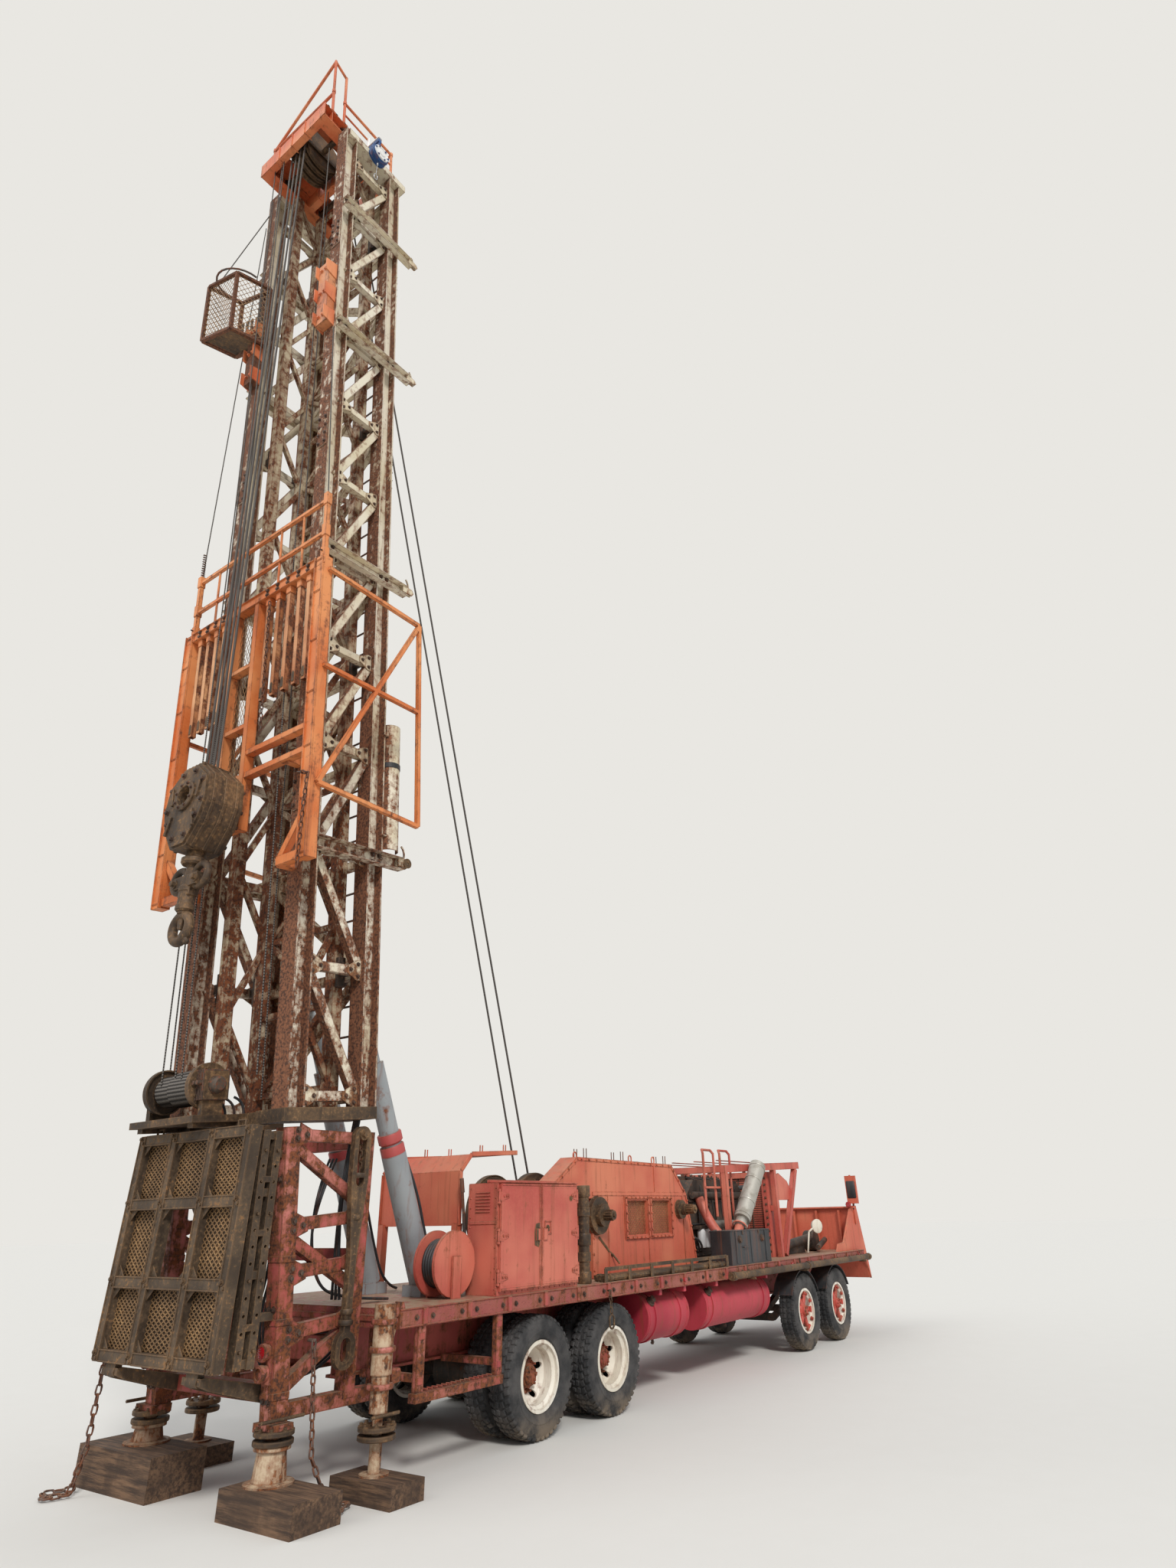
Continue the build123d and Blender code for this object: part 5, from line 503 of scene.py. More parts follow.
class Finishes:
    """Every finish of the rig."""

    CARRIER = Paint("carrier_red", Slot.RED, "b04a3f", "c9705a", rust=0.25, edge=0.8, patch=9)
    GUARD = Paint("guard_salmon", Slot.RED, "bd573f", "cd7757", rust=0.22, edge=0.7, dust=0.35, patch=9)
    RAIL = Paint("rail_red", Slot.RED, "97393a", "b4574c", rust=0.52, edge=0.8, dust=0.6, patch=8)
    POST = Paint(
        "post_pink", Slot.RED, "a4453f", "bf7468", rust=0.66, edge=0.9, low_rust=0.25, low_to=5.0, patch=8,
    )
    DECK = TreadPlate("deck_plate", Slot.RED, "8e3b38", "9b5b4c", rust=0.55, dust=0.85)
    ORANGE = Paint(
        "board_orange", Slot.ORANGE, "c7642a", "de8f56", rust=0.36, edge=0.7, rust_light="7a452a", patch=9,
    )
    FINGER = Paint("finger_rust", Slot.ORANGE, "b06a3c", "d9a070", rust=0.75, rear_rust=-0.6)
    BASKET = Paint(
        "basket_rust", Slot.ORANGE, "b8602f", "cf8a5c", rust=0.42, edge=0.8, patch=9, left_rust=1.0,
        rust_dark="3f281c", rust_light="76482e",
    )
    CROWN = Paint("crown_orange", Slot.ORANGE, "c4572b", "dd8a5a", rust=0.3, edge=0.6)
    MAST = Paint(
        "mast_cream", Slot.CREAM, "cdbf9f", "e2d8c2", rust=0.42, edge=0.8, rough=0.6, patch=10,
        rust_dark="432a1e", rust_light="85553a", rear_rust=0.7, low_rust=0.6,
    )
    BRACES = Paint(
        "brace_cream", Slot.CREAM, "c9b897", "ddd0b4", rust=0.48, edge=0.9, rough=0.6, patch=11,
        rust_dark="432b1e", rust_light="8a5c3b", low_rust=0.5,
    )
    INNER = Paint("inner_mast", Slot.CREAM, "a8967a", "c9ba9b", rust=0.66, edge=0.6, low_rust=0.3, patch=9)
    TANK = Paint("tank_crimson", Slot.CRIMSON, "9c2233", "b63a45", rust=0.12, edge=0.3)
    WHEEL = Paint("wheel_cream", Slot.WHITE, "d6ccb8", "e6dfd0", rust=0.28, edge=0.4, dust=0.2)
    HUB = Paint("hub_rust", Slot.RED, "8a3328", "a0523c", rust=0.65)
    SPOKE = Paint("spoke_red", Slot.RED, "b5392f", "c4574a", rust=0.35)
    LADDER = Paint("ladder_dark", Slot.GREY, "3b3733", "57504a", rust=0.5)
    MACHINE = OiledSteel("machine_grime", Slot.GREY, "2c2622", "5d4f43", "7a4a34")
    GREASE = OiledSteel("greasy_iron", Slot.GREASY, "3b2f25", "73593f", "8d6c4a")
    FLOOR = OiledSteel("floor_iron", Slot.GREASY, "43362a", "6e5a45", "8f6a45", gloss=0.5)
    MESH = OiledSteel("mesh_rust", Slot.GREASY, "5f4630", "9a7650", "b28e62", gloss=0.5)
    JACK = Paint("jack_rust", Slot.GREY, "a3876a", "c2ab8d", rust=0.72, rust_light="8a5634")
    CHROME = PlainSteel("ram_rod", Slot.BRIGHT, "b9bcbf", "85807a", gloss=0.18, metal=1.0)
    RAM = Paint("ram_grey", Slot.GREY, "73777a", "979a9a", rust=0.3)
    BARREL = Paint("ram_red", Slot.RED, "9a2e30", "b4504b", rust=0.25)
    MUFFLER = PlainSteel("muffler_silver", Slot.BRIGHT, "b5b1a8", "7f7566", gloss=0.38, metal=0.7)
    BLACK = Paint("black_box", Slot.BLACK, "1d1e20", "38393b", rust=0.08, edge=0.3, dust_colour="6d665c")
    WHITE = Paint("white_paint", Slot.WHITE, "d8d2c4", "ece7db", rust=0.22)
    BLUE = Paint("reel_blue", Slot.BLUE, "123a6b", "28558a", rust=0.05)
    TYRE = Rubber("tyre_rubber", Slot.TYRE)
    TIMBER = Wood("old_timber", Slot.TIMBER)
    ROPE = WireRope("wire_rope", Slot.GREASY)
    LENS = Lens("lamp_glass", Slot.LENS)


class Bench:
    """Hand tools: each blank starts as a primitive and is shaped in edit mode."""

    @staticmethod
    def start(adder: Callable[..., object], **options: object) -> Object:
        """Add a primitive with nothing else selected and open it for editing."""
        bpy.ops.object.select_all(action="DESELECT")
        adder(**options)
        bpy.ops.object.mode_set(mode="EDIT")
        bpy.ops.mesh.select_mode(type="FACE")
        bpy.ops.mesh.select_all(action="SELECT")
        return bpy.context.object

    @staticmethod
    def take() -> Mesh:
        """Close the shaped object and keep only its mesh."""
        obj = bpy.context.object
        bpy.ops.object.mode_set(mode="OBJECT")
        bpy.ops.object.transform_apply(location=True, rotation=True, scale=True)
        mesh = obj.data
        bpy.data.objects.remove(obj)
        return mesh

    @staticmethod
    def pick(kind: str, rule: Callable[[object], bool]) -> None:
        """Select the open mesh's edges or faces that a rule names.

        Args:
            kind: EDGE or FACE.
            rule: says whether an element is wanted.
        """
        bpy.ops.mesh.select_mode(type=kind)
        bpy.ops.mesh.select_all(action="DESELECT")
        mesh = bpy.context.object.data
        shape = bmesh.from_edit_mesh(mesh)
        for element in shape.edges if kind == "EDGE" else shape.faces:
            if rule(element):
                element.select_set(True)
        bmesh.update_edit_mesh(mesh)

    @classmethod
    def block(cls, size: Point, edge: float = 0.004, taper: float = 1.0) -> Mesh:
        """Make a bar with eased edges.

        Args:
            size: its three sides.
            edge: how far its edges are eased.
            taper: how wide its top is against its foot.

        Returns:
            The blank.
        """
        cls.start(bpy.ops.mesh.primitive_cube_add, size=1.0)
        bpy.ops.transform.resize(value=tuple(size))
        if taper != 1.0:
            cls.pick("FACE", lambda f: f.normal.z > 0.9)
            bpy.ops.transform.resize(value=(taper, taper, 1))
            bpy.ops.mesh.select_all(action="SELECT")
        if edge:
            bpy.ops.mesh.bevel(offset=edge, segments=1, affect="EDGES")
        return cls.take()

    @classmethod
    def rod(cls, radius: float, length: float, sides: int = 16, edge: float = 0.002) -> Mesh:
        """Make a round bar along Z with eased ends."""
        cls.start(bpy.ops.mesh.primitive_cylinder_add, radius=radius, depth=length, vertices=sides)
        if edge:
            cls.pick("EDGE", lambda e: abs(e.verts[0].co.z - e.verts[1].co.z) < 1e-6)
            bpy.ops.mesh.bevel(offset=edge, segments=1, affect="EDGES")
        return cls.take()

    @classmethod
    def turned(cls, outline: Sequence[tuple[float, float]], steps: int = 48) -> Mesh:
        """Turn a closed outline of radius and place about the Y axis.

        Args:
            outline: points of the half section, in order.
            steps: faces round the ring.

        Returns:
            The blank, its faces outward.
        """
        cls.start(bpy.ops.mesh.primitive_circle_add, vertices=len(outline), fill_type="NOTHING")
        mesh = bpy.context.object.data
        shape = bmesh.from_edit_mesh(mesh)
        for vert, (radius, place) in zip(shape.verts, outline):
            vert.co = (radius, place, 0)
        bmesh.update_edit_mesh(mesh)
        bpy.ops.mesh.select_mode(type="VERT")
        bpy.ops.mesh.select_all(action="SELECT")
        bpy.ops.mesh.spin(steps=steps, angle=2 * math.pi, center=(0, 0, 0), axis=(0, 1, 0))
        bpy.ops.mesh.select_all(action="SELECT")
        bpy.ops.mesh.remove_doubles(threshold=1e-5)
        bpy.ops.mesh.dissolve_degenerate()
        bpy.ops.mesh.select_all(action="SELECT")
        bpy.ops.mesh.normals_make_consistent(inside=False)
        return cls.take()

    @classmethod
    def ring(cls, major: float, minor: float, stretch: float = 0.0, segments: int = 14) -> Mesh:
        """Make a ring in the XZ plane, its halves drawn apart along Z by a stretch."""
        options = {"major_radius": major, "minor_radius": minor, "major_segments": segments}
        cls.start(bpy.ops.mesh.primitive_torus_add, minor_segments=8, rotation=(math.pi / 2, 0, 0), **options)
        bpy.ops.object.mode_set(mode="OBJECT")
        bpy.ops.object.transform_apply(location=True, rotation=True, scale=True)
        for vert in bpy.context.object.data.vertices:
            vert.co.z += math.copysign(stretch / 2, vert.co.z) if stretch else 0.0
        return cls.take()

    @classmethod
    def bolt(cls, across: float = 0.03) -> Mesh:
        """Make a hexagon head on its washer, standing up from its seat along Z."""
        cls.start(bpy.ops.mesh.primitive_cylinder_add, radius=across * 0.95, depth=across * 0.2, vertices=12)
        bpy.ops.mesh.primitive_cylinder_add(
            radius=across * 0.6, depth=across * 0.7, vertices=6, location=(0, 0, across * 0.4)
        )
        top = across * 0.7
        cls.pick("FACE", lambda f: f.normal.z > 0.9 and f.calc_center_median().z > top)
        bpy.ops.mesh.inset(thickness=across * 0.1)
        bpy.ops.transform.translate(value=(0, 0, across * 0.05))
        return cls.take()

    @classmethod
    def plate(cls, outline: Sequence[tuple[float, float]], thick: float, edge: float = 0.002) -> Mesh:
        """Cut a flat plate, its outline in XZ and its thickness along Y.

        Args:
            outline: corners of its face, in order.
            thick: how thick it is, centred on Y.
            edge: how far its edges are eased.

        Returns:
            The blank.
        """
        cls.start(bpy.ops.mesh.primitive_circle_add, vertices=len(outline), fill_type="NGON")
        mesh = bpy.context.object.data
        shape = bmesh.from_edit_mesh(mesh)
        for vert, (x, z) in zip(shape.verts, outline):
            vert.co = (x, -thick / 2, z)
        bmesh.update_edit_mesh(mesh)
        bpy.ops.mesh.extrude_region_move(TRANSFORM_OT_translate={"value": (0, thick, 0)})
        bpy.ops.mesh.select_all(action="SELECT")
        bpy.ops.mesh.normals_make_consistent(inside=False)
        if edge:
            cls.pick("EDGE", lambda e: not e.is_boundary)
            bpy.ops.mesh.bevel(offset=edge, segments=1, affect="EDGES", clamp_overlap=True)
        return cls.take()

    @staticmethod
    def tube(points: Iterable[Point], radius: float, soft: bool = False) -> Mesh:
        """Sweep a round line through points.

        Args:
            points: the route.
            radius: half its thickness.
            soft: whether the line curves smoothly instead of bending at each point.

        Returns:
            The blank, already in place.
        """
        curve = bpy.data.curves.new("line", "CURVE")
        curve.dimensions = "3D"
        route = list(points)
        spline = curve.splines.new("NURBS" if soft else "POLY")
        spline.points.add(len(route) - 1)
        for target, point in zip(spline.points, route):
            target.co = (*point, 1)
        if soft:
            spline.order_u = 3
            spline.use_endpoint_u = True
        curve.bevel_depth = radius
        curve.bevel_resolution = 2
        curve.use_fill_caps = True
        obj = bpy.data.objects.new("line", curve)
        bpy.context.scene.collection.objects.link(obj)
        bpy.context.view_layer.update()
        mesh = bpy.data.meshes.new_from_object(obj.evaluated_get(bpy.context.evaluated_depsgraph_get()))
        bpy.data.objects.remove(obj)
        return mesh


class Piece:
    """A named object gathered from blanks, each set in its place."""

    def __init__(self, name: str, finish: Finish, body: str = "rig") -> None:
        """Open an empty piece.

        Args:
            name: the object's name.
            finish: what it is finished with.
            body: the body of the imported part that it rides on.
        """
        self.name = name
        self.finish = finish
        self.body = body
        self.shape = bmesh.new()

    def put(self, blank: Mesh, *places: Matrix) -> "Piece":
        """Add a blank at each place, or where it is if none is named."""
        for place in places or (Matrix.Identity(4),):
            before = len(self.shape.verts)
            self.shape.from_mesh(blank)
            self.shape.verts.ensure_lookup_table()
            bmesh.ops.transform(self.shape, matrix=place, verts=self.shape.verts[before:])
        return self

    def bar(self, start: Point, end: Point, wide: float, deep: float, across: Point = (
        0, 1, 0,
    ), edge: float = 0.004) -> "Piece":
        """Add a straight bar between two points."""
        first, last = Vector(start), Vector(end)
        blank = Bench.block((wide, deep, (last - first).length), edge)
        return self.put(blank, frame_at((first + last) / 2, last - first, across))

    def rod(self, start: Point, end: Point, radius: float, sides: int = 14) -> "Piece":
        """Add a round bar between two points."""
        first, last = Vector(start), Vector(end)
        blank = Bench.rod(radius, (last - first).length, sides, min(0.003, radius / 4))
        return self.put(blank, frame_at((first + last) / 2, last - first, (0.3, 1, 0.2)))

    def lattice(self, corners: Sequence[Point], columns: int, rows: int, strand: float = 0.004) -> "Piece":
        """Fill four corners with a diamond mesh.

        Args:
            corners: low start, low end, high end, high start.
            columns: diamonds across.
            rows: diamonds up.
            strand: half a strand's width.

        Returns:
            The piece.
        """
        low_a, low_b, high_b, high_a = (Vector(c) for c in corners)
        normal = (low_b - low_a).cross(high_a - low_a).normalized()
        blank = Bench.block((strand, 2 * strand, 1.0), 0)

        def spot(i: int, j: int) -> Vector:
            """Return the point at half diamond i across and j up."""
            u, v = i / (2 * columns), j / (2 * rows)
            return low_a.lerp(low_b, u).lerp(high_a.lerp(high_b, u), v)

        places = []
        for i in range(2 * columns):
            for j in range(2 * rows):
                turn = (i + j) % 2
                first, last = spot(i, j + turn), spot(i + 1, j + 1 - turn)
                length = Matrix.Diagonal((1, 1, (last - first).length, 1))
                places.append(frame_at((first + last) / 2, last - first, normal) @ length)
        return self.put(blank, *places)

    def chain(self, route: Sequence[Point], pitch: float = 0.06, wire: float = 0.008) -> "Piece":
        """Lay chain links along straight runs between points."""
        link = Bench.ring(pitch * 0.36, wire, pitch * 0.45, 10)
        turned = 0
        for start, end in zip(route, route[1:]):
            first, run = Vector(start), Vector(end) - Vector(start)
            count = max(1, round(run.length / pitch))
            for k in range(count):
                across = (0.2, 1, 0.1) if turned % 2 else (1, 0.1, 0.2)
                self.put(link, frame_at(first + run * ((k + 0.5) / count), run, across))
                turned += 1
        return self

    def done(self, smooth: float = 35.0, replaces: Sequence[str] = ()) -> Object:
        """Close the piece: finish it, set it on its body and report it.

        Args:
            smooth: edges below this angle are shaded smooth.
            replaces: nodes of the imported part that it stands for.

        Returns:
            The finished object.
        """
        mesh = bpy.data.meshes.new(self.name)
        self.shape.to_mesh(mesh)
        self.shape.free()
        mesh.materials.clear()
        mesh.materials.append(self.finish.material())
        for face in mesh.polygons:
            face.material_index = 0
        obj = bpy.data.objects.new(self.name, mesh)
        bpy.context.scene.collection.objects.link(obj)
        bpy.ops.object.select_all(action="DESELECT")
        obj.select_set(True)
        bpy.context.view_layer.objects.active = obj
        bpy.ops.object.shade_smooth_by_angle(angle=math.radians(smooth))
        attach(obj, self.body)
        if replaces:
            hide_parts(*replaces)
        LOG.info("%s: %d faces", self.name, len(mesh.polygons))
        return obj


@dataclass
class Stage:
    """Floor, light and camera."""

    floor_size: float = 240.0
    pale: str = "e9e7e2"
    eye: Point = (-10.946, -7.629, 1.981)
    yaw: float = 34.736
    pitch: float = 26.41
    roll: float = -1.408
    focal: float = 1130.134
    long_side: float = 2048.0

    def build(self) -> None:
        """Set up the floor, the world, the lamps and the camera."""
        self.floor()
        self.world()
        self.lamp("key", (52, 0, -38), 2.1, 12)
        self.lamp("fill", (48, 0, -120), 0.7, 40)
        self.camera()
        bpy.context.scene.view_settings.view_transform = "Standard"

    def floor(self) -> None:
        """Lay a plain pale floor."""
        bpy.ops.object.select_all(action="DESELECT")
        bpy.ops.mesh.primitive_plane_add(size=self.floor_size)
        floor = bpy.context.object
        floor.name = "floor"
        bench = ShaderBench("pale_floor")
        tone = bench.noise(3.0, 5)
        bench.shade(Base_Color=bench.blend(tone * 0.3, "dedad2", "d3cec4"), Roughness=0.9)
        floor.data.materials.append(bench.material)

    def world(self) -> None:
        """Light from all round, with a pale background for the camera and in reflections."""
        world = bpy.data.worlds.new("studio")
        bpy.context.scene.world = world
        world.use_nodes = True
        nodes, links = world.node_tree.nodes, world.node_tree.links
        nodes.clear()
        light = nodes.new("ShaderNodeBackground")
        light.inputs[0].default_value = (0.86, 0.92, 1.0, 1)
        light.inputs[1].default_value = 0.62
        seen = nodes.new("ShaderNodeBackground")
        seen.inputs[0].default_value = colour(self.pale)
        seen.inputs[1].default_value = 1.0
        path = nodes.new("ShaderNodeLightPath")
        either = nodes.new("ShaderNodeMath")
        either.operation = "MAXIMUM"
        links.new(path.outputs["Is Camera Ray"], either.inputs[0])
        glossy = nodes.new("ShaderNodeMath")
        glossy.operation = "MAXIMUM"
        links.new(path.outputs["Is Glossy Ray"], glossy.inputs[0])
        links.new(path.outputs["Is Transmission Ray"], glossy.inputs[1])
        links.new(glossy.outputs[0], either.inputs[1])
        mix = nodes.new("ShaderNodeMixShader")
        links.new(either.outputs[0], mix.inputs[0])
        links.new(light.outputs[0], mix.inputs[1])
        links.new(seen.outputs[0], mix.inputs[2])
        out = nodes.new("ShaderNodeOutputWorld")
        links.new(mix.outputs[0], out.inputs[0])

    def lamp(self, name: str, turn: Point, strength: float, spread: float) -> None:
        """Add one soft distant lamp.

        Args:
            name: the lamp's name.
            turn: its rotation in degrees; it shines down its own -Z.
            strength: how bright it is.
            spread: how wide its disc is, in degrees.
        """
        light = bpy.data.lights.new(name, "SUN")
        light.energy = strength
        light.angle = math.radians(spread)
        obj = bpy.data.objects.new(name, light)
        obj.rotation_euler = [math.radians(t) for t in turn]
        bpy.context.scene.collection.objects.link(obj)

    def camera(self) -> None:
        """Set the camera at the photograph's viewpoint."""
        yaw, pitch, roll = (math.radians(v) for v in (self.yaw, self.pitch, self.roll))
        ahead = Vector((math.cos(yaw) * math.cos(pitch), math.sin(yaw) * math.cos(pitch), math.sin(pitch)))
        right = Vector((math.sin(yaw), -math.cos(yaw), 0))
        above = right.cross(ahead)
        turned = right * math.cos(roll) + above * math.sin(roll)
        upward = above * math.cos(roll) - right * math.sin(roll)
        data = bpy.data.cameras.new("camera")
        data.sensor_width = 36.0
        data.lens = self.focal / self.long_side * data.sensor_width
        data.clip_end = 500.0
        obj = bpy.data.objects.new("camera", data)
        turn = Matrix((turned, upward, -ahead)).transposed().to_4x4()
        obj.matrix_world = Matrix.Translation(Vector(self.eye)) @ turn
        bpy.context.scene.collection.objects.link(obj)
        bpy.context.scene.camera = obj


class Frame:
    """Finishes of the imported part's own nodes."""

    PLAN = {
        "chassis_rails": Finishes.RAIL, "deck": Finishes.DECK, "drive_axles": Finishes.MACHINE,
        "steer_axles": Finishes.MACHINE, "knuckle": Finishes.BLACK, "under_deck_tanks": Finishes.TANK,
        "step_frames": Finishes.POST, "support_frames": Finishes.POST, "support_crossbeams": Finishes.RAIL,
        "mast_base": Finishes.GREASE, "mast_side": Finishes.MAST, "mast_front": Finishes.BRACES,
        "inner_mast": Finishes.INNER, "crown_frame": Finishes.CROWN, "crown_sheaves": Finishes.GREASE,
        "crown_railing": Finishes.CROWN, "racking_frame": Finishes.ORANGE, "racking_fingers": Finishes.FINGER,
        "board_side_frames": Finishes.ORANGE, "rod_basket": Finishes.BASKET,
        "travelling_block": Finishes.GREASE,
        "winch": Finishes.GREASE, "work_floor": Finishes.FLOOR, "floor_carrier": Finishes.FLOOR,
        "floor_guides": Finishes.FLOOR, "cabinet": Finishes.CARRIER, "drums": Finishes.GREASE,
        "drum_frame": Finishes.GUARD, "chain_guard": Finishes.GUARD, "shaft_ends": Finishes.GREASE,
        "deck_pipes": Finishes.GREASE, "hose_reel": Finishes.CARRIER, "engine": Finishes.MACHINE,
        "gearbox": Finishes.CARRIER, "engine_frame": Finishes.CARRIER, "muffler": Finishes.MUFFLER,
        "tool_box": Finishes.BLACK, "front_bulkhead": Finishes.GUARD, "jacks": Finishes.JACK,
        "timber_pads": Finishes.TIMBER, "raising_rams": Finishes.RAM, "hoist_lines": Finishes.GREASE,
        "elevator_link": Finishes.GREASE, "tail_lights": Finishes.POST, "lifeline_reel": Finishes.BLUE,
        "wheel": Finishes.WHEEL,
    }

    def dress(self, nodes: dict[str, Object]) -> None:
        """Give each node the finish that the longest matching name in the plan says.

        Args:
            nodes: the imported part's objects by name.
        """
        for name, obj in nodes.items():
            keys = [key for key in self.PLAN if name.startswith(key)]
            finish = self.PLAN[max(keys, key=len)]
            for slot in obj.material_slots:
                slot.material = finish.material()
            LOG.info("%s: %s", name, finish.name)


@dataclass
class Wheels:
    """Tyres, rims, hubs and nuts of the eight wheel positions."""

    half: float = 0.14
    rim: float = 0.29
    lugs: int = 46
    dual: float = 0.33
    drive: dict = field(default_factory=lambda: {"drive_1": along(1.32), "drive_2": along(0.0)})
    steer: dict = field(default_factory=lambda: {"steer_1": along(8.19), "steer_2": along(6.8)})

    def build(self) -> None:
        """Make each part once and set its copies on every wheel."""
        carcass = self.carcass()
        lug = Bench.block((0.052, 0.062, 0.03), 0.006, 0.82)
        rib = Bench.block((0.058, 0.05, 0.02), 0.005, 0.85)
        shell = self.rim_shell()
        disc = self.dished_disc()
        spokes = self.spoked_hub()
        nut = Bench.bolt(0.034)
        for side_name, side in SIDES.items():
            turn = Matrix.Rotation(0 if side > 0 else math.pi, 4, "Z")
            for axle, x in self.drive.items():
                body = f"wheel_{axle}_{side_name}"
                outer = moved(x, side * WHEEL_Y, TYRE_RADIUS) @ turn
                inner = outer @ moved(0, -self.dual, 0)
                self.tyre(f"tyres_{axle}_{side_name}", body, (outer, inner), carcass, lug, rib)
                piece = Piece(f"rims_{axle}_{side_name}", Finishes.WHEEL, body).put(shell, outer, inner)
                piece.put(disc, outer).done(30, [body])
                self.drive_hub(f"hub_{axle}_{side_name}", body, outer, nut)
            for axle, x in self.steer.items():
                body = f"wheel_{axle}_{side_name}"
                place = moved(x, side * WHEEL_Y, TYRE_RADIUS) @ turn
                self.tyre(f"tyre_{axle}_{side_name}", body, (place,), carcass, None, rib)
                Piece(f"rim_{axle}_{side_name}", Finishes.WHEEL, body).put(shell, place).done(30, [body])
                hub = Piece(f"spokes_{axle}_{side_name}", Finishes.SPOKE, body).put(spokes, place)
                for k in range(6):
                    spot = self.polar(0.245, k * 60 + 30, 0.088)
                    hub.put(nut, place @ spot)
                hub.done(30)

    @staticmethod
    def polar(radius: float, degrees: float, y: float, lean: float = 0.0) -> Matrix:
        """Return the place at a radius and turn in the wheel's own frame, its Z outward along the axle."""
        angle = math.radians(degrees)
        spot = Vector((radius * math.cos(angle), y, radius * math.sin(angle)))
        return frame_at(spot, (lean * math.cos(angle), 1, lean * math.sin(angle)))

    def carcass(self) -> Mesh:
        """Turn the tyre's body with its rounded sidewalls and rings."""
        half, crown = self.half, TYRE_RADIUS - 0.018
        right = [
            (self.rim + 0.002, half - 0.05), (self.rim + 0.018, half - 0.036), (self.rim + 0.03, half - 0.03),
            (self.rim + 0.036, half - 0.02), (self.rim + 0.06, half - 0.009), (self.rim + 0.09, half - 0.001),
            (
                self.rim + 0.094, half + 0.001,
            ), (self.rim + 0.104, half + 0.001), (self.rim + 0.108, half - 0.002),
            (
                self.rim + 0.15, half - 0.003,
            ), (self.rim + 0.19, half - 0.012), (self.rim + 0.215, half - 0.024),
            (crown, half - 0.05),
        ]
        middle = [(crown + 0.004, 0.05), (crown + 0.005, 0.0), (crown + 0.004, -0.05)]
        left = [(r, -y) for r, y in reversed(right)]
        inside = [(self.rim + 0.02, -half + 0.07), (self.rim + 0.02, half - 0.07)]
        return Bench.turned(right + middle + left + inside, 72)

    def tyre(
        self, name: str, body: str, places: Sequence[Matrix], carcass: Mesh, lug: Mesh | None, rib: Mesh,
    ) -> None:
        """Set a carcass and its tread at each place.

        Args:
            name: the piece's name.
            body: the wheel's body.
            places: one place for each tyre.
            carcass: the tyre's body.
            lug: a shoulder block, or none on a ribbed tyre.
            rib: a middle block.
        """
        piece = Piece(name, Finishes.TYRE, body).put(carcass, *places)
        crown = TYRE_RADIUS - 0.012
        for place in places:
            for k in range(self.lugs):
                angle = 2 * math.pi * k / self.lugs
                turn = Matrix.Rotation(-angle, 4, "Y")
                for side in (-1, 1):
                    shift = math.pi / self.lugs if side > 0 else 0.0
                    shifted = Matrix.Rotation(-angle - shift, 4, "Y")
                    if lug is not None:
                        spot = moved(0, side * 0.098, crown - 0.009)
                        lean = Matrix.Rotation(-side * math.radians(14), 4, "X")
                        skew = Matrix.Rotation(side * math.radians(12), 4, "Z")
                        piece.put(lug, place @ shifted @ spot @ lean @ skew)
                    else:
                        edge = moved(0, side * 0.1, crown - 0.012)
                        lean = Matrix.Rotation(-side * math.radians(16), 4, "X")
                        piece.put(rib, place @ shifted @ edge @ lean)
                    inner = moved(0, side * 0.034, crown)
                    piece.put(rib, place @ turn @ inner @ Matrix.Rotation(side * 0.3, 4, "Z"))
        piece.done(28)

    def rim_shell(self) -> Mesh:
        """Turn a rim with its flanges, bead seats and well."""
        e = self.half - 0.025
        r = self.rim
        outline = [
            (r + 0.018, e), (r + 0.02, e - 0.004), (r + 0.018, e - 0.012), (r + 0.001, e - 0.014),
            (r - 0.002, e - 0.03), (r - 0.03, e - 0.05), (r - 0.03, -e + 0.05), (r - 0.002, -e + 0.03),
            (r + 0.001, -e + 0.014), (r + 0.018, -e + 0.012), (r + 0.02, -e + 0.004), (r + 0.018, -e),
            (r - 0.012, -e), (r - 0.012, -e + 0.03), (r - 0.042, -e + 0.054), (r - 0.042, e - 0.054),
            (r - 0.012, e - 0.03), (r - 0.012, e),
        ]
        return Bench.turned(outline, 72)

    def dished_disc(self) -> Mesh:
        """Turn the outer wheel's deep disc, with its hand holes cut out."""
        outline = [
            (0.08, -0.135), (0.17, -0.14), (0.2, -0.115), (0.235, -0.07), (0.262, -0.04), (0.262, -0.005),
            (0.25, -0.005), (0.25, -0.035), (0.225, -0.062), (0.188, -0.105), (0.165, -0.124), (0.08, -0.119),
        ]
        disc = Bench.turned(outline, 60)
        cutter = Bench.rod(0.032, 0.4, 20, 0)
        plate = bpy.data.objects.new("disc", disc)
        tool_mesh = bmesh.new()
        for k in range(5):
            before = len(tool_mesh.verts)
            tool_mesh.from_mesh(cutter)
            tool_mesh.verts.ensure_lookup_table()
            bmesh.ops.transform(
                tool_mesh, matrix=self.polar(0.207, 72 * k + 20, -0.09), verts=tool_mesh.verts[before:],
            )
        holes = bpy.data.meshes.new("holes")
        tool_mesh.to_mesh(holes)
        tool_mesh.free()
        tool = bpy.data.objects.new("holes", holes)
        for obj in (plate, tool):
            bpy.context.scene.collection.objects.link(obj)
        bpy.ops.object.select_all(action="DESELECT")
        plate.select_set(True)
        bpy.context.view_layer.objects.active = plate
        cut = plate.modifiers.new("hand_holes", "BOOLEAN")
        cut.object = tool
        cut.operation = "DIFFERENCE"
        bpy.ops.object.modifier_apply(modifier=cut.name)
        mesh = plate.data
        bpy.data.objects.remove(plate)
        bpy.data.objects.remove(tool)
        return mesh

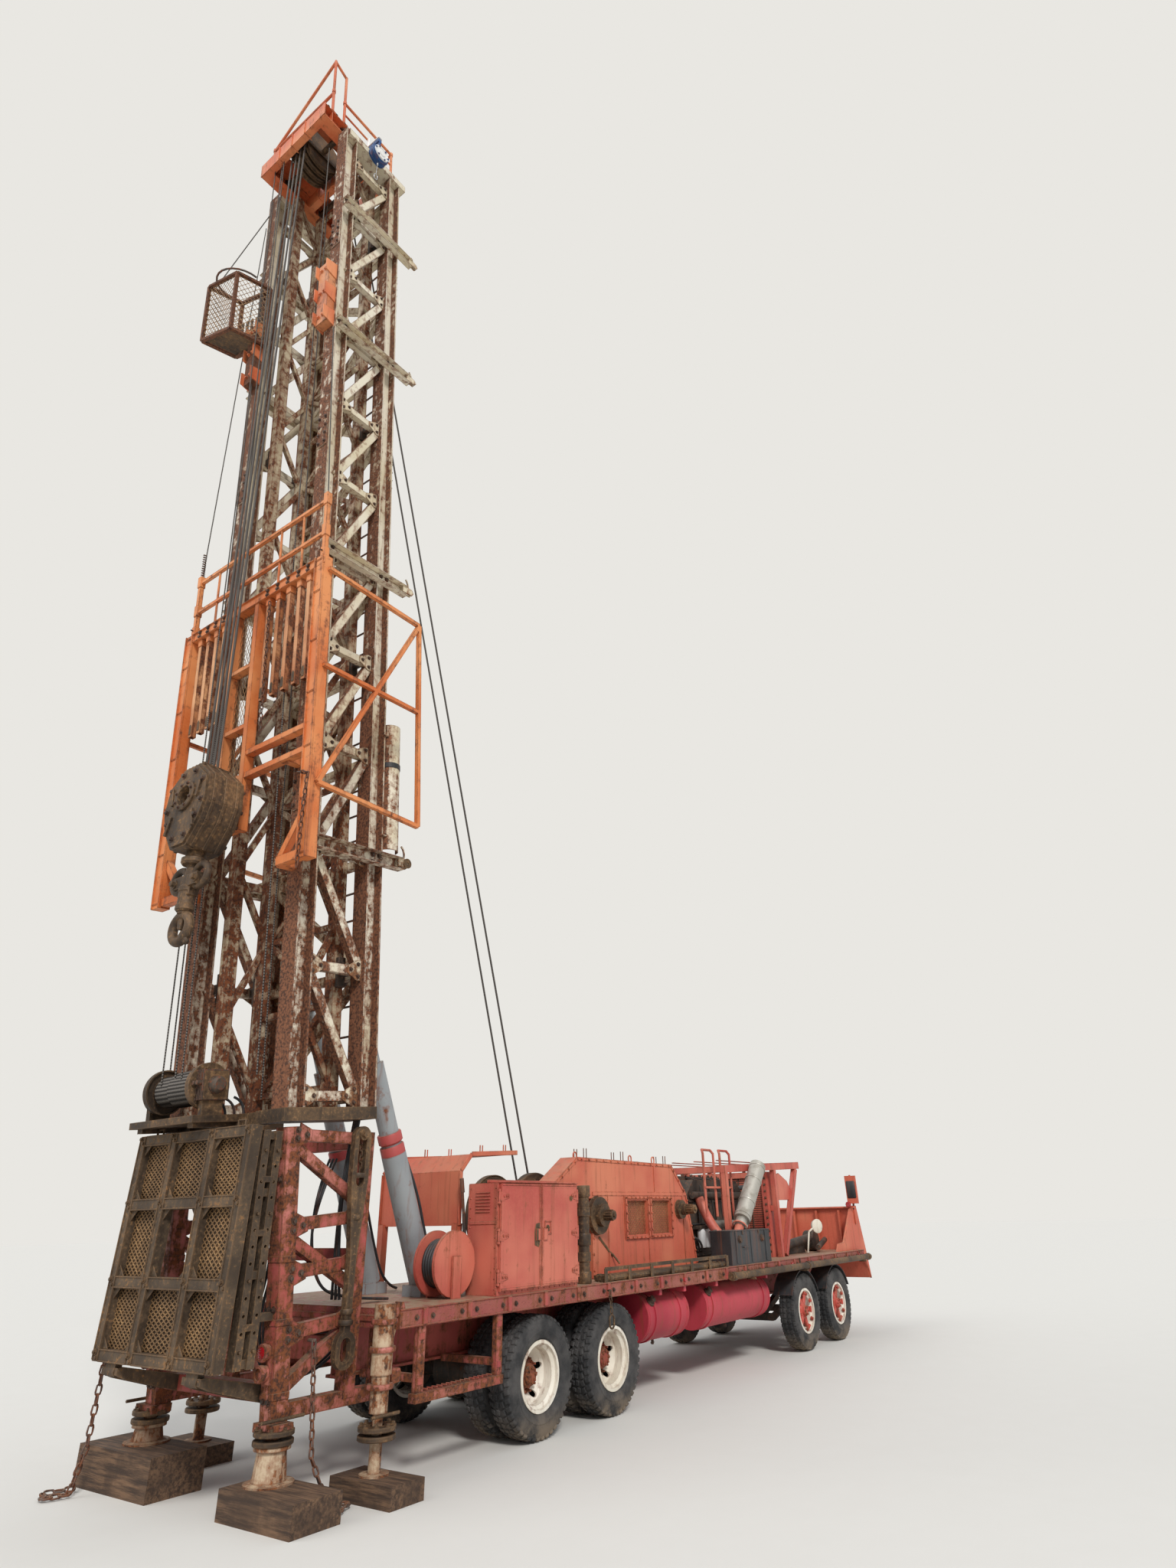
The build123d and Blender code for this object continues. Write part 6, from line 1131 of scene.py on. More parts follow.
    def drive_hub(self, name: str, body: str, place: Matrix, nut: Mesh) -> None:
        """Set the rusty hub, its flange, cap and nuts in the dish."""
        hub = [
            (0.0, -0.12), (0.165, -0.12), (0.165, -0.108), (0.118, -0.1), (0.108, -0.06), (0.1, -0.035),
            (0.085, -0.03), (0.085, -0.008), (0.075, 0.0), (0.0, 0.0),
        ]
        piece = Piece(name, Finishes.HUB, body).put(Bench.turned(hub, 40), place)
        for k in range(10):
            piece.put(nut, place @ self.polar(0.142, 36 * k, -0.106))
        for k in range(8):
            piece.put(nut, place @ self.polar(0.062, 45 * k, -0.002) @ Matrix.Scale(0.6, 4))
        stud = Bench.rod(0.011, 0.05, 8)
        for k in range(10):
            piece.put(stud, place @ self.polar(0.142, 36 * k, -0.07))
        piece.done(30)

    def spoked_hub(self) -> Mesh:
        """Make the cast hub with its six tapering spokes and cap."""
        piece = bmesh.new()
        hub = [
            (0.0, -0.05), (0.12, -0.05), (0.125, 0.03), (0.105, 0.06), (0.08, 0.072), (0.076, 0.1),
            (0.066, 0.112), (0.0, 0.114),
        ]
        parts = [(Bench.turned(hub, 36), Matrix.Identity(4))]
        spoke = Bench.block((0.085, 0.06, 0.19), 0.012, 0.7)
        toe = Bench.block((0.09, 0.075, 0.035), 0.008)
        for k in range(6):
            turn = Matrix.Rotation(math.radians(60 * k + 30), 4, "Y")
            parts.append((spoke, turn @ moved(0, 0.035, 0.18)))
            parts.append((toe, turn @ moved(0, 0.045, 0.262)))
        cap_bolt = Bench.bolt(0.02)
        for k in range(6):
            parts.append((cap_bolt, self.polar(0.052, 60 * k, 0.113)))
        for blank, place in parts:
            before = len(piece.verts)
            piece.from_mesh(blank)
            piece.verts.ensure_lookup_table()
            bmesh.ops.transform(piece, matrix=place, verts=piece.verts[before:])
        mesh = bpy.data.meshes.new("spoked_hub")
        piece.to_mesh(mesh)
        piece.free()
        return mesh


@dataclass
class Mast:
    """Gussets, splices, ladder, trough, rollers and lines that dress the mast."""

    ladder_a: float = 0.93
    ladder_y: tuple = (-0.66, -0.3)
    arms: tuple = (2.46, 6.0, 9.54, 11.9)
    splices: tuple = (3.05, 7.75, 11.3)

    def build(self) -> None:
        """Make every fitting of the mast."""
        self.side_gussets()
        self.front_gussets()
        self.leg_splices()
        self.ladder()
        self.trough()
        self.arm_fittings()
        self.guide_shoes()
        self.lines()
        self.hoses()

    def side_gussets(self) -> None:
        """Bolt a gusset over each joint between a girt and a leg."""
        outline = [(0, -0.1), (0.05, -0.1), (0.17, -0.035), (0.17, 0.035), (0.05, 0.1), (0, 0.1)]
        plate = Bench.plate(outline, 0.012)
        bolt = Bench.bolt(0.024)
        for side_name, side in SIDES.items():
            piece = Piece(f"gussets_{side_name}", Finishes.BRACES)
            bolts = Piece(f"gusset_bolts_{side_name}", Finishes.MACHINE)
            for level in LEVELS:
                for root, turn in ((0.1, 1), (MAST_DEPTH - 0.1, -1)):
                    spot = mast(root, side * 0.847, level)
                    piece.put(plate, frame_at(spot, MAST_UP, MAST_FORE * turn))
                    for reach, rise in ((0.04, 0.06), (0.04, -0.06), (0.13, 0.0)):
                        seat = mast(root + turn * reach, side * 0.853, level + rise)
                        bolts.put(bolt, frame_at(seat, (0, side, 0), MAST_UP))
            piece.done()
            bolts.done()

    def front_gussets(self) -> None:
        """Weld a plate over each joint across the front of the mast."""
        outline = [(0, -0.12), (0.06, -0.12), (0.2, -0.03), (0.2, 0.03), (0.06, 0.12), (0, 0.12)]
        plate = Bench.plate(outline, 0.01)
        piece = Piece("front_gussets", Finishes.BRACES)
        for level in LEVELS:
            for side in (-1, 1):
                spot = mast(MAST_DEPTH + 0.046, side * 0.7, level)
                piece.put(plate, frame_at(spot, MAST_UP, (0, -side, 0)))
        piece.done()

    def leg_splices(self) -> None:
        """Cover the legs' field joints with bolted plates on their rear and front flanges."""
        cover = Bench.block((0.17, 0.014, 0.5), 0.003)
        bolt = Bench.bolt(0.028)
        piece = Piece("leg_splices", Finishes.MAST)
        bolts = Piece("splice_bolts", Finishes.MACHINE)
        for side in (-1, 1):
            for depth, face in ((-0.107, -1), (MAST_DEPTH + 0.107, 1)):
                for h in self.splices:
                    centre = mast(depth, side * MAST_HALF, h)
                    piece.put(cover, frame_at(centre, MAST_UP, (0, 1, 0)))
                    for k in range(8):
                        y = side * MAST_HALF + (0.055 if k % 2 else -0.055)
                        seat = mast(depth + face * 0.007, y, h - 0.2 + 0.13 * (k // 2))
                        bolts.put(bolt, frame_at(seat, MAST_FORE * face, MAST_UP))
        piece.done()
        bolts.done()

    def ladder(self) -> None:
        """Run a climbing ladder up the front of the mast on standoffs."""
        piece = Piece("mast_ladder", Finishes.LADDER)
        for y in self.ladder_y:
            piece.rod(mast(self.ladder_a, y, 0.5), mast(self.ladder_a, y, 13.3), 0.017, 10)
            for level in LEVELS:
                piece.rod(mast(MAST_DEPTH + 0.03, y, level), mast(self.ladder_a, y, level), 0.012, 8)
        for k in range(42):
            h = 0.7 + 0.3 * k
            piece.rod(
                mast(self.ladder_a, self.ladder_y[0], h), mast(self.ladder_a, self.ladder_y[1], h), 0.012, 8,
            )
        piece.done()

    def trough(self) -> None:
        """Strap a half-round trough beside the right front leg."""
        arc = [math.radians(a) for a in range(-90, 91, 15)]
        outer = [(0.115 * math.cos(a), 0.115 * math.sin(a)) for a in arc]
        inner = [(0.107 * math.cos(a), 0.107 * math.sin(a)) for a in reversed(arc)]
        shell = Bench.plate(outer + inner, 1.5)
        piece = Piece("line_trough", Finishes.MAST)
        piece.put(shell, frame_at(mast(1.05, -0.84, 3.35), MAST_FORE, (0, -1, 0)))
        for h in (2.75, 3.95):
            piece.bar(mast(0.9, -0.9, h), mast(1.08, -0.9, h), 0.05, 0.014)
        piece.done()
        strap = Bench.plate(
            [(0.122 * math.cos(a), 0.122 * math.sin(a)) for a in arc]
            + [(0.116 * math.cos(a), 0.116 * math.sin(a)) for a in reversed(arc)], 0.06,
        )
        Piece(
            "trough_strap", Finishes.BLACK,
        ).put(strap, frame_at(mast(1.05, -0.84, 3.6), MAST_FORE, (0, -1, 0))).done()

    def arm_fittings(self) -> None:
        """Bolt the outrigger arms on and hang a roller at the tip of the lowest."""
        bolt = Bench.bolt(0.03)
        spool = Bench.turned([
            (0.012, -0.035), (0.055, -0.035), (0.055, -0.028), (0.034, -0.014), (0.034, 0.014),
            (0.055, 0.028), (0.055, 0.035), (0.012, 0.035),
        ], 24)
        ear = Bench.plate([(-0.05, -0.05), (0.1, -0.045), (0.13, 0), (0.1, 0.045), (-0.05, 0.05)], 0.012)
        bolts = Piece("arm_bolts", Finishes.MACHINE)
        rollers = Piece("arm_rollers", Finishes.GREASE)
        ears = Piece("arm_ears", Finishes.BRACES)
        for side in (-1, 1):
            for h in self.arms:
                for a in (-0.05, 0.05, 0.78, 0.87):
                    for rise in (-0.04, 0.04):
                        spot = mast(a, side * 0.912, h + rise)
                        bolts.put(bolt, frame_at(spot, (0, side, 0), MAST_UP))
                for y in (0.925, 0.965):
                    ears.put(ear, frame_at(mast(1.14, side * y, h + 0.02), MAST_UP, MAST_FORE))
            rollers.put(spool, Matrix.Translation(mast(1.22, side * 0.945, self.arms[0] + 0.02)))
        for piece in (bolts, rollers, ears):
            piece.done()

    def guide_shoes(self) -> None:
        """Set the shoes that guide the inner section at each third level."""
        shoe = Bench.block((0.09, 0.05, 0.3), 0.006)
        piece = Piece("guide_shoes", Finishes.MACHINE)
        for side in (-1, 1):
            for a in (0.19, 0.62):
                for h in LEVELS[1::3]:
                    piece.put(shoe, frame_at(mast(a, side * 0.672, h), MAST_UP, MAST_FORE))
                    piece.bar(mast(a, side * 0.69, h), mast(a, side * 0.77, h), 0.06, 0.1, MAST_FORE)
        piece.done()

    def lines(self) -> None:
        """Hang the tugger lines, the sand line and the lines that tie the board and basket up."""
        routes = {
            "tugger_line_1": (mast(-0.44, 0.18, 0.3), mast(-0.36, 0.24, 7.0), mast(-0.33, 0.26, 13.6)),
            "tugger_line_2": (mast(-0.44, 0.5, 0.3), mast(-0.35, 0.5, 7.0), mast(-0.31, 0.5, 13.62)),
            "sand_line": (mast(0.36, 0.1, 0.15), mast(0.37, 0.1, 13.6)),
            "counterweight_line": (mast(0.3, -0.34, 0.4), mast(0.33, -0.32, 13.6)),
            "board_tie_left": (mast(-0.12, 0.9, 12.9), mast(-0.27, 1.2, 6.4)),
            "board_tie_right": (mast(-0.12, -0.9, 9.4), mast(-0.27, -1.2, 6.4)),
            "basket_tie": (mast(-0.1, 0.88, 13.2), mast(-0.5, 1.46, 11.6)),
            "guide_line_left": (mast(-0.16, 0.72, 13.3), mast(-0.2, 0.73, 6.0), mast(-0.24, 0.72, 0.3)),
            "guide_line_right": (mast(-0.15, -0.58, 13.3), mast(-0.2, -0.56, 6.0), mast(-0.2, -0.6, 0.3)),
        }
        for name, route in routes.items():
            Piece(name, Finishes.ROPE).put(Bench.tube(route, 0.0075)).done(60)
        spring = [
            mast(-0.27 + 0.022 * math.sin(k * 1.2), 1.2 + 0.022 * math.cos(k * 1.2), 6.42 + 0.0065 * k)
            for k in range(60)
        ]
        Piece("tie_spring", Finishes.LADDER).put(Bench.tube(spring, 0.005)).done(60)

    def hoses(self) -> None:
        """Lead hydraulic hoses from the support frame up the right front leg and round the base."""
        piece = Piece("mast_hoses", Finishes.BLACK)
        for k in range(3):
            y = -0.66 - 0.035 * k
            piece.put(Bench.tube([
                (-5.0, -0.6 - 0.05 * k, 1.35), (-5.06, -0.64, 2.0), (-5.02, y, 2.6), mast(0.98, y, 0.3),
                mast(0.94, y, 1.2), mast(0.93, y - 0.02, 2.2),
            ], 0.013, True))
        for k in range(4):
            y = 0.2 - 0.14 * k
            piece.put(Bench.tube([
                mast(-0.15, y, 0.14), mast(-0.03, y, 0.1), (-5.9, y, 2.7), (-5.95, y, 2.3 - 0.1 * k),
                (-5.86, y * 0.9, 1.6), (-5.8, y, 0.95),
            ], 0.012, True))
        piece.done(60)


@dataclass
class RackingBoard:
    """Mesh, latches, lips, chain and sockets of the folded racking board."""

    back: float = -0.27
    fingers: tuple = (1.0, 0.84, 0.68, 0.52, -0.3, -0.48, -0.66, -0.84, -1.0)
    top: float = 5.49
    half: float = 1.2

    def build(self) -> None:
        """Make the fittings of the board."""
        self.walkway_mesh()
        self.finger_fittings()
        self.channel_lips()
        self.chain()
        self.sockets()

    def walkway_mesh(self) -> None:
        """Stretch expanded metal behind the ladder walkway."""
        a = self.back + 0.03
        corners = [mast(a, -0.085, 2.75), mast(a, 0.265, 2.75), mast(a, 0.265, 5.43), mast(a, -0.085, 5.43)]
        Piece("walkway_mesh", Finishes.MESH).lattice(corners, 7, 24, 0.0028).done()

    def finger_fittings(self) -> None:
        """Bolt each finger to the top bar and give its end a cap and a keeper."""
        bolt = Bench.bolt(0.03)
        collar = Bench.block((0.078, 0.078, 0.09), 0.004)
        keeper = Bench.plate([(-0.02, 0), (0.02, 0), (0.02, 0.1), (0.0, 0.13), (-0.02, 0.1)], 0.008)
        bolts = Piece("finger_bolts", Finishes.MACHINE)
        collars = Piece("finger_collars", Finishes.ORANGE)
        keepers = Piece("finger_keepers", Finishes.GREASE)
        for y in self.fingers:
            for rise in (-0.03, 0.03):
                spot = mast(self.back - 0.05, y, self.top + rise)
                bolts.put(bolt, frame_at(spot, -MAST_FORE, MAST_UP))
            collars.put(collar, frame_at(mast(self.back, y, 5.38), MAST_UP, (0, 1, 0)))
            keepers.put(keeper, frame_at(mast(self.back - 0.034, y, 4.16), MAST_UP, (0, 1, 0)))
        for piece in (bolts, collars, keepers):
            piece.done()

    def channel_lips(self) -> None:
        """Fold lips along the side channels, with stiffeners between them and plates at their ends."""
        piece = Piece("channel_lips", Finishes.ORANGE)
        face = self.back - 0.064
        for side in (-1, 1):
            for y in (self.half - 0.062, self.half + 0.062):
                piece.bar(mast(face, side * y, 2.15), mast(face, side * y, 5.55), 0.014, 0.03)
            for h in (2.2, 2.75, 3.3, 3.9, 4.5, 5.1, 5.5):
                piece.bar(mast(
                    face, side * (self.half - 0.055), h,
                ), mast(face, side * (self.half + 0.055), h), 0.01, 0.022)
        for y in (-self.half, self.half):
            piece.bar(mast(self.back - 0.055, y, 5.43), mast(self.back - 0.055, y, 5.55), 0.16, 0.014)
        piece.bar(mast(face + 0.012, -1.13, 5.545), mast(face + 0.012, 1.13, 5.545), 0.03, 0.012, MAST_FORE)
        piece.bar(mast(face + 0.012, -1.13, 5.435), mast(face + 0.012, 1.13, 5.435), 0.03, 0.012, MAST_FORE)
        piece.done()

    def chain(self) -> None:
        """Hang the safety chain round the right channel and down its front."""
        a = self.back - 0.095
        route = [
            mast(a, -1.13, 3.02), mast(a, -1.27, 2.98), mast(a + 0.01, -1.21, 2.6), mast(a, -1.19, 2.05),
        ]
        Piece("board_chain", Finishes.LADDER).chain(route, 0.055, 0.0065).done(60)
        tail = [mast(a, -0.42, 5.3), mast(a - 0.01, -0.45, 4.4), mast(a, -0.44, 3.7)]
        Piece("finger_chain", Finishes.LADDER).chain(tail, 0.05, 0.006).done(60)

    def sockets(self) -> None:
        """Sleeve the handrail posts and pin them."""
        sleeve = Bench.block((0.07, 0.07, 0.16), 0.005)
        pin = Bench.rod(0.009, 0.13, 10)
        piece = Piece("rail_sockets", Finishes.ORANGE)
        pins = Piece("rail_pins", Finishes.MACHINE)
        for side in (-1, 1):
            for h in (5.62, 5.93, 6.36):
                piece.put(sleeve, frame_at(mast(self.back, side * self.half, h), MAST_UP, (0, 1, 0)))
            pins.put(pin, frame_at(mast(self.back, side * self.half, 5.64), MAST_FORE, (0, 1, 0)))
            for y in (0.4, 0.8):
                piece.rod(mast(self.back, side * y, 5.52), mast(self.back, side * y, 6.34), 0.014, 10)
        piece.done()
        pins.done()


@dataclass
class RodBasket:
    """Mesh, slats, hoop and brackets of the folded rod basket."""

    corners: tuple = ((-0.14, 0.56), (-0.56, 0.76), (-0.56, 1.48), (-0.14, 1.28))
    low: float = 10.15
    high: float = 11.25

    def spot(self, corner: int, h: float) -> Vector:
        """Return a point on one of the basket's uprights, lifted by its slope."""
        a, y = self.corners[corner]
        return mast(a, y, h + 0.4 * (y - 0.56))

    def build(self) -> None:
        """Make the fittings of the basket."""
        mesh = Piece("basket_mesh", Finishes.MESH)
        for first, last, columns in ((1, 2, 9), (2, 3, 6), (0, 1, 6)):
            foot = [self.spot(first, self.low), self.spot(last, self.low)]
            head = [self.spot(last, self.high), self.spot(first, self.high)]
            mesh.lattice(foot + head, columns, 11, 0.0035)
        mesh.done()
        slats = Piece("basket_slats", Finishes.GREASE)
        for k in range(6):
            share = 0.08 + 0.16 * k
            foot = self.spot(0, self.low + 0.03).lerp(self.spot(3, self.low + 0.03), share)
            rear = self.spot(1, self.low + 0.03).lerp(self.spot(2, self.low + 0.03), share)
            slats.bar(foot, rear, 0.07, 0.03)
            slats.bar(foot, foot + MAST_UP * 0.62, 0.05, 0.02)
        slats.done()
        hoop = []
        for k in range(13):
            turn = math.pi * k / 12
            hoop.append(
                mast(-0.35 - 0.3 * math.sin(turn), 1.02 + 0.4 * math.cos(turn), 11.5 + 0.16 * math.cos(turn))
            )
        Piece("basket_hoop", Finishes.LADDER).put(Bench.tube(hoop, 0.014)).done(60)
        knots = Piece("bracket_plates", Finishes.CROWN)
        ear = Bench.plate([(-0.08, -0.14), (0.1, -0.1), (0.1, 0.1), (-0.08, 0.14)], 0.016)
        bolt = Bench.bolt(0.032)
        for side in (-1, 1):
            for h in (9.62, 10.05, 10.48):
                for y in (0.655, 0.865):
                    knots.put(ear, frame_at(mast(-0.17, side * y, h), MAST_UP, -MAST_FORE))
                for y in (0.72, 0.8):
                    knots.put(bolt, frame_at(mast(-0.222, side * y, h), -MAST_FORE, MAST_UP))
        knots.done()


@dataclass
class Crown:
    """Sheave guards, deck plates, railing sleeves and reel face of the crown."""

    base: float = 13.88

    def build(self) -> None:
        """Make the fittings of the crown."""
        self.deck_plates()
        self.sheave_guards()
        self.railing()
        self.reel()

    def deck_plates(self) -> None:
        """Lay plates and stiffeners on the crown's beams."""
        piece = Piece("crown_plates", Finishes.CROWN)
        for side in (-1, 1):
            piece.bar(mast(
                -0.38, side * 0.47, self.base + 0.004,
            ), mast(0.94, side * 0.47, self.base + 0.004), 0.3, 0.01)
            for a in (-0.25, 0.1, 0.55, 0.85):
                piece.bar(mast(a, side * 0.66, 13.64), mast(a, side * 0.66, 13.86), 0.16, 0.012)
            for a in (-0.39, 0.955):
                piece.bar(mast(a, side * 0.53, 13.75), mast(a, side * 0.75, 13.75), 0.012, 0.26, MAST_FORE)
        for a in (-0.34, 0.4, 0.9):
            for y in (-0.3, 0.0, 0.3):
                piece.bar(mast(a, y, 13.61), mast(a, y, 13.89), 0.012, 0.14)
        piece.done()
        bolt = Bench.bolt(0.032)
        bolts = Piece("crown_bolts", Finishes.MACHINE)
        for side in (-1, 1):
            for k in range(9):
                a = -0.33 + 0.15 * k
                for y in (0.56, 0.72):
                    bolts.put(bolt, frame_at(mast(a, side * y, self.base + 0.002), MAST_UP))
        bolts.done()

    def sheave_guards(self) -> None:
        """Stand guard plates either side of the main sheaves, with rope keepers over them."""
        arc = [math.radians(a) for a in range(0, 181, 15)]
        cheek = Bench.plate(
            [(0.33, -0.1)] + [(0.33 * math.cos(a), 0.33 * math.sin(a)) for a in arc] + [(-0.33, -0.1)], 0.012
        )
        piece = Piece("sheave_cheeks", Finishes.GREASE)
        for y in (-0.2, 0.2):
            piece.put(cheek, frame_at(mast(0.02, y, 13.82), MAST_UP, MAST_FORE))
        for turn in (20, 55, 90, 125, 160):
            a = math.radians(turn)
            first = mast(0.02 + 0.322 * math.cos(a), -0.2, 13.82 + 0.322 * math.sin(a))
            last = mast(0.02 + 0.322 * math.cos(a), 0.2, 13.82 + 0.322 * math.sin(a))
            piece.rod(first, last, 0.011, 10)
        piece.done()
        nut = Bench.bolt(0.07)
        caps = Piece("shaft_caps", Finishes.MACHINE)
        block = Bench.block((0.14, 0.05, 0.14), 0.01)
        for a in (0.02, 0.62):
            for side in (-1, 1):
                caps.put(nut, frame_at(mast(a, side * 0.652, 13.82), (0, side, 0), MAST_UP))
                caps.put(block, frame_at(mast(a, side * 0.62, 13.82), MAST_UP, MAST_FORE))
        caps.done()

    def railing(self) -> None:
        """Sleeve the railing's posts and join their feet with flanges."""
        flange = Bench.block((0.09, 0.09, 0.014), 0.003)
        elbow = Bench.rod(0.028, 0.06, 12)
        piece = Piece("railing_feet", Finishes.CROWN)
        for a, y in ((-0.23, 0.7), (-0.23, -0.7), (-0.02, -0.7), (0.919, -0.7), (0.919, 0.7)):
            piece.put(flange, frame_at(mast(a, y, self.base + 0.008), MAST_UP))
            for rise in (0.04, 0.54):
                piece.put(elbow, frame_at(mast(a, y, self.base + rise), MAST_UP))
        for k in range(4):
            y = -0.5 + 0.33 * k
            piece.rod(mast(0.919, y, self.base), mast(0.919, y, self.base + 0.53), 0.012, 8)
        piece.rod(mast(-0.23, 0.7, self.base + 0.28), mast(0.919, 0.7, self.base + 0.28), 0.015, 10)
        piece.rod(mast(-0.02, -0.7, self.base + 0.28), mast(0.919, -0.7, self.base + 0.28), 0.015, 10)
        piece.done()

    def reel(self) -> None:
        """Face the fall-arrest reel with its white disc, and hang its line and snap hook."""
        centre = mast(0.4145, -1.06, 13.43)
        disc = Bench.turned([
            (0.0, -0.026), (0.05, -0.026), (0.055, -0.016), (0.1, -0.012), (0.106, -0.02), (0.122, -0.02),
            (0.126, -0.004), (0.126, 0.002), (0.0, 0.002),
        ], 40)
        Piece("reel_face", Finishes.WHITE).put(disc, Matrix.Translation(centre)).done()
        band = Bench.turned([(0.141, 0.02), (0.147, 0.024), (0.147, 0.036), (0.141, 0.04)], 40)
        ribs = Piece(
            "reel_bands", Finishes.BLUE,
        ).put(band, Matrix.Translation(centre), Matrix.Translation(centre + Vector((0, 0.06, 0))))
        bolt = Bench.bolt(0.018)
        for k in range(6):
            turn = math.radians(60 * k)
            spot = centre + Vector((0.113 * math.cos(turn), -0.02, 0.113 * math.sin(turn)))
            ribs.put(bolt, frame_at(spot, (0, -1, 0)))
        ribs.done()
        hook = Piece("reel_hook", Finishes.CHROME)
        low = centre + Vector((0, 0.06, -0.14))
        hook.put(Bench.tube([low, low - Vector((0, 0, 0.32))], 0.004))
        hook.put(Bench.ring(0.03, 0.006, 0.05), Matrix.Translation(low - Vector((0, 0, 0.38))))
        hook.rod(low - Vector((0, 0, 0.03)), low - Vector((0, 0, 0.09)), 0.012, 12)
        hook.done(60)
        post = Piece("reel_post", Finishes.WHITE)
        post.bar(mast(0.4145, -0.77, 13.7), mast(0.4145, -0.77, 14.05), 0.05, 0.05)
        post.bar(mast(0.4145, -0.77, 13.84), mast(0.4145, -1.03, 13.84), 0.07, 0.02, MAST_FORE)
        post.done()


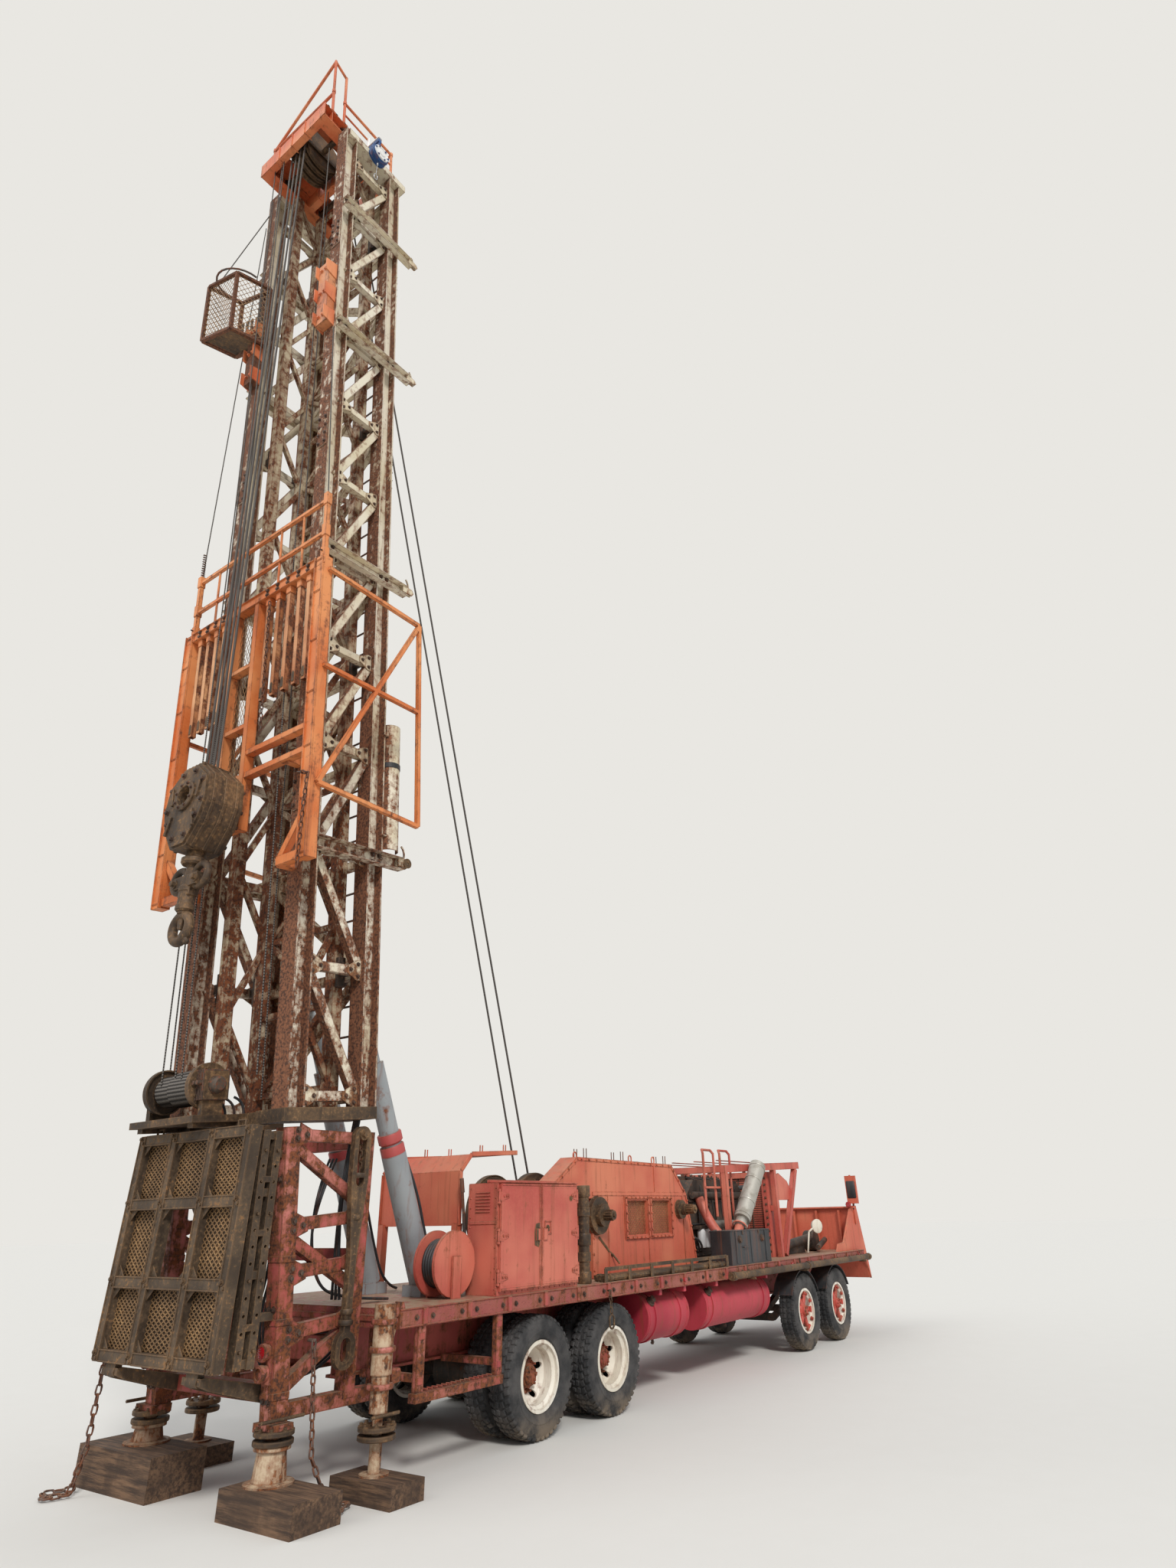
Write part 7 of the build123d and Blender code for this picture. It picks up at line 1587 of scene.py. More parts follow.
@dataclass
class TravellingBlock:
    """Cheek plates, eye ring, bolts, rope guards and hook fittings of the travelling block."""

    x: float = along(-3.95)
    z: float = 5.7
    half: tuple = ((0.13, 0.4), (0.33, 0.23), (0.36, -0.06), (0.3, -0.25), (0.13, -0.48))

    def build(self) -> None:
        """Make the fittings of the block."""
        self.cheeks()
        self.guards()
        self.hook()

    def cheeks(self) -> None:
        """Plate the front face, with a ring round the sheave pin on both faces and bolts along the edge."""
        outline = [(y * 0.86, z * 0.86) for y, z in self.half]
        outline += [(-y, z) for y, z in reversed(outline)]
        plate = Bench.plate(outline, 0.014, 0.004)
        ring = Bench.turned([
            (0.1, -0.02), (0.104, -0.03), (0.15, -0.03), (0.158, -0.02), (0.158, 0.0), (0.1, 0.0),
        ], 44)
        pin = Bench.turned([
            (
                0.0, -0.02,
            ), (0.05, -0.02), (0.056, -0.012), (0.056, 0.0), (0.088, 0.004), (0.088, 0.02), (0.0, 0.02),
        ], 36)
        bolt = Bench.bolt(0.036)
        rib = Bench.block((0.03, 0.03, 0.2), 0.005)
        faces = Piece("block_cheeks", Finishes.GREASE)
        fixings = Piece("block_bolts", Finishes.MACHINE)
        rear, front = self.x - 0.21, self.x + 0.21
        turn = QUARTER
        faces.put(plate, moved(front + 0.005, 0, self.z) @ turn)
        faces.put(ring, moved(front, 0, self.z + 0.06) @ turn)
        faces.put(ring, moved(rear, 0, self.z + 0.06) @ turn.inverted())
        faces.put(pin, moved(rear + 0.09, 0, self.z + 0.06) @ turn.inverted())
        for y, z, lean in ((0.22, 0.1, 0.2), (-0.22, 0.1, -0.2), (0.2, -0.22, -0.3), (-0.2, -0.22, 0.3)):
            faces.put(rib, frame_at((rear - 0.008, y, self.z + z), (0, lean, 1)))
        for sign in (-1, 1):
            for y, z in self.half:
                spot = Vector((0, sign * y * 0.78, self.z + z * 0.78))
                fixings.put(bolt, frame_at(Vector((rear, 0, 0)) + spot, (-1, 0, 0), (0, 1, 0)))
                fixings.put(bolt, frame_at(Vector((front + 0.01, 0, 0)) + spot, (1, 0, 0), (0, 1, 0)))
        for k in range(8):
            a = math.radians(45 * k + 20)
            spot = Vector((rear - 0.03, 0.129 * math.cos(a), self.z + 0.06 + 0.129 * math.sin(a)))
            fixings.put(bolt, frame_at(spot, (-1, 0, 0)) @ Matrix.Scale(0.6, 4))
        faces.done()
        fixings.done()

    def guards(self) -> None:
        """Fit the rope slots on top and the seams and lugs of the sides."""
        piece = Piece("block_guards", Finishes.GREASE)
        for k in range(5):
            y = -0.12 + 0.06 * k
            piece.bar((self.x - 0.17, y, self.z + 0.408), (self.x + 0.17, y, self.z + 0.408), 0.014, 0.04)
        for x in (self.x - 0.15, self.x + 0.15):
            piece.bar((x, -0.14, self.z + 0.41), (x, 0.14, self.z + 0.41), 0.03, 0.03, (1, 0, 0))
        for x in (self.x - 0.125, self.x, self.x + 0.125):
            for side in (-1, 1):
                run = [(x, side * (y + 0.002), self.z + z) for y, z in self.half]
                for first, last in zip(run, run[1:]):
                    piece.bar(first, last, 0.035, 0.022, (1, 0, 0))
        piece.done()

    def hook(self) -> None:
        """Add the swivel's nut, bail pins, spring barrel and latch of the hook."""
        foot = self.z - 0.48
        piece = Piece("hook_fittings", Finishes.GREASE)
        swivel = Bench.turned([
            (0.0, -0.08), (
                0.1, -0.08,
            ), (0.115, -0.06), (0.115, -0.02), (0.085, 0.0), (0.085, 0.05), (0.07, 0.08), (0.0, 0.08),
        ], 32)
        upright = UPRIGHT
        piece.put(swivel, moved(self.x, 0, foot - 0.05) @ upright)
        barrel = Bench.turned([
            (0.0, -0.13), (0.07, -0.13), (0.088, -0.11), (0.088, -0.07), (0.078, -0.06), (0.078, 0.06),
            (0.088, 0.07), (0.088, 0.11), (0.06, 0.14), (0.0, 0.14),
        ], 32)
        piece.put(barrel, moved(self.x, 0, foot - 0.47) @ upright)
        pin = Bench.bolt(0.07)
        for side in (-1, 1):
            for face in (-1, 1):
                spot = (self.x + face * 0.06, side * 0.17, foot - 0.3)
                piece.put(pin, frame_at(spot, (face, 0, 0)) @ Matrix.Scale(0.7, 4))
            ear = Bench.plate(
                [(-0.05, -0.09), (0.05, -0.09), (0.07, 0.0), (0.04, 0.09), (-0.04, 0.09)], 0.03, 0.005,
            )
            piece.put(ear, moved(self.x, side * 0.075, foot - 0.36))
        tip = Bench.plate([
            (-0.03, 0.12), (0.035, 0.1), (0.05, 0.0), (0.03, -0.09), (-0.02, -0.1), (-0.035, 0.0),
        ], 0.05, 0.008)
        piece.put(tip, moved(self.x, 0, foot - 0.68) @ QUARTER)
        toe = Bench.block((0.07, 0.09, 0.16), 0.014, 0.6)
        piece.put(toe, frame_at((self.x, -0.09, foot - 0.87), (0, -0.75, -0.65), (1, 0, 0)))
        piece.done()


@dataclass
class HoistLines:
    """Wire ropes from the crown to the block and the drum, with their turns on the drums."""

    block_top: float = 6.1
    drum: tuple = deck(0.95, 2.0, 0.29)

    def build(self) -> None:
        """Make the ropes and their turns."""
        ropes = Piece("block_ropes", Finishes.ROPE)
        for k in range(4):
            crown = mast(0.02 - 0.282, -0.15 + 0.1 * k, 13.82)
            foot = Vector(deck(-3.95, 0.07 * (k - 1.5), self.block_top + 0.001))
            ropes.put(self.rope(crown, foot, 0.013))
        ropes.done(60, ["hoist_lines"])
        fast = Piece("fast_lines", Finishes.ROPE)
        x, z, radius = self.drum
        for y in (-0.1, 0.1):
            start = mast(0.62 + 0.142, y, 13.82)
            run = start - Vector((x, y, z))
            outward = Vector((run.z, 0, -run.x)).normalized() * (radius + 0.0123)
            fast.put(self.rope(start, Vector((x, y, z)) + outward, 0.013))
        fast.done(60)
        self.turns("drum_1_turns", along(0.95), 2.0, 0.3)
        self.turns("drum_2_turns", along(2.5), 1.9, 0.27)

    @staticmethod
    def rope(start: Vector, end: Vector, radius: float) -> Mesh:
        """Make one straight rope whose UV X runs round it.

        Args:
            start: its upper end.
            end: its lower end.
            radius: half its thickness.

        Returns:
            The rope, already in place.
        """
        blank = Bench.rod(radius, (end - start).length, 12, 0)
        layer = blank.uv_layers.new(name="round") if not blank.uv_layers else blank.uv_layers[0]
        for polygon in blank.polygons:
            turns = []
            for index in polygon.loop_indices:
                spot = blank.vertices[blank.loops[index].vertex_index].co
                turns.append(math.atan2(spot.y, spot.x) / (2 * math.pi) % 1.0)
            wraps = max(turns) - min(turns) > 0.5
            for index, turn in zip(polygon.loop_indices, turns):
                layer.data[index].uv = (turn + 1.0 if wraps and turn < 0.5 else turn, 0.5)
        blank.transform(frame_at((start + end) / 2, end - start))
        return blank

    @staticmethod
    def turns(name: str, x: float, z: float, radius: float) -> None:
        """Lay rope turns side by side along a drum.

        Args:
            name: the piece's name.
            x: the drum's centre forward.
            z: the drum's centre up.
            radius: where the rope's middle lies.
        """
        ring = Bench.ring(radius + 0.002, 0.012, 0.0, 36)
        piece = Piece(name, Finishes.GREASE)
        for k in range(23):
            piece.put(ring, moved(x, -0.275 + 0.025 * k, z))
        piece.done(60)


@dataclass
class Winch:
    """Rope turns, motor fins, bolts and hoses of the winch at the mast's foot."""

    a: float = -0.31
    h: float = 0.25

    def build(self) -> None:
        """Make the fittings of the winch."""
        turns = Piece("winch_turns", Finishes.ROPE)
        ring = Bench.ring(0.128, 0.011, 0.0, 30)
        for k in range(26):
            turns.put(ring, Matrix.Translation(mast(self.a, -0.005 + 0.0235 * k, self.h)))
        outer = Bench.ring(0.147, 0.011, 0.0, 30)
        for k in range(15):
            turns.put(outer, Matrix.Translation(mast(self.a, 0.02 + 0.0235 * k, self.h)))
        turns.done(60)
        rims = Piece("winch_rims", Finishes.GREASE)
        rim = Bench.turned([
            (0.13, -0.026), (0.204, -0.026), (0.204, 0.026), (0.19, 0.026), (0.19, -0.016), (0.13, -0.016),
        ], 40)
        bolt = Bench.bolt(0.024)
        for y, face in ((-0.04, -1), (0.64, 1)):
            centre = mast(self.a, y, self.h)
            rims.put(rim, Matrix.Translation(centre) @ Matrix.Rotation(0 if face < 0 else math.pi, 4, "Z"))
            for k in range(10):
                turn = math.radians(36 * k)
                spot = centre + Vector((0.16 * math.cos(turn), face * 0.02, 0.16 * math.sin(turn)))
                rims.put(bolt, frame_at(spot, (0, face, 0)))
        rims.done()
        motor = Piece("winch_motor", Finishes.MACHINE)
        for k in range(6):
            motor.bar(mast(
                self.a, -0.165 + 0.024 * k, self.h - 0.13,
            ), mast(self.a, -0.165 + 0.024 * k, self.h + 0.135), 0.008, 0.27)
        cap = Bench.turned([(0.0, -0.07), (0.05, -0.07), (0.07, -0.05), (0.08, 0.0), (0.0, 0.0)], 28)
        motor.put(cap, Matrix.Translation(mast(self.a, -0.17, self.h)))
        for k in range(3):
            seat = mast(self.a - 0.12, -0.14 + 0.06 * k, self.h + 0.02)
            motor.rod(seat, seat - MAST_FORE * 0.06, 0.02, 12)
        motor.done()
        lead = [mast(
            self.a - 0.12, 0.3, self.h + 0.06,
        ), mast(-0.4, 0.31, 2.5), mast(-0.36, 0.33, 7.0), mast(-0.3, 0.35, 13.6)]
        Piece("winch_line", Finishes.ROPE).put(Bench.tube(lead, 0.008)).done(60)


@dataclass
class WorkFloor:
    """Expanded metal, gussets, eyes and bolts of the folded work floor, which ride on it."""

    columns: tuple = ((-0.76, -0.335), (-0.245, 0.245), (0.335, 0.76))
    rows: tuple = ((0.15, 0.595), (0.685, 1.195), (1.285, 1.73))
    body: str = "work_floor"

    def build(self) -> None:
        """Make the fittings of the floor."""
        mesh = Piece("floor_mesh", Finishes.MESH, self.body)
        for i, (left, right) in enumerate(self.columns):
            for j, (low, high) in enumerate(self.rows):
                if (i, j) == (1, 1):
                    continue
                out = -0.014
                corners = [on_floor(
                    left, low, out,
                ), on_floor(right, low, out), on_floor(right, high, out), on_floor(left, high, out)]
                mesh.lattice(corners, 7, 11, 0.0045)
        mesh.done()
        lips = Piece("floor_lips", Finishes.FLOOR, self.body)
        for y in (-0.805, -0.29, 0.29, 0.805):
            for edge in (-0.04, 0.04):
                lips.bar(on_floor(y + edge, 0.07, 0.053), on_floor(y + edge, 1.81, 0.053), 0.01, 0.014)
        for run in (0.105, 0.64, 1.24, 1.775):
            for edge in (-0.04, 0.04):
                for left, right in self.columns:
                    lips.bar(on_floor(
                        left, run + edge, 0.053,
                    ), on_floor(right, run + edge, 0.053), 0.012, 0.01, FLOOR_UP)
        lips.done()
        bolt = Bench.bolt(0.026)
        gusset = Bench.plate([(0, 0), (0.085, 0), (0, 0.085)], 0.008)
        fixings = Piece("floor_gussets", Finishes.FLOOR, self.body)
        for y in (-0.805, -0.29, 0.29, 0.805):
            for run in (0.105, 0.64, 1.24, 1.775):
                for dy, dr in ((-0.02, -0.02), (0.02, 0.02)):
                    spot = on_floor(y + dy, run + dr, 0.052)
                    fixings.put(bolt, frame_at(spot, FLOOR_OUT, FLOOR_UP))
        for left, right in self.columns:
            for low, high in self.rows:
                for y, turn in ((left, 1), (right, -1)):
                    fixings.put(gusset, frame_at(on_floor(y, low, 0.03), FLOOR_UP, (0, turn, 0)))
                    fixings.put(gusset, frame_at(on_floor(y, high, 0.03), -FLOOR_UP, (0, turn, 0)))
        for y in (-0.62, 0.62):
            eye = [on_floor(
                y - 0.05, 1.8, 0.0,
            ), on_floor(y - 0.05, 1.87, 0.0), on_floor(y + 0.05, 1.87, 0.0), on_floor(y + 0.05, 1.8, 0.0)]
            fixings.put(Bench.tube(eye, 0.011))
        fixings.done()


@dataclass
class Guides:
    """Pins, hooks, chains and hoses beside the floor guides."""

    def build(self) -> None:
        """Make what hangs on the guides and the rear posts."""
        pins = Piece("guide_pins", Finishes.GREASE)
        for side in (-1, 1):
            for x in (along(-3.31), along(-3.19)):
                for z in (1.08, 1.56, 2.04, 2.52):
                    pins.rod((x, side * 0.76, z), (x, side * 0.87, z), 0.0115, 12)
            for z in (1.24, 1.9, 2.3):
                pins.bar(deck(-3.31, side * 0.84, z), deck(-3.19, side * 0.84, z), 0.012, 0.05)
        pins.done()
        chains = Piece("floor_chain", Finishes.LADDER)
        chains.chain([
            deck(-3.3, 0.95, 2.62), deck(-3.34, 0.96, 1.4), deck(-3.36, 0.97, 0.34), deck(-3.42, 1.0, 0.028),
            deck(-3.6, 1.06, 0.028), deck(-3.52, 1.2, 0.028), deck(-3.3, 1.14, 0.028),
        ], 0.07, 0.008)
        chains.bar(deck(-3.3, 0.82, 2.62), deck(-3.3, 0.97, 2.62), 0.03, 0.012)
        chains.chain([
            deck(
                -2.66, -0.92, 1.1,
            ), deck(-2.62, -0.98, 0.32), deck(-2.5, -1.06, 0.028), deck(-2.42, -1.22, 0.028),
            deck(-2.6, -1.32, 0.028),
        ], 0.06, 0.0075)
        chains.bar(deck(-2.66, -0.84, 1.1), deck(-2.66, -0.94, 1.1), 0.03, 0.014)
        chains.done(60)
        hoses = Piece("support_hoses", Finishes.BLACK)
        for k in range(4):
            y = -0.66 + 0.05 * k
            hoses.put(Bench.tube([
                deck(
                    -2.95, y, 2.62,
                ), deck(-2.98, y - 0.04, 2.2), deck(-2.86, y, 1.7), deck(-2.95, y + 0.03, 1.2),
                deck(-2.8, y, 0.86 - 0.02 * k), deck(-2.4, y + 0.04, 0.8), deck(-2.2, y, 0.96),
            ], 0.012, True))
        for k in range(3):
            hoses.put(Bench.tube([
                deck(-2.3, -0.55 + 0.05 * k, 2.5), deck(-2.5, -0.5, 2.0 + 0.05 * k), deck(-2.36, -0.46, 1.5),
                deck(-2.1, -0.5, 1.34), deck(-1.5, -0.52 + 0.05 * k, 1.3),
            ], 0.012, True))
        hoses.done(60)


@dataclass
class Supports:
    """Gussets, bolts and clamps on the red frames under the mast."""

    rails: tuple = ((0.06, 0.06), (0.775, 0.71), (1.13, 1.07), (1.56, 1.5))

    def post_x(self, z: float) -> float:
        """Return how far forward the leaning rear post stands at a height."""
        share = (z - 0.56) / (2.72 - 0.56)
        return along(-2.88 - 0.19 * share)

    def build(self) -> None:
        """Make the fittings of both side frames."""
        gusset = Bench.plate([(0, -0.1), (0.14, -0.045), (0.14, 0.045), (0, 0.1)], 0.014)
        bolt = Bench.bolt(0.03)
        for side_name, side in SIDES.items():
            plates = Piece(f"support_gussets_{side_name}", Finishes.POST)
            bolts = Piece(f"support_bolts_{side_name}", Finishes.MACHINE)
            for rear, front in self.rails:
                low, high = 2.72 - rear, 2.72 - front
                x = self.post_x(low) + 0.072
                plates.put(gusset, frame_at((x, side * 0.852, low), (0, 0, 1), (1, 0, 0)))
                plates.put(gusset, frame_at(deck(-2.25, side * 0.852, high), (0, 0, 1), (-1, 0, 0)))
                for dx, dz in ((-0.06, 0.035), (-0.06, -0.035), (0.05, 0.0)):
                    bolts.put(bolt, frame_at((
                        x + 0.03 + dx, side * (0.876 if dx < 0 else 0.859), low + dz,
                    ), (0, side, 0), (0, 0, 1)))
            for z in (0.75, 1.25, 1.7):
                x = self.post_x(z)
                plates.bar((x - 0.08, side * 0.8, z), (x + 0.08, side * 0.8, z), 0.166, 0.05)
            for z in (0.72, 1.34, 2.3):
                bolts.put(bolt, frame_at((self.post_x(z) - 0.076, side * 0.83, z), (-1, 0, 0)))
                bolts.put(bolt, frame_at((self.post_x(z) - 0.076, side * 0.77, z), (-1, 0, 0)))
            plates.done()
            bolts.done()


@dataclass
class Jacks:
    """Collars, rust flanges and pins of the jacks."""

    spots: tuple = ((-2.9, -0.85), (-2.9, 0.85), (-2.16, -1.2), (-2.16, 1.2))

    def build(self) -> None:
        """Make the fittings of the four jacks."""
        bolts = Bench.bolt(0.026)
        fittings = Piece("jack_fittings", Finishes.GREASE)
        for x_at, y in self.spots:
            x, side = along(x_at), math.copysign(1, y)
            rear = abs(y) < 1
            head = 0.52 if rear else 0.46
            flange = Bench.turned([
                (0.06, -0.018), (0.15, -0.018), (0.155, -0.012), (0.155, 0.012), (0.15, 0.018), (0.06, 0.018),
            ], 32)
            upright = UPRIGHT
            for z in (head, head - 0.06):
                fittings.put(flange, moved(x, y, z) @ upright)
            for k in range(8):
                turn = math.radians(45 * k)
                spot = (x + 0.128 * math.cos(turn), y + 0.128 * math.sin(turn), head + 0.02)
                fittings.put(bolts, frame_at(spot, (0, 0, 1)))
            handle = 0.4 if rear else 0.3
            fittings.rod((
                x - handle / 2, y + side * 0.09, head + 0.09,
            ), (x + handle / 2, y + side * 0.09, head + 0.09), 0.013, 10)
        fittings.done()
        sleeves = Piece("jack_sleeves", Finishes.POST)
        for side in (-1, 1):
            x, y = along(-2.16), side * 1.2
            for z in (0.74, 1.0, 1.2):
                ring = Bench.turned([
                    (0.07, -0.02), (0.105, -0.02), (0.11, -0.012), (0.11, 0.012), (0.105, 0.02), (0.07, 0.02),
                ], 32)
                sleeves.put(ring, moved(x, y, z) @ UPRIGHT)
            ear = Bench.plate([(-0.04, -0.06), (0.05, -0.05), (0.07, 0.0), (0.05, 0.05), (-0.04, 0.06)], 0.02)
            for z in (0.8, 1.28):
                sleeves.put(ear, moved(x + 0.13, y + side * 0.03, z))
        sleeves.done()


@dataclass
class ElevatorLink:
    """Collars, pin and keeper of the long link."""

    x: float = along(-2.36)
    y: float = -0.94

    def build(self) -> None:
        """Make the fittings of the link."""
        piece = Piece("link_fittings", Finishes.GREASE)
        for z, radius in ((2.34, 0.05), (2.0, 0.043), (1.2, 0.056), (1.28, 0.048)):
            ring = Bench.turned([
                (0.03, -0.02), (
                    radius, -0.02,
                ), (radius + 0.006, -0.01), (radius + 0.006, 0.01), (radius, 0.02), (0.03, 0.02),
            ], 28)
            piece.put(ring, moved(self.x, self.y, z) @ UPRIGHT)
        piece.put(Bench.bolt(0.05), frame_at((self.x, self.y - 0.034, 2.68), (0, -1, 0)))
        piece.chain([(
            self.x + 0.03, self.y + 0.03, 2.6,
        ), (self.x + 0.1, self.y + 0.04, 1.9), (self.x + 0.02, self.y + 0.06, 1.5)], 0.05, 0.006)
        piece.done(50)


@dataclass
class RaisingRams:
    """Glands, bright rod sections and hoses of the raising rams."""

    def build(self) -> None:
        """Make the fittings of both rams."""
        top = mast(1.049, 0, 1.28)
        foot = Vector(deck(-0.93, 0, 1.38))
        run = (top - foot).normalized()
        chrome = Piece("ram_rods", Finishes.CHROME)
        barrels = Piece("ram_barrels", Finishes.BARREL)
        hoses = Piece("ram_hoses", Finishes.BLACK)
        gland = Bench.turned([
            (
                0.05, -0.06,
            ), (0.118, -0.06), (0.124, -0.05), (0.124, 0.03), (0.1, 0.05), (0.078, 0.06), (0.05, 0.06),
        ], 40)
        for side in (-1, 1):
            y = side * 0.4
            for share in (0.43, 0.47):
                spot = foot.lerp(top, share) + Vector((0, y, 0))
                barrels.put(gland, frame_at(spot, run) @ INVERTED)
            chrome.rod(
                foot.lerp(top, 0.9) + Vector((0, y, 0)), foot.lerp(top, 0.96) + Vector((0, y, 0)), 0.092, 28,
            )
            for share in (0.1, 0.26):
                barrels.put(gland, frame_at(foot.lerp(top, share) + Vector((0, y, 0)), run) @ INVERTED)
            hoses.put(Bench.tube([
                foot.lerp(top, 0.42) + Vector((0.13, y, 0.03)), foot.lerp(top, 0.3) + Vector((0.2, y, 0.06)),
                foot.lerp(top, 0.12) + Vector(
                    (0.17, y, 0.04)
                ), foot + Vector((0.22, y, -0.03)), foot + Vector((0.45, y * 1.1, -0.08)),
            ], 0.014, True))
        for piece in (chrome, barrels, hoses):
            piece.done(50)


@dataclass
class DeckEdge:
    """Stake pockets, lashing hooks and bolts along the deck."""

    rear: float = -2.03
    front: float = 9.6

    def build(self) -> None:
        """Make the fittings of the deck's edges."""
        rim = Piece("deck_rim", Finishes.RAIL)
        bolts = Piece("deck_bolts", Finishes.MACHINE)
        bolt = Bench.bolt(0.026)
        for side in (-1, 1):
            face = side * (DECK_HALF + 0.004)
            for z in (1.138, 1.27):
                rim.bar(deck(self.rear, face, z), deck(self.front, face, z), 0.012, 0.014)
            for k in range(20):
                x = along(self.rear + 0.3 + 0.58 * k)
                rim.bar(
                    (x, side * (DECK_HALF + 0.006), 1.14), (x, side * (DECK_HALF + 0.006), 1.268), 0.02, 0.06,
                )
                for dx in (-0.1, 0.1):
                    bolts.put(bolt, frame_at((x + dx, side * DECK_HALF, 1.2), (0, side, 0), (0, 0, 1)))
        for x in (along(self.rear) - 0.006, along(self.front) + 0.006):
            rim.bar((x, -1.2, 1.2), (x, 1.2, 1.2), 0.05, 0.012, (0, 0, 1))
        rim.done()
        bolts.done()
        hook = Piece("deck_hook", Finishes.GREASE)
        x = along(1.15)
        hook.chain([(x, -1.285, 1.2), (x + 0.01, -1.29, 0.98)], 0.05, 0.006)
        hook.put(Bench.ring(0.045, 0.011, 0.04, 20), moved(x + 0.01, -1.29, 0.9))
        hook.rod((x, -1.25, 1.2), (x, -1.3, 1.2), 0.012, 10)
        hook.done(60)


@dataclass
class UnderDeck:
    """Straps, valves, brake chambers, air tank and shafts below the deck."""

    tanks: tuple = ((2.15, 3.15), (3.62, 5.6))

    def build(self) -> None:
        """Make the fittings below the deck."""
        self.tank_fittings()
        self.running_gear()
        self.steps()

    def tank_fittings(self) -> None:
        """Weld end rings, fillers and drains on the tanks."""
        bands = Piece("tank_bands", Finishes.TANK)
        valves = Piece("tank_valves", Finishes.MACHINE)
        weld = Bench.turned([(0.268, -0.01), (0.276, -0.006), (0.276, 0.006), (0.268, 0.01)], 48)
        filler = Bench.turned([(
            0.0, -0.03,
        ), (0.05, -0.03), (0.056, -0.022), (0.056, 0.01), (0.04, 0.014), (0.04, 0.06), (0.0, 0.06)], 24)
        quarter = QUARTER
        for low, high in self.tanks:
            for side in (-1, 1):
                for place in (low + 0.02, low + 0.05, high - 0.05, high - 0.02):
                    bands.put(weld, moved(along(place), side * 0.88, 0.834) @ quarter)
                spot = deck(low + 0.14, side * 1.1, 1.0)
                valves.put(filler, frame_at(spot, (0, side * 0.8, 0.6)) @ UPRIGHT)
                x = along((low + high) / 2)
                valves.rod((x, side * 0.88, 0.56), (x, side * 0.88, 0.51), 0.018, 10)
                valves.bar((x - 0.04, side * 0.88, 0.53), (x + 0.04, side * 0.88, 0.53), 0.012, 0.014)
                valves.rod(deck(high, side * 0.88, 0.834), deck(high + 0.05, side * 0.88, 0.834), 0.03, 14)
        bands.done()
        valves.done()

    def running_gear(self) -> None:
        """Hang brake chambers, drums, an air tank and the drive shaft."""
        gear = Piece("running_gear", Finishes.MACHINE)
        chamber = Bench.turned([
            (
                0.0, -0.08,
            ), (0.07, -0.08), (0.082, -0.06), (0.082, -0.01), (0.09, -0.006), (0.09, 0.006), (0.082, 0.01),
            (0.082, 0.05), (0.06, 0.07), (0.0, 0.07),
        ], 28)
        drum = Bench.turned([
            (0.11, -0.07), (0.205, -0.07), (0.21, -0.06), (0.21, 0.03), (0.2, 0.05), (0.11, 0.05),
        ], 40)
        for at in (1.32, 0.0):
            for side in (-1, 1):
                place = moved(along(at) + 0.28, side * 0.5, 0.62)
                gear.put(chamber, place @ QUARTER)
                gear.rod((along(at) + 0.2, side * 0.5, 0.62), (along(at) + 0.08, side * 0.53, 0.6), 0.012, 8)
                gear.put(drum, moved(along(at), side * 0.56, TYRE_RADIUS))
        air = Bench.turned(
            [(0.0, -0.4), (0.08, -0.39), (0.12, -0.35), (0.12, 0.35), (0.08, 0.39), (0.0, 0.4)], 32,
        )
        gear.put(air, moved(along(2.0), 0, 0.86))
        gear.put(air, moved(along(5.9), 0, 0.86))
        joint = Bench.turned(
            [(0.0, -0.04), (0.075, -0.04), (0.08, -0.03), (0.08, 0.03), (0.075, 0.04), (0.0, 0.04)], 24,
        )
        for start, end in (((1.62, 0.66), (4.0, 0.95)), ((0.3, 0.6), (1.02, 0.6))):
            first, last = deck(start[0], 0.0, start[1]), deck(end[0], 0.0, end[1])
            gear.rod(first, last, 0.05, 20)
            for spot in (first, last):
                gear.put(joint, Matrix.Translation(spot) @ QUARTER)
        gear.done(50)
        lines = Piece("air_lines", Finishes.BLACK)
        for side in (-1, 1):
            lines.put(Bench.tube([
                deck(-1.8, side * 0.34, 1.0), deck(-0.6, side * 0.33, 0.96), deck(0.2, side * 0.34, 0.8),
                deck(0.28, side * 0.5, 0.71),
            ], 0.009, True))
            lines.put(Bench.tube([
                deck(-0.6, side * 0.345, 1.0), deck(3.0, side * 0.345, 0.99), deck(9.0, side * 0.345, 1.0),
            ], 0.009))
        lines.done(60)

    def steps(self) -> None:
        """Punch treads and cleats along the side steps."""
        piece = Piece("step_treads", Finishes.RAIL)
        for side in (-1, 1):
            for k in range(15):
                x = along(-1.64 + 0.06 * k)
                piece.bar((x, side * 1.17, 0.652), (x, side * 1.24, 0.652), 0.016, 0.014, (1, 0, 0))
            for x in (along(-1.73), along(-0.69)):
                for z in (0.72, 1.05):
                    piece.bar((x - 0.032, side * 1.205, z), (x + 0.032, side * 1.205, z), 0.06, 0.06)
        piece.done()


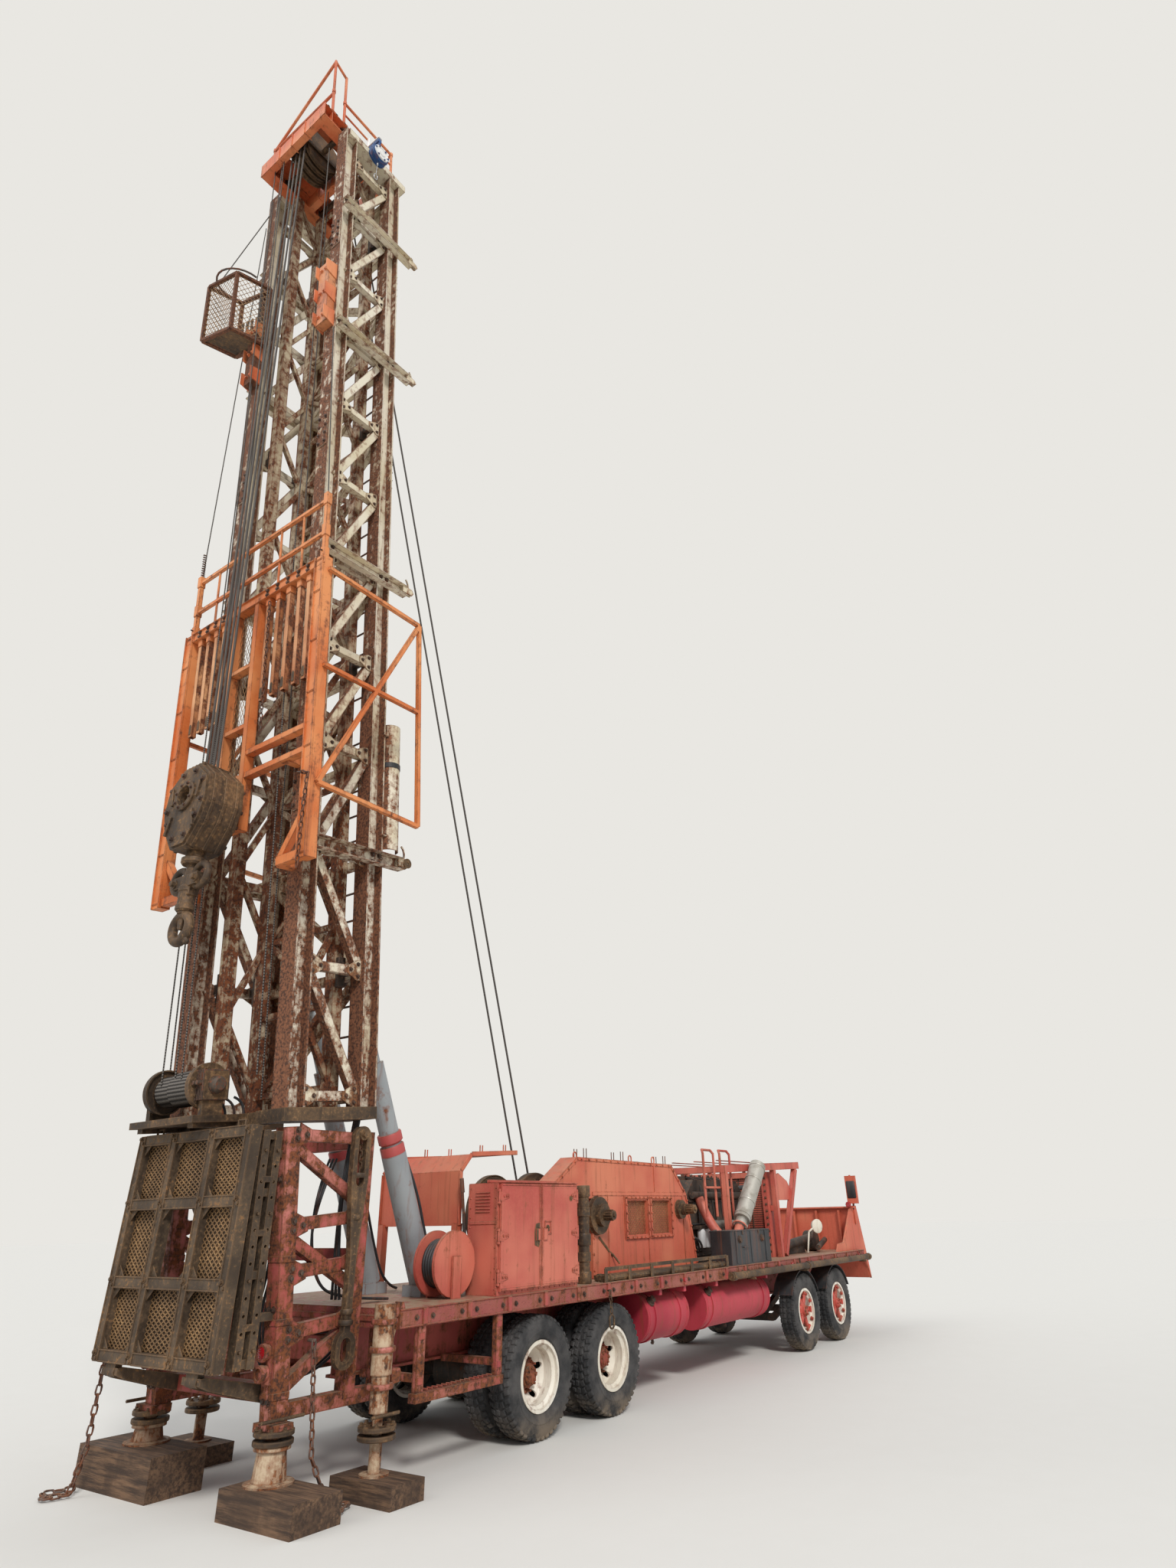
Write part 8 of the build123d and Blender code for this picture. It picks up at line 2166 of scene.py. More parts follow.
@dataclass
class Cabinet:
    """Latches, lock, hinge leaves, drip rail and rivets of the cabinet and its doors."""

    face: float = -1.22
    door_face: float = -1.251
    low: float = 1.278
    high: float = 2.29
    rear: float = -0.74
    front: float = 0.61

    def build(self) -> None:
        """Make the fittings of the cabinet and of both doors."""
        self.shell()
        self.door_rear()
        self.door_front()

    def shell(self) -> None:
        """Fit the drip rail, corner strips, side bar, vents and rivets of the fixed part."""
        trim = Piece("cabinet_trim", Finishes.CARRIER)
        trim.bar((
            along(self.rear) - 0.004, self.face - 0.012, self.high + 0.004,
        ), (along(self.front) + 0.004, self.face - 0.012, self.high + 0.004), 0.024, 0.012)
        for x in (along(self.rear) - 0.004, along(self.front) + 0.004):
            trim.bar((x, -1.21, self.low + 0.02), (x, -1.21, self.high - 0.01), 0.02, 0.008)
            trim.bar((x, -0.83, self.low + 0.02), (x, -0.83, self.high - 0.01), 0.02, 0.008)
            trim.bar((x, -1.21, 1.92), (x, -0.83, 1.92), 0.008, 0.03, (1, 0, 0))
        for k in range(7):
            z = 2.02 + 0.03 * k
            trim.bar((
                along(self.rear) - 0.006, -1.12, z,
            ), (along(self.rear) - 0.006, -0.92, z), 0.012, 0.01, (1, 0, 0))
        trim.bar((
            along(self.rear) + 0.1, -1.0, self.high + 0.02,
        ), (along(self.front) - 0.1, -1.0, self.high + 0.02), 0.05, 0.03)
        trim.done()
        rivets = Piece("cabinet_rivets", Finishes.CARRIER)
        rivet = Bench.turned(
            [(0.0, -0.005), (0.005, -0.0045), (0.009, 0.0), (0.009, 0.002), (0.0, 0.002)], 10,
        )
        for k in range(15):
            x = along(self.rear + 0.04 + 0.09 * k)
            rivets.put(rivet, moved(x, self.face, self.high - 0.006))
            rivets.put(rivet, moved(x, self.face, self.low + 0.025))
        for k in range(11):
            z = self.low + 0.06 + 0.09 * k
            for y in (-1.19, -0.85):
                spot = (along(self.rear) - 0.001, y, z)
                rivets.put(rivet, Matrix.Translation(spot) @ BACK_QUARTER)
        rivets.done(60)

    def door_rear(self) -> None:
        """Fit the chipped slam latch and the hinge leaves of the rear door."""
        body = "cabinet_door_rear"
        hinge = along(self.rear) + 0.004
        self.leaves(body, hinge, 1)
        plate = Bench.plate([
            (
                -0.05, -0.1,
            ), (0.02, -0.12), (0.045, -0.05), (0.05, 0.03), (0.03, 0.11), (-0.03, 0.1), (-0.055, 0.02),
        ], 0.004)
        latch = Piece("latch_rear", Finishes.GREASE, body)
        spot = Vector((hinge + 0.608, self.door_face - 0.003, 1.8))
        latch.put(plate, Matrix.Translation(spot))
        latch.put(
            Bench.block((0.03, 0.016, 0.11), 0.004), Matrix.Translation(spot + Vector((-0.02, -0.01, 0.0))),
        )
        for dz in (-0.06, 0.06):
            latch.put(Bench.bolt(0.014), frame_at(spot + Vector((0.02, -0.003, dz)), (0, -1, 0)))
        latch.done()

    def door_front(self) -> None:
        """Fit the framed latch and the round lock of the front door."""
        body = "cabinet_door_front"
        hinge = along(self.front) - 0.004
        self.leaves(body, hinge, -1)
        latch = Piece("latch_front", Finishes.CARRIER, body)
        spot = Vector((hinge - 0.56, self.door_face - 0.004, 1.86))
        for dx, dz, wide, tall in (
            (-0.05, 0, 0.014, 0.13), (0.05, 0, 0.014, 0.13), (0, -0.06, 0.11, 0.014), (0, 0.06, 0.11, 0.014),
        ):
            latch.put(Bench.block((wide, 0.014, tall), 0.003), Matrix.Translation(spot + Vector((dx, 0, dz))))
        latch.done()
        lock = Piece("lock_front", Finishes.GREASE, body)
        knob = Bench.turned([(
            0.0, -0.02,
        ), (0.012, -0.02), (0.014, -0.014), (0.014, -0.006), (0.026, -0.005), (0.027, 0.0), (0.0, 0.0)], 24)
        lock.put(knob, Matrix.Translation(spot + Vector((0, 0.004, 0))))
        lock.put(knob, moved(hinge - 0.14, self.door_face, 2.14))
        lock.put(
            Bench.block((0.05, 0.008, 0.03), 0.003), Matrix.Translation(spot + Vector((0.0, 0.0, -0.02))),
        )
        lock.done(50)

    def leaves(self, body: str, hinge: float, toward: int) -> None:
        """Bolt the hinge leaves and edge strips on a door.

        Args:
            body: the door's body.
            hinge: where its pin stands forward.
            toward: which way the door runs from its pin.
        """
        leaf = Bench.plate([(0, -0.04), (0.11, -0.022), (0.12, 0.0), (0.11, 0.022), (0, 0.04)], 0.005)
        bolt = Bench.bolt(0.013)
        piece = Piece(f"leaves_{body[13:]}", Finishes.CARRIER, body)
        for z in (1.436, 1.799, 2.162):
            start = Vector((hinge + toward * 0.02, self.door_face - 0.0025, z))
            piece.put(leaf, frame_at(start, (0, 0, 1), (toward, 0, 0)))
            for reach in (0.03, 0.07, 0.1):
                piece.put(bolt, frame_at(start + Vector((toward * reach, -0.003, 0)), (0, -1, 0)))
        x = hinge + toward * 0.65
        piece.bar(
            (x, self.door_face - 0.003, 1.33), (x, self.door_face - 0.003, 2.27), 0.02, 0.006, (1, 0, 0),
        )
        for z in (1.33, 2.27):
            piece.bar((
                hinge + toward * 0.03, self.door_face - 0.003, z,
            ), (hinge + toward * 0.66, self.door_face - 0.003, z), 0.006, 0.02)
        piece.done()


@dataclass
class Drawworks:
    """Brake rims, hood trim, hood pins and levers of the drums."""

    drums: tuple = ((0.95, 2.0, 0.29, 0.43), (2.5, 1.9, 0.26, 0.4))

    def build(self) -> None:
        """Make the fittings of the drums and their hood."""
        rims = Piece("brake_rims", Finishes.GREASE)
        bolt = Bench.bolt(0.03)
        for at, z, barrel, flange in self.drums:
            rim = Bench.turned([
                (barrel, -0.025), (
                    flange + 0.012, -0.025,
                ), (flange + 0.02, -0.015), (flange + 0.02, 0.06), (flange + 0.008, 0.06),
                (flange + 0.008, -0.01), (barrel, -0.01),
            ], 64)
            for side in (-1, 1):
                centre = Vector(deck(at, side * 0.35, z))
                rims.put(
                    rim, Matrix.Translation(centre) @ Matrix.Rotation(math.pi if side > 0 else 0, 4, "Z"),
                )
                for k in range(12):
                    turn = math.radians(30 * k + 8)
                    radius = (barrel + flange) / 2
                    spot = centre + Vector((radius * math.cos(turn), side * 0.026, radius * math.sin(turn)))
                    rims.put(bolt, frame_at(spot, (0, side, 0)))
        rims.done()
        hood = Piece("hood_trim", Finishes.GUARD)
        outline = [(-0.64, 1.9), (-0.64, 2.43), (-0.48, 2.6), (0.3, 2.64)]
        for side in (-1, 1):
            for first, last in zip(outline, outline[1:]):
                hood.bar(
                    deck(first[0], side * 0.605, first[1]), deck(last[0], side * 0.605, last[1]), 0.012, 0.05,
                )
        for at, top in ((-0.3, 2.61), (-0.26, 2.61), (0.1, 2.63), (0.14, 2.63)):
            for y in (-0.56, 0.3):
                hood.rod(deck(at, y, top), deck(at, y, top + 0.09), 0.007, 8)
        hood.done()
        levers = Piece("brake_levers", Finishes.LADDER)
        levers.rod(deck(-0.55, -0.68, 1.3), deck(-0.72, -0.7, 2.25), 0.016, 12)
        levers.rod(deck(-0.5, -0.6, 1.3), deck(-0.6, -0.62, 2.0), 0.014, 12)
        levers.put(Bench.rod(0.022, 0.14, 14), frame_at(deck(-0.72, -0.7, 2.28), (-0.17, 0, 0.95)))
        for k in range(4):
            x = along(-0.7)
            levers.rod((x, -0.5 + 0.07 * k, 1.3), (x - 0.05, -0.5 + 0.07 * k, 1.75), 0.009, 10)
            levers.put(Bench.block(
                (0.03, 0.03, 0.05), 0.01,
            ), frame_at((x - 0.053, -0.5 + 0.07 * k, 1.77), (-0.1, 0, 1)))
        levers.bar(deck(-0.7, -0.56, 1.42), deck(-0.7, -0.22, 1.42), 0.1, 0.18)
        levers.done()


@dataclass
class ChainGuard:
    """Seams, bolts, mesh windows, pins and the bolted covers of the chain guard."""

    face: float = -0.75
    windows: tuple = (2.62, 3.23)
    z: float = 1.925
    outline: tuple = (
        (1.58, 1.278), (
            4.18, 1.278,
        ), (4.13, 1.56), (3.97, 2.21), (3.585, 2.59), (1.29, 2.62), (0.76, 2.29), (0.76, 2.15), (1.58, 2.15),
    )

    def build(self) -> None:
        """Make the fittings of the guard."""
        self.edges()
        self.window_frames()
        self.covers()
        self.top_pins()
        self.slot()

    def edges(self) -> None:
        """Run a flange and its bolts round the guard's face."""
        flange = Piece("guard_flange", Finishes.GUARD)
        bolts = Piece("guard_bolts", Finishes.GUARD)
        bolt = Bench.bolt(0.02)
        loop = list(zip(self.outline, self.outline[1:] + self.outline[:1]))
        for (x_1, z_1), (x_2, z_2) in loop:
            first, last = Vector(deck(x_1, self.face - 0.004, z_1)), Vector(deck(x_2, self.face - 0.004, z_2))
            run = last - first
            inward = Vector((-run.z, 0, run.x)).normalized() * 0.022
            flange.bar(first + inward, last + inward, 0.006, 0.04, (0, 1, 0))
            count = max(1, round(run.length / 0.16))
            for k in range(count):
                spot = first + run * ((k + 0.5) / count) + inward - Vector((0, 0.003, 0))
                bolts.put(bolt, frame_at(spot, (0, -1, 0), (1, 0, 0)))
        for at in (1.95, 2.9, 3.85):
            flange.bar(deck(
                at, self.face - 0.005, 1.3,
            ), deck(at, self.face - 0.005, 2.18 if at < 3.5 else 2.2), 0.03, 0.008, (1, 0, 0))
            flange.bar(deck(
                at, -0.62, 2.61 if at < 3.5 else 2.35,
            ), deck(at, -0.5, 2.61 if at < 3.5 else 2.35), 0.03, 0.012, (1, 0, 0))
        flange.done()
        bolts.done()

    def window_frames(self) -> None:
        """Fill the windows with expanded metal and edge their frames with bolts."""
        mesh = Piece("window_mesh", Finishes.MESH)
        frames = Piece("window_frames", Finishes.GUARD)
        bolt = Bench.bolt(0.018)
        for centre in self.windows:
            x, y = along(centre), self.face + 0.03
            corners = [(
                x - 0.25, y, self.z - 0.2,
            ), (x + 0.25, y, self.z - 0.2), (x + 0.25, y, self.z + 0.2), (x - 0.25, y, self.z + 0.2)]
            mesh.lattice(corners, 12, 8, 0.003)
            out = self.face - 0.022
            for dz in (-0.235, 0.235):
                frames.bar((x - 0.29, out, self.z + dz), (x + 0.29, out, self.z + dz), 0.01, 0.03)
            for dx in (-0.275, 0.275):
                frames.bar((x + dx, out, self.z - 0.24), (x + dx, out, self.z + 0.24), 0.01, 0.03, (0, 1, 0))
            for k in range(6):
                for dz in (-0.235, 0.235):
                    frames.put(bolt, frame_at((x - 0.25 + 0.1 * k, out - 0.004, self.z + dz), (0, -1, 0)))
            for k in range(4):
                for dx in (-0.275, 0.275):
                    frames.put(bolt, frame_at((x + dx, out - 0.004, self.z - 0.15 + 0.1 * k), (0, -1, 0)))
        mesh.done()
        frames.done()

    def covers(self) -> None:
        """Fit bolted covers, splines and nuts on both shaft ends."""
        covers = Piece("shaft_covers", Finishes.GREASE)
        bolt = Bench.bolt(0.03)
        for at, z, radius, step_y in ((1.69, 1.96, 0.21, -0.81), (3.74, 2.01, 0.12, -0.8)):
            x = along(at)
            ring = Bench.turned([
                (radius * 0.5, -0.03), (
                    radius * 0.62, -0.03,
                ), (radius * 0.66, -0.02), (radius * 1.02, -0.014), (radius * 1.05, 0.0),
                (radius * 0.5, 0.0),
            ], 48)
            covers.put(ring, moved(x, self.face, z))
            for k in range(8):
                turn = math.radians(45 * k + 12)
                spot = (
                    x + radius * 0.86 * math.cos(turn), self.face - 0.015, z + radius * 0.86 * math.sin(turn),
                )
                covers.put(bolt, frame_at(spot, (0, -1, 0)) @ Matrix.Scale(1.0 if radius > 0.2 else 0.7, 4))
            for k in range(12):
                turn = math.radians(30 * k)
                spline = (math.cos(turn) * 0.057, math.sin(turn) * 0.057)
                covers.bar((
                    x + spline[0], step_y - 0.08, z + spline[1],
                ), (x + spline[0], step_y - 0.19, z + spline[1]), 0.012, 0.012)
            covers.put(Bench.bolt(0.07), frame_at((x, -1.0, z), (0, -1, 0)) @ Matrix.Scale(0.6, 4))
        covers.done()

    def top_pins(self) -> None:
        """Stand pairs of thin pins and lifting eyes on the top."""
        pins = Piece("guard_pins", Finishes.LADDER)
        for at, top in ((1.5, 2.62), (1.56, 2.62), (2.35, 2.61), (2.41, 2.61), (3.45, 2.59), (3.51, 2.59)):
            for y in (-0.7, -0.55):
                pins.rod(deck(at, y, top - 0.01), deck(at, y, top + 0.11), 0.006, 8)
        pins.done()
        eyes = Piece("guard_eyes", Finishes.GUARD)
        for at in (1.42, 2.7, 3.3):
            eyes.put(Bench.ring(0.035, 0.009, 0.02, 18), moved(along(at), -0.62, 2.64))
        eyes.done(60)

    def slot(self) -> None:
        """Cover the greased diagonal slot below the larger shaft."""
        slot = Piece("guard_slot", Finishes.GREASE)
        slot.bar(deck(1.72, self.face - 0.003, 1.72), deck(2.02, self.face - 0.003, 1.5), 0.006, 0.035)
        slot.bar(deck(1.75, self.face - 0.006, 1.7), deck(1.99, self.face - 0.006, 1.52), 0.01, 0.014)
        slot.rod(deck(1.98, self.face - 0.02, 1.53), deck(2.05, self.face - 0.08, 1.42), 0.012, 10)
        slot.done()


@dataclass
class EngineBay:
    """Covers, pipes, belts, fan, filters, fins and hoses round the engine."""

    def build(self) -> None:
        """Make everything between the guard and the bulkhead."""
        self.engine()
        self.front_end()
        self.gearbox()
        self.muffler()
        self.handle()
        self.tool_box()

    def engine(self) -> None:
        """Bolt the covers and runners, and hang injectors, lines and filters on the engine."""
        covers = Piece("valve_covers", Finishes.MACHINE)
        bolt = Bench.bolt(0.024)
        runner = Bench.block((0.07, 0.12, 0.09), 0.01)
        for k in range(5):
            x = along(4.92 + 0.29 * k)
            for dx in (-0.085, 0.085):
                for y in (-0.11, 0.11):
                    covers.put(bolt, frame_at((x + dx, y, 2.48), (0, 0, 1)))
            covers.rod((x, 0.0, 2.475), (x, 0.0, 2.52), 0.025, 14)
            for side in (-1, 1):
                covers.put(runner, moved(x, side * 0.44, 2.2))
                covers.bar((x, side * 0.425, 1.5), (x, side * 0.425, 2.1), 0.09, 0.02, (1, 0, 0))
                for z in (1.56, 2.04):
                    covers.put(bolt, frame_at((x, side * 0.437, z), (0, side, 0)))
        for side in (-1, 1):
            covers.bar(deck(4.6, side * 0.43, 1.42), deck(6.45, side * 0.43, 1.42), 0.03, 0.08)
            covers.bar(deck(4.6, side * 0.43, 2.12), deck(6.45, side * 0.43, 2.12), 0.03, 0.03)
        covers.done()
        lines = Piece("engine_lines", Finishes.BLACK)
        for k in range(5):
            x = along(4.92 + 0.29 * k)
            lines.put(Bench.tube([(
                x + 0.05, -0.2, 2.46,
            ), (x + 0.09, -0.36, 2.44), (x + 0.08, -0.45, 2.3), (x + 0.12, -0.46, 1.8)], 0.007, True))
        lines.put(
            Bench.tube([deck(4.6, -0.46, 1.8), deck(5.5, -0.5, 1.82), deck(6.5, -0.46, 1.8)], 0.014, True)
        )
        lines.put(
            Bench.tube([deck(6.5, -0.3, 2.3), deck(6.62, -0.4, 2.36), deck(6.72, -0.4, 2.3)], 0.035, True)
        )
        lines.put(
            Bench.tube([deck(6.45, 0.2, 1.5), deck(6.6, 0.24, 1.46), deck(6.72, 0.24, 1.5)], 0.035, True)
        )
        lines.done(60)
        can = Bench.turned([(
            0.0, -0.13,
        ), (0.05, -0.13), (0.062, -0.11), (0.062, 0.09), (0.05, 0.1), (0.05, 0.12), (0.0, 0.12)], 28)
        filters = Piece("filters", Finishes.WHITE)
        for k in range(3):
            filters.put(can, moved(along(4.75 + 0.16 * k), -0.53, 1.62) @ UPRIGHT)
        filters.done()
        head = Piece("filter_head", Finishes.MACHINE)
        head.bar(deck(4.66, -0.5, 1.76), deck(5.16, -0.5, 1.76), 0.14, 0.05)
        head.done()

    def front_end(self) -> None:
        """Set the fan, pulleys, belts, radiator fins and caps."""
        fan = Piece("fan", Finishes.WHITE)
        blade = Bench.block((0.006, 0.12, 0.26), 0.002, 1.2)
        x = along(6.62)
        for k in range(6):
            turn = Matrix.Rotation(math.radians(60 * k), 4, "X")
            fan.put(blade, moved(x, 0, 1.95) @ turn @ moved(0, 0, 0.2) @ Matrix.Rotation(0.5, 4, "Z"))
        quarter = QUARTER
        fan.put(Bench.turned(
            [(0.0, -0.05), (0.08, -0.05), (0.09, -0.03), (0.09, 0.03), (0.0, 0.03)], 24,
        ), moved(x, 0, 1.95) @ quarter)
        fan.done()
        belts = Piece("belts", Finishes.BLACK)
        pulley = Bench.turned([
            (0.0, -0.04), (0.12, -0.04), (
                0.122, -0.03,
            ), (0.1, -0.015), (0.122, 0.0), (0.1, 0.015), (0.122, 0.03), (0.12, 0.04), (0.0, 0.04),
        ], 32)
        for y, z in ((0.0, 1.5), (-0.26, 1.85), (0.26, 1.7)):
            belts.put(pulley, moved(along(6.58), y, z) @ quarter)
        belts.done()
        fins = Piece("radiator_fins", Finishes.MACHINE)
        for k in range(34):
            z = 1.42 + 0.0325 * k
            for face in (-0.089, 0.089):
                fins.bar(
                    (along(6.85) + face, -0.7, z), (along(6.85) + face, 0.7, z), 0.008, 0.008, (1, 0, 0), 0,
                )
        for k in range(7):
            y = -0.66 + 0.22 * k
            for face in (-0.094, 0.094):
                fins.bar((along(6.85) + face, y, 1.38), (along(6.85) + face, y, 2.5), 0.012, 0.02, (1, 0, 0))
        fins.done()
        caps = Piece("radiator_caps", Finishes.MACHINE)
        cap = Bench.turned([(
            0.0, -0.02,
        ), (0.05, -0.02), (0.055, -0.012), (0.055, 0.012), (0.03, 0.016), (0.03, 0.05), (0.0, 0.05)], 24)
        caps.put(cap, moved(along(6.85), -0.3, 2.6) @ INVERTED)
        for k in range(12):
            for y in (-0.72, 0.72):
                caps.put(Bench.bolt(0.022), frame_at(deck(6.72, y, 1.36 + 0.1 * k), (-1, 0, 0)))
        caps.done()

    def gearbox(self) -> None:
        """Bolt up the gearbox's flanges and lines."""
        piece = Piece("gearbox_fittings", Finishes.MACHINE)
        bolt = Bench.bolt(0.028)
        ring = Bench.turned(
            [(0.3, -0.02), (0.345, -0.02), (0.35, -0.012), (0.35, 0.012), (0.345, 0.02), (0.3, 0.02)], 48,
        )
        upright = UPRIGHT
        for z in (1.45, 1.8, 2.1):
            piece.put(ring, moved(along(3.95), -0.14, z) @ upright)
        for k in range(14):
            turn = 2 * math.pi * k / 14
            piece.put(bolt, frame_at(
                (along(3.95) + 0.3 * math.cos(turn), -0.14 + 0.3 * math.sin(turn), 2.15), (0, 0, 1),
            ))
        piece.rod(deck(3.95, -0.14, 2.15), deck(3.95, -0.14, 2.26), 0.05, 20)
        piece.rod(deck(3.95, -0.14, 2.26), deck(3.95, -0.14, 2.3), 0.075, 20)
        piece.done()
        hoses = Piece("gearbox_hoses", Finishes.BLACK)
        for k in range(5):
            y = -0.5 - 0.05 * k
            hoses.put(Bench.tube([
                deck(4.0, -0.46, 2.0 - 0.07 * k), deck(4.12, y, 1.9 - 0.06 * k), deck(4.3, y - 0.06, 1.6),
                deck(4.42, y - 0.02, 1.4), deck(4.6, -0.5, 1.4 + 0.03 * k),
            ], 0.016, True))
        hoses.done(60)

    def muffler(self) -> None:
        """Band the leaning muffler and fit its base, elbow and rain cap."""
        low, high = Vector(deck(5.15, -1.02, 1.85)), Vector(deck(5.9, -1.02, 2.62))
        run = (high - low).normalized()
        bands = Piece("muffler_bands", Finishes.MUFFLER)
        band = Bench.turned([
            (0.12, -0.014), (0.131, -0.014), (0.134, -0.008), (0.134, 0.008), (0.131, 0.014), (0.12, 0.014),
        ], 36)
        for share in (0.06, 0.3, 0.7, 0.94):
            bands.put(band, frame_at(low.lerp(high, share), run) @ UPRIGHT)
        bands.rod(low - run * 0.13, low + run * 0.01, 0.085, 24)
        bands.rod(high - run * 0.01, high + run * 0.03, 0.075, 24)
        bands.done(50)
        base = Piece("muffler_base", Finishes.CARRIER)
        base.put(Bench.tube([
            low - run * 0.12, low - run * 0.26, deck(
                4.9, -1.0, 1.56,
            ), deck(4.84, -0.86, 1.56), deck(4.8, -0.6, 1.9),
            deck(4.8, -0.5, 2.16),
        ], 0.07, True))
        base.put(band, frame_at(low - run * 0.12, run) @ UPRIGHT @ Matrix.Scale(0.85, 4))
        base.bar(deck(5.45, -0.98, 1.72), deck(5.45, -0.98, 2.08), 0.05, 0.012, (1, 0, 0))
        base.done(60)

    def handle(self) -> None:
        """Set the U-shaped handle frames, the lamp on its arm and the strut's shroud."""
        frames = Piece("engine_handles", Finishes.CARRIER)
        for x, y in ((along(4.62), -0.72), (along(5.05), -0.78)):
            frames.put(Bench.tube([(x, y, 1.9), (x, y, 2.78), (
                x + 0.03, y + 0.03, 2.83,
            ), (x + 0.3, y + 0.03, 2.83), (x + 0.33, y, 2.78), (x + 0.33, y, 1.9)], 0.02))
        frames.bar(deck(4.6, -0.74, 2.3), deck(5.4, -0.78, 2.3), 0.03, 0.03)
        shroud = Bench.plate([(0, 0), (0.62, 0.0), (0.62, 0.09), (0.42, 0.3), (0.1, 0.42), (0.0, 0.4)], 0.02)
        frames.put(shroud, moved(along(7.0), -0.82, 2.12))
        for k in range(4):
            y = -0.7 + 0.4 * k
            frames.bar(deck(5.1, y, 2.69), deck(6.8, y, 2.69), 0.04, 0.014)
        frames.done()
        lamp = Piece("work_lamp", Finishes.WHEEL)
        lamp.rod(deck(7.7, -0.95, 1.3), deck(7.8, -0.97, 1.62), 0.014, 10)
        lamp.rod(deck(7.8, -0.97, 1.62), deck(8.02, -1.0, 1.7), 0.014, 10)
        bowl = Bench.turned(
            [(0.0, -0.02), (0.1, -0.03), (0.112, -0.02), (0.1, 0.03), (0.05, 0.07), (0.0, 0.08)], 28,
        )
        lamp.put(bowl, moved(along(8.05), -1.02, 1.7) @ Matrix.Rotation(-0.5, 4, "Z"))
        lamp.done(50)
        stock = Piece("front_deck_gear", Finishes.MACHINE)
        stock.rod(deck(7.3, -0.7, 1.42), deck(8.6, -0.62, 1.5), 0.07, 20)
        stock.bar(deck(7.6, -0.5, 1.35), deck(8.3, -0.5, 1.35), 0.3, 0.14)
        stock.rod(deck(8.3, -0.9, 1.36), deck(9.1, -0.72, 1.46), 0.045, 16)
        stock.put(Bench.turned(
            [(0.0, -0.1), (0.16, -0.1), (0.17, -0.08), (0.17, 0.08), (0.16, 0.1), (0.0, 0.1)], 32,
        ), moved(along(8.85), -0.55, 1.45))
        stock.done()

    def tool_box(self) -> None:
        """Fit the lid, handles, ribs and round fittings of the black box."""
        box = Piece("box_fittings", Finishes.BLACK)
        box.bar(deck(4.34, -1.055, 1.712), deck(5.64, -1.055, 1.712), 0.345, 0.016)
        for at in (4.5, 4.99, 5.48):
            box.bar(deck(at, -1.224, 1.3), deck(at, -1.224, 1.7), 0.04, 0.012, (1, 0, 0))
        box.put(Bench.tube([
            deck(4.7, -1.222, 1.5), deck(4.7, -1.25, 1.5), deck(4.84, -1.25, 1.5), deck(4.84, -1.222, 1.5),
        ], 0.008))
        box.done()
        lugs = Piece("box_latches", Finishes.MACHINE)
        cap = Bench.turned([(
            0.0, -0.03,
        ), (0.035, -0.03), (0.04, -0.022), (0.04, -0.006), (0.052, -0.005), (0.052, 0.002), (0.0, 0.002)], 24)
        for at in (4.62, 5.36):
            lugs.put(cap, moved(along(at), -1.222, 1.6))
        for at in (4.72, 5.26):
            lugs.bar(deck(at, -1.226, 1.66), deck(at, -1.226, 1.72), 0.03, 0.012, (1, 0, 0))
        for at in (4.5, 5.48):
            lugs.rod((along(at) - 0.05, -0.89, 1.72), (along(at) + 0.05, -0.89, 1.72), 0.012, 12)
        lugs.done()


@dataclass
class Bulkhead:
    """Ribs, mirror backs and the small red lamp of the front bulkhead."""

    x: float = along(9.56)

    def build(self) -> None:
        """Make the fittings of the bulkhead."""
        ribs = Piece("bulkhead_ribs", Finishes.GUARD)
        for y in (-0.9, -0.45, 0.0, 0.45, 0.9):
            ribs.bar((self.x - 0.06, y, 1.3), (self.x - 0.06, y, 1.94), 0.04, 0.04, (1, 0, 0))
        ribs.bar((self.x - 0.05, -1.22, 1.985), (self.x - 0.05, 1.22, 1.985), 0.06, 0.03, (1, 0, 0))
        ribs.done()
        mirror = Piece("mirror_backs", Finishes.BLACK)
        shell = Bench.block((0.03, 0.17, 0.3), 0.014)
        for side in (-1, 1):
            mirror.put(shell, moved(along(9.6) - 0.03, side * 1.18, 2.285))
            mirror.put(Bench.tube([
                deck(9.62, side * 1.16, 1.95), deck(9.63, side * 1.2, 2.1), deck(9.62, side * 1.19, 2.24),
            ], 0.01, True))
        mirror.done(50)
        lamp = Bench.turned([(0.0, -0.03), (0.04, -0.026), (0.05, -0.01), (0.05, 0.02), (0.0, 0.02)], 24)
        lens = Piece("marker_lamps", Finishes.LENS)
        for side in (-1, 1):
            place = moved(self.x - 0.11, side * 1.13, 2.03)
            lens.put(lamp, place @ BACK_QUARTER)
        for at in (2.9, 6.3, 9.3):
            for side in (-1, 1):
                place = moved(along(at), side * (DECK_HALF + 0.008), 1.2)
                lens.put(
                    lamp, place @ Matrix.Rotation(0 if side < 0 else math.pi, 4, "Z") @ Matrix.Scale(0.6, 4),
                )
        lens.done()


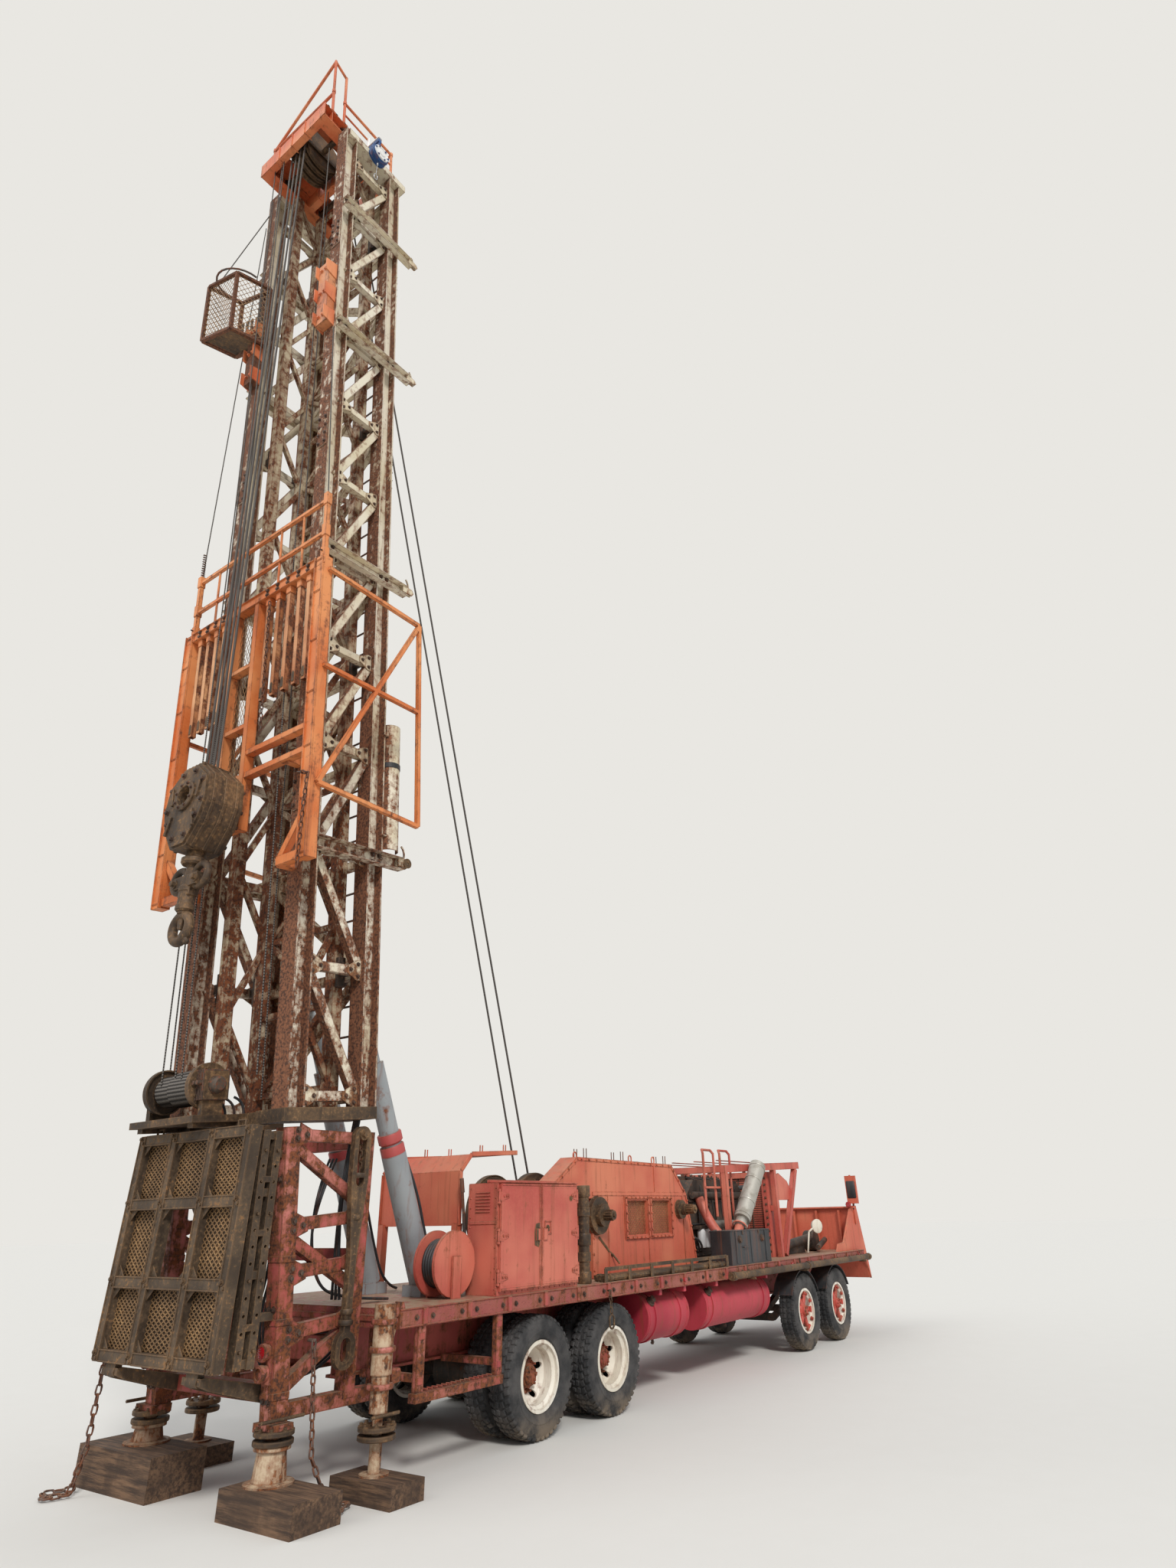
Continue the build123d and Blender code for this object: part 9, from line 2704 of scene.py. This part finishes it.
@dataclass
class TailLights:
    """Red lenses, their rims and the empty cups at the rear."""

    x: float = -5.816

    def build(self) -> None:
        """Make both sides' lamps."""
        quarter = BACK_QUARTER
        lens = Bench.turned([(0.0, -0.02), (0.025, -0.019), (0.042, -0.012), (0.046, 0.0), (0.0, 0.0)], 28)
        ring = Bench.turned([
            (0.044, -0.012), (0.06, -0.012), (0.064, -0.006), (0.064, 0.02), (0.057, 0.02), (0.044, 0.004),
        ], 36)
        cup = Bench.turned([(
            0.04, -0.02,
        ), (0.058, -0.02), (0.06, -0.014), (0.06, 0.02), (0.055, 0.02), (0.052, -0.008), (0.04, -0.01)], 32)
        glass = Piece("tail_lenses", Finishes.LENS)
        rims = Piece("tail_rims", Finishes.POST)
        for side in (-1, 1):
            glass.put(lens, moved(self.x, side * 0.8, 1.05) @ quarter)
            rims.put(ring, moved(self.x, side * 0.8, 1.05) @ quarter)
            rims.put(cup, moved(self.x, side * 0.8, 0.91) @ quarter)
        glass.done()
        rims.done()
        wires = Piece("tail_wires", Finishes.BLACK)
        for side in (-1, 1):
            wires.put(Bench.tube([(
                self.x + 0.06, side * 0.8, 1.03,
            ), (self.x + 0.14, side * 0.76, 0.98), (self.x + 0.4, side * 0.7, 1.1)], 0.008, True))
            wires.put(Bench.tube([(
                self.x + 0.06, side * 0.8, 0.9,
            ), (self.x + 0.13, side * 0.77, 0.86), (self.x + 0.14, side * 0.76, 0.98)], 0.008, True))
        wires.done(60)


@dataclass
class DeckPipes:
    """Couplings of the pipes on and beside the deck, and the hose coiled on its reel."""

    def build(self) -> None:
        """Make the fittings of the pipes."""
        piece = Piece("pipe_fittings", Finishes.GREASE)
        x = along(0.92)
        collar = Bench.turned([
            (0.055, -0.06), (0.074, -0.06), (0.078, -0.052), (0.078, 0.052), (0.074, 0.06), (0.055, 0.06),
        ], 32)
        for z in (1.34, 1.72, 2.22):
            piece.put(collar, moved(x, -1.1, z) @ UPRIGHT)
        for y in (-1.185, -1.113, -1.041):
            for at in (1.3, 4.0):
                place = moved(along(at), y, 1.312) @ QUARTER
                piece.put(collar, place @ Matrix.Scale(0.55, 4))
        for at in (4.16, 6.8, 9.6):
            place = moved(along(at), -1.312, 1.165) @ QUARTER
            piece.put(collar, place @ Matrix.Scale(0.72, 4))
        piece.done()
        reel = Piece("reel_hose", Finishes.BLACK)
        ring = Bench.ring(0.2, 0.018, 0.0, 36)
        for k in range(6):
            reel.put(ring, moved(along(-1.06), -0.9 + 0.034 * k, 1.575))
        reel.done(60)


class Fittings:
    """Every sub-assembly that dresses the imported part, in the order it is made."""

    PARTS = (
        Wheels, Mast, RackingBoard, RodBasket, Crown, TravellingBlock, HoistLines, Winch, WorkFloor,
        Guides, Supports,
        Jacks, ElevatorLink, RaisingRams, DeckEdge, UnderDeck, Cabinet, Drawworks, ChainGuard, EngineBay,
        Bulkhead,
        TailLights, DeckPipes,
    )

    def build(self) -> None:
        """Make each sub-assembly."""
        for part in self.PARTS:
            LOG.info("-- %s", part.__name__)
            part().build()


def main() -> None:
    """Build the rig's looks in order."""
    logging.basicConfig(level=logging.INFO, format="%(message)s")
    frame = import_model()
    Stage().build()
    Frame().dress(frame["nodes"])
    Fittings().build()


if __name__ == "__main__":
    main()
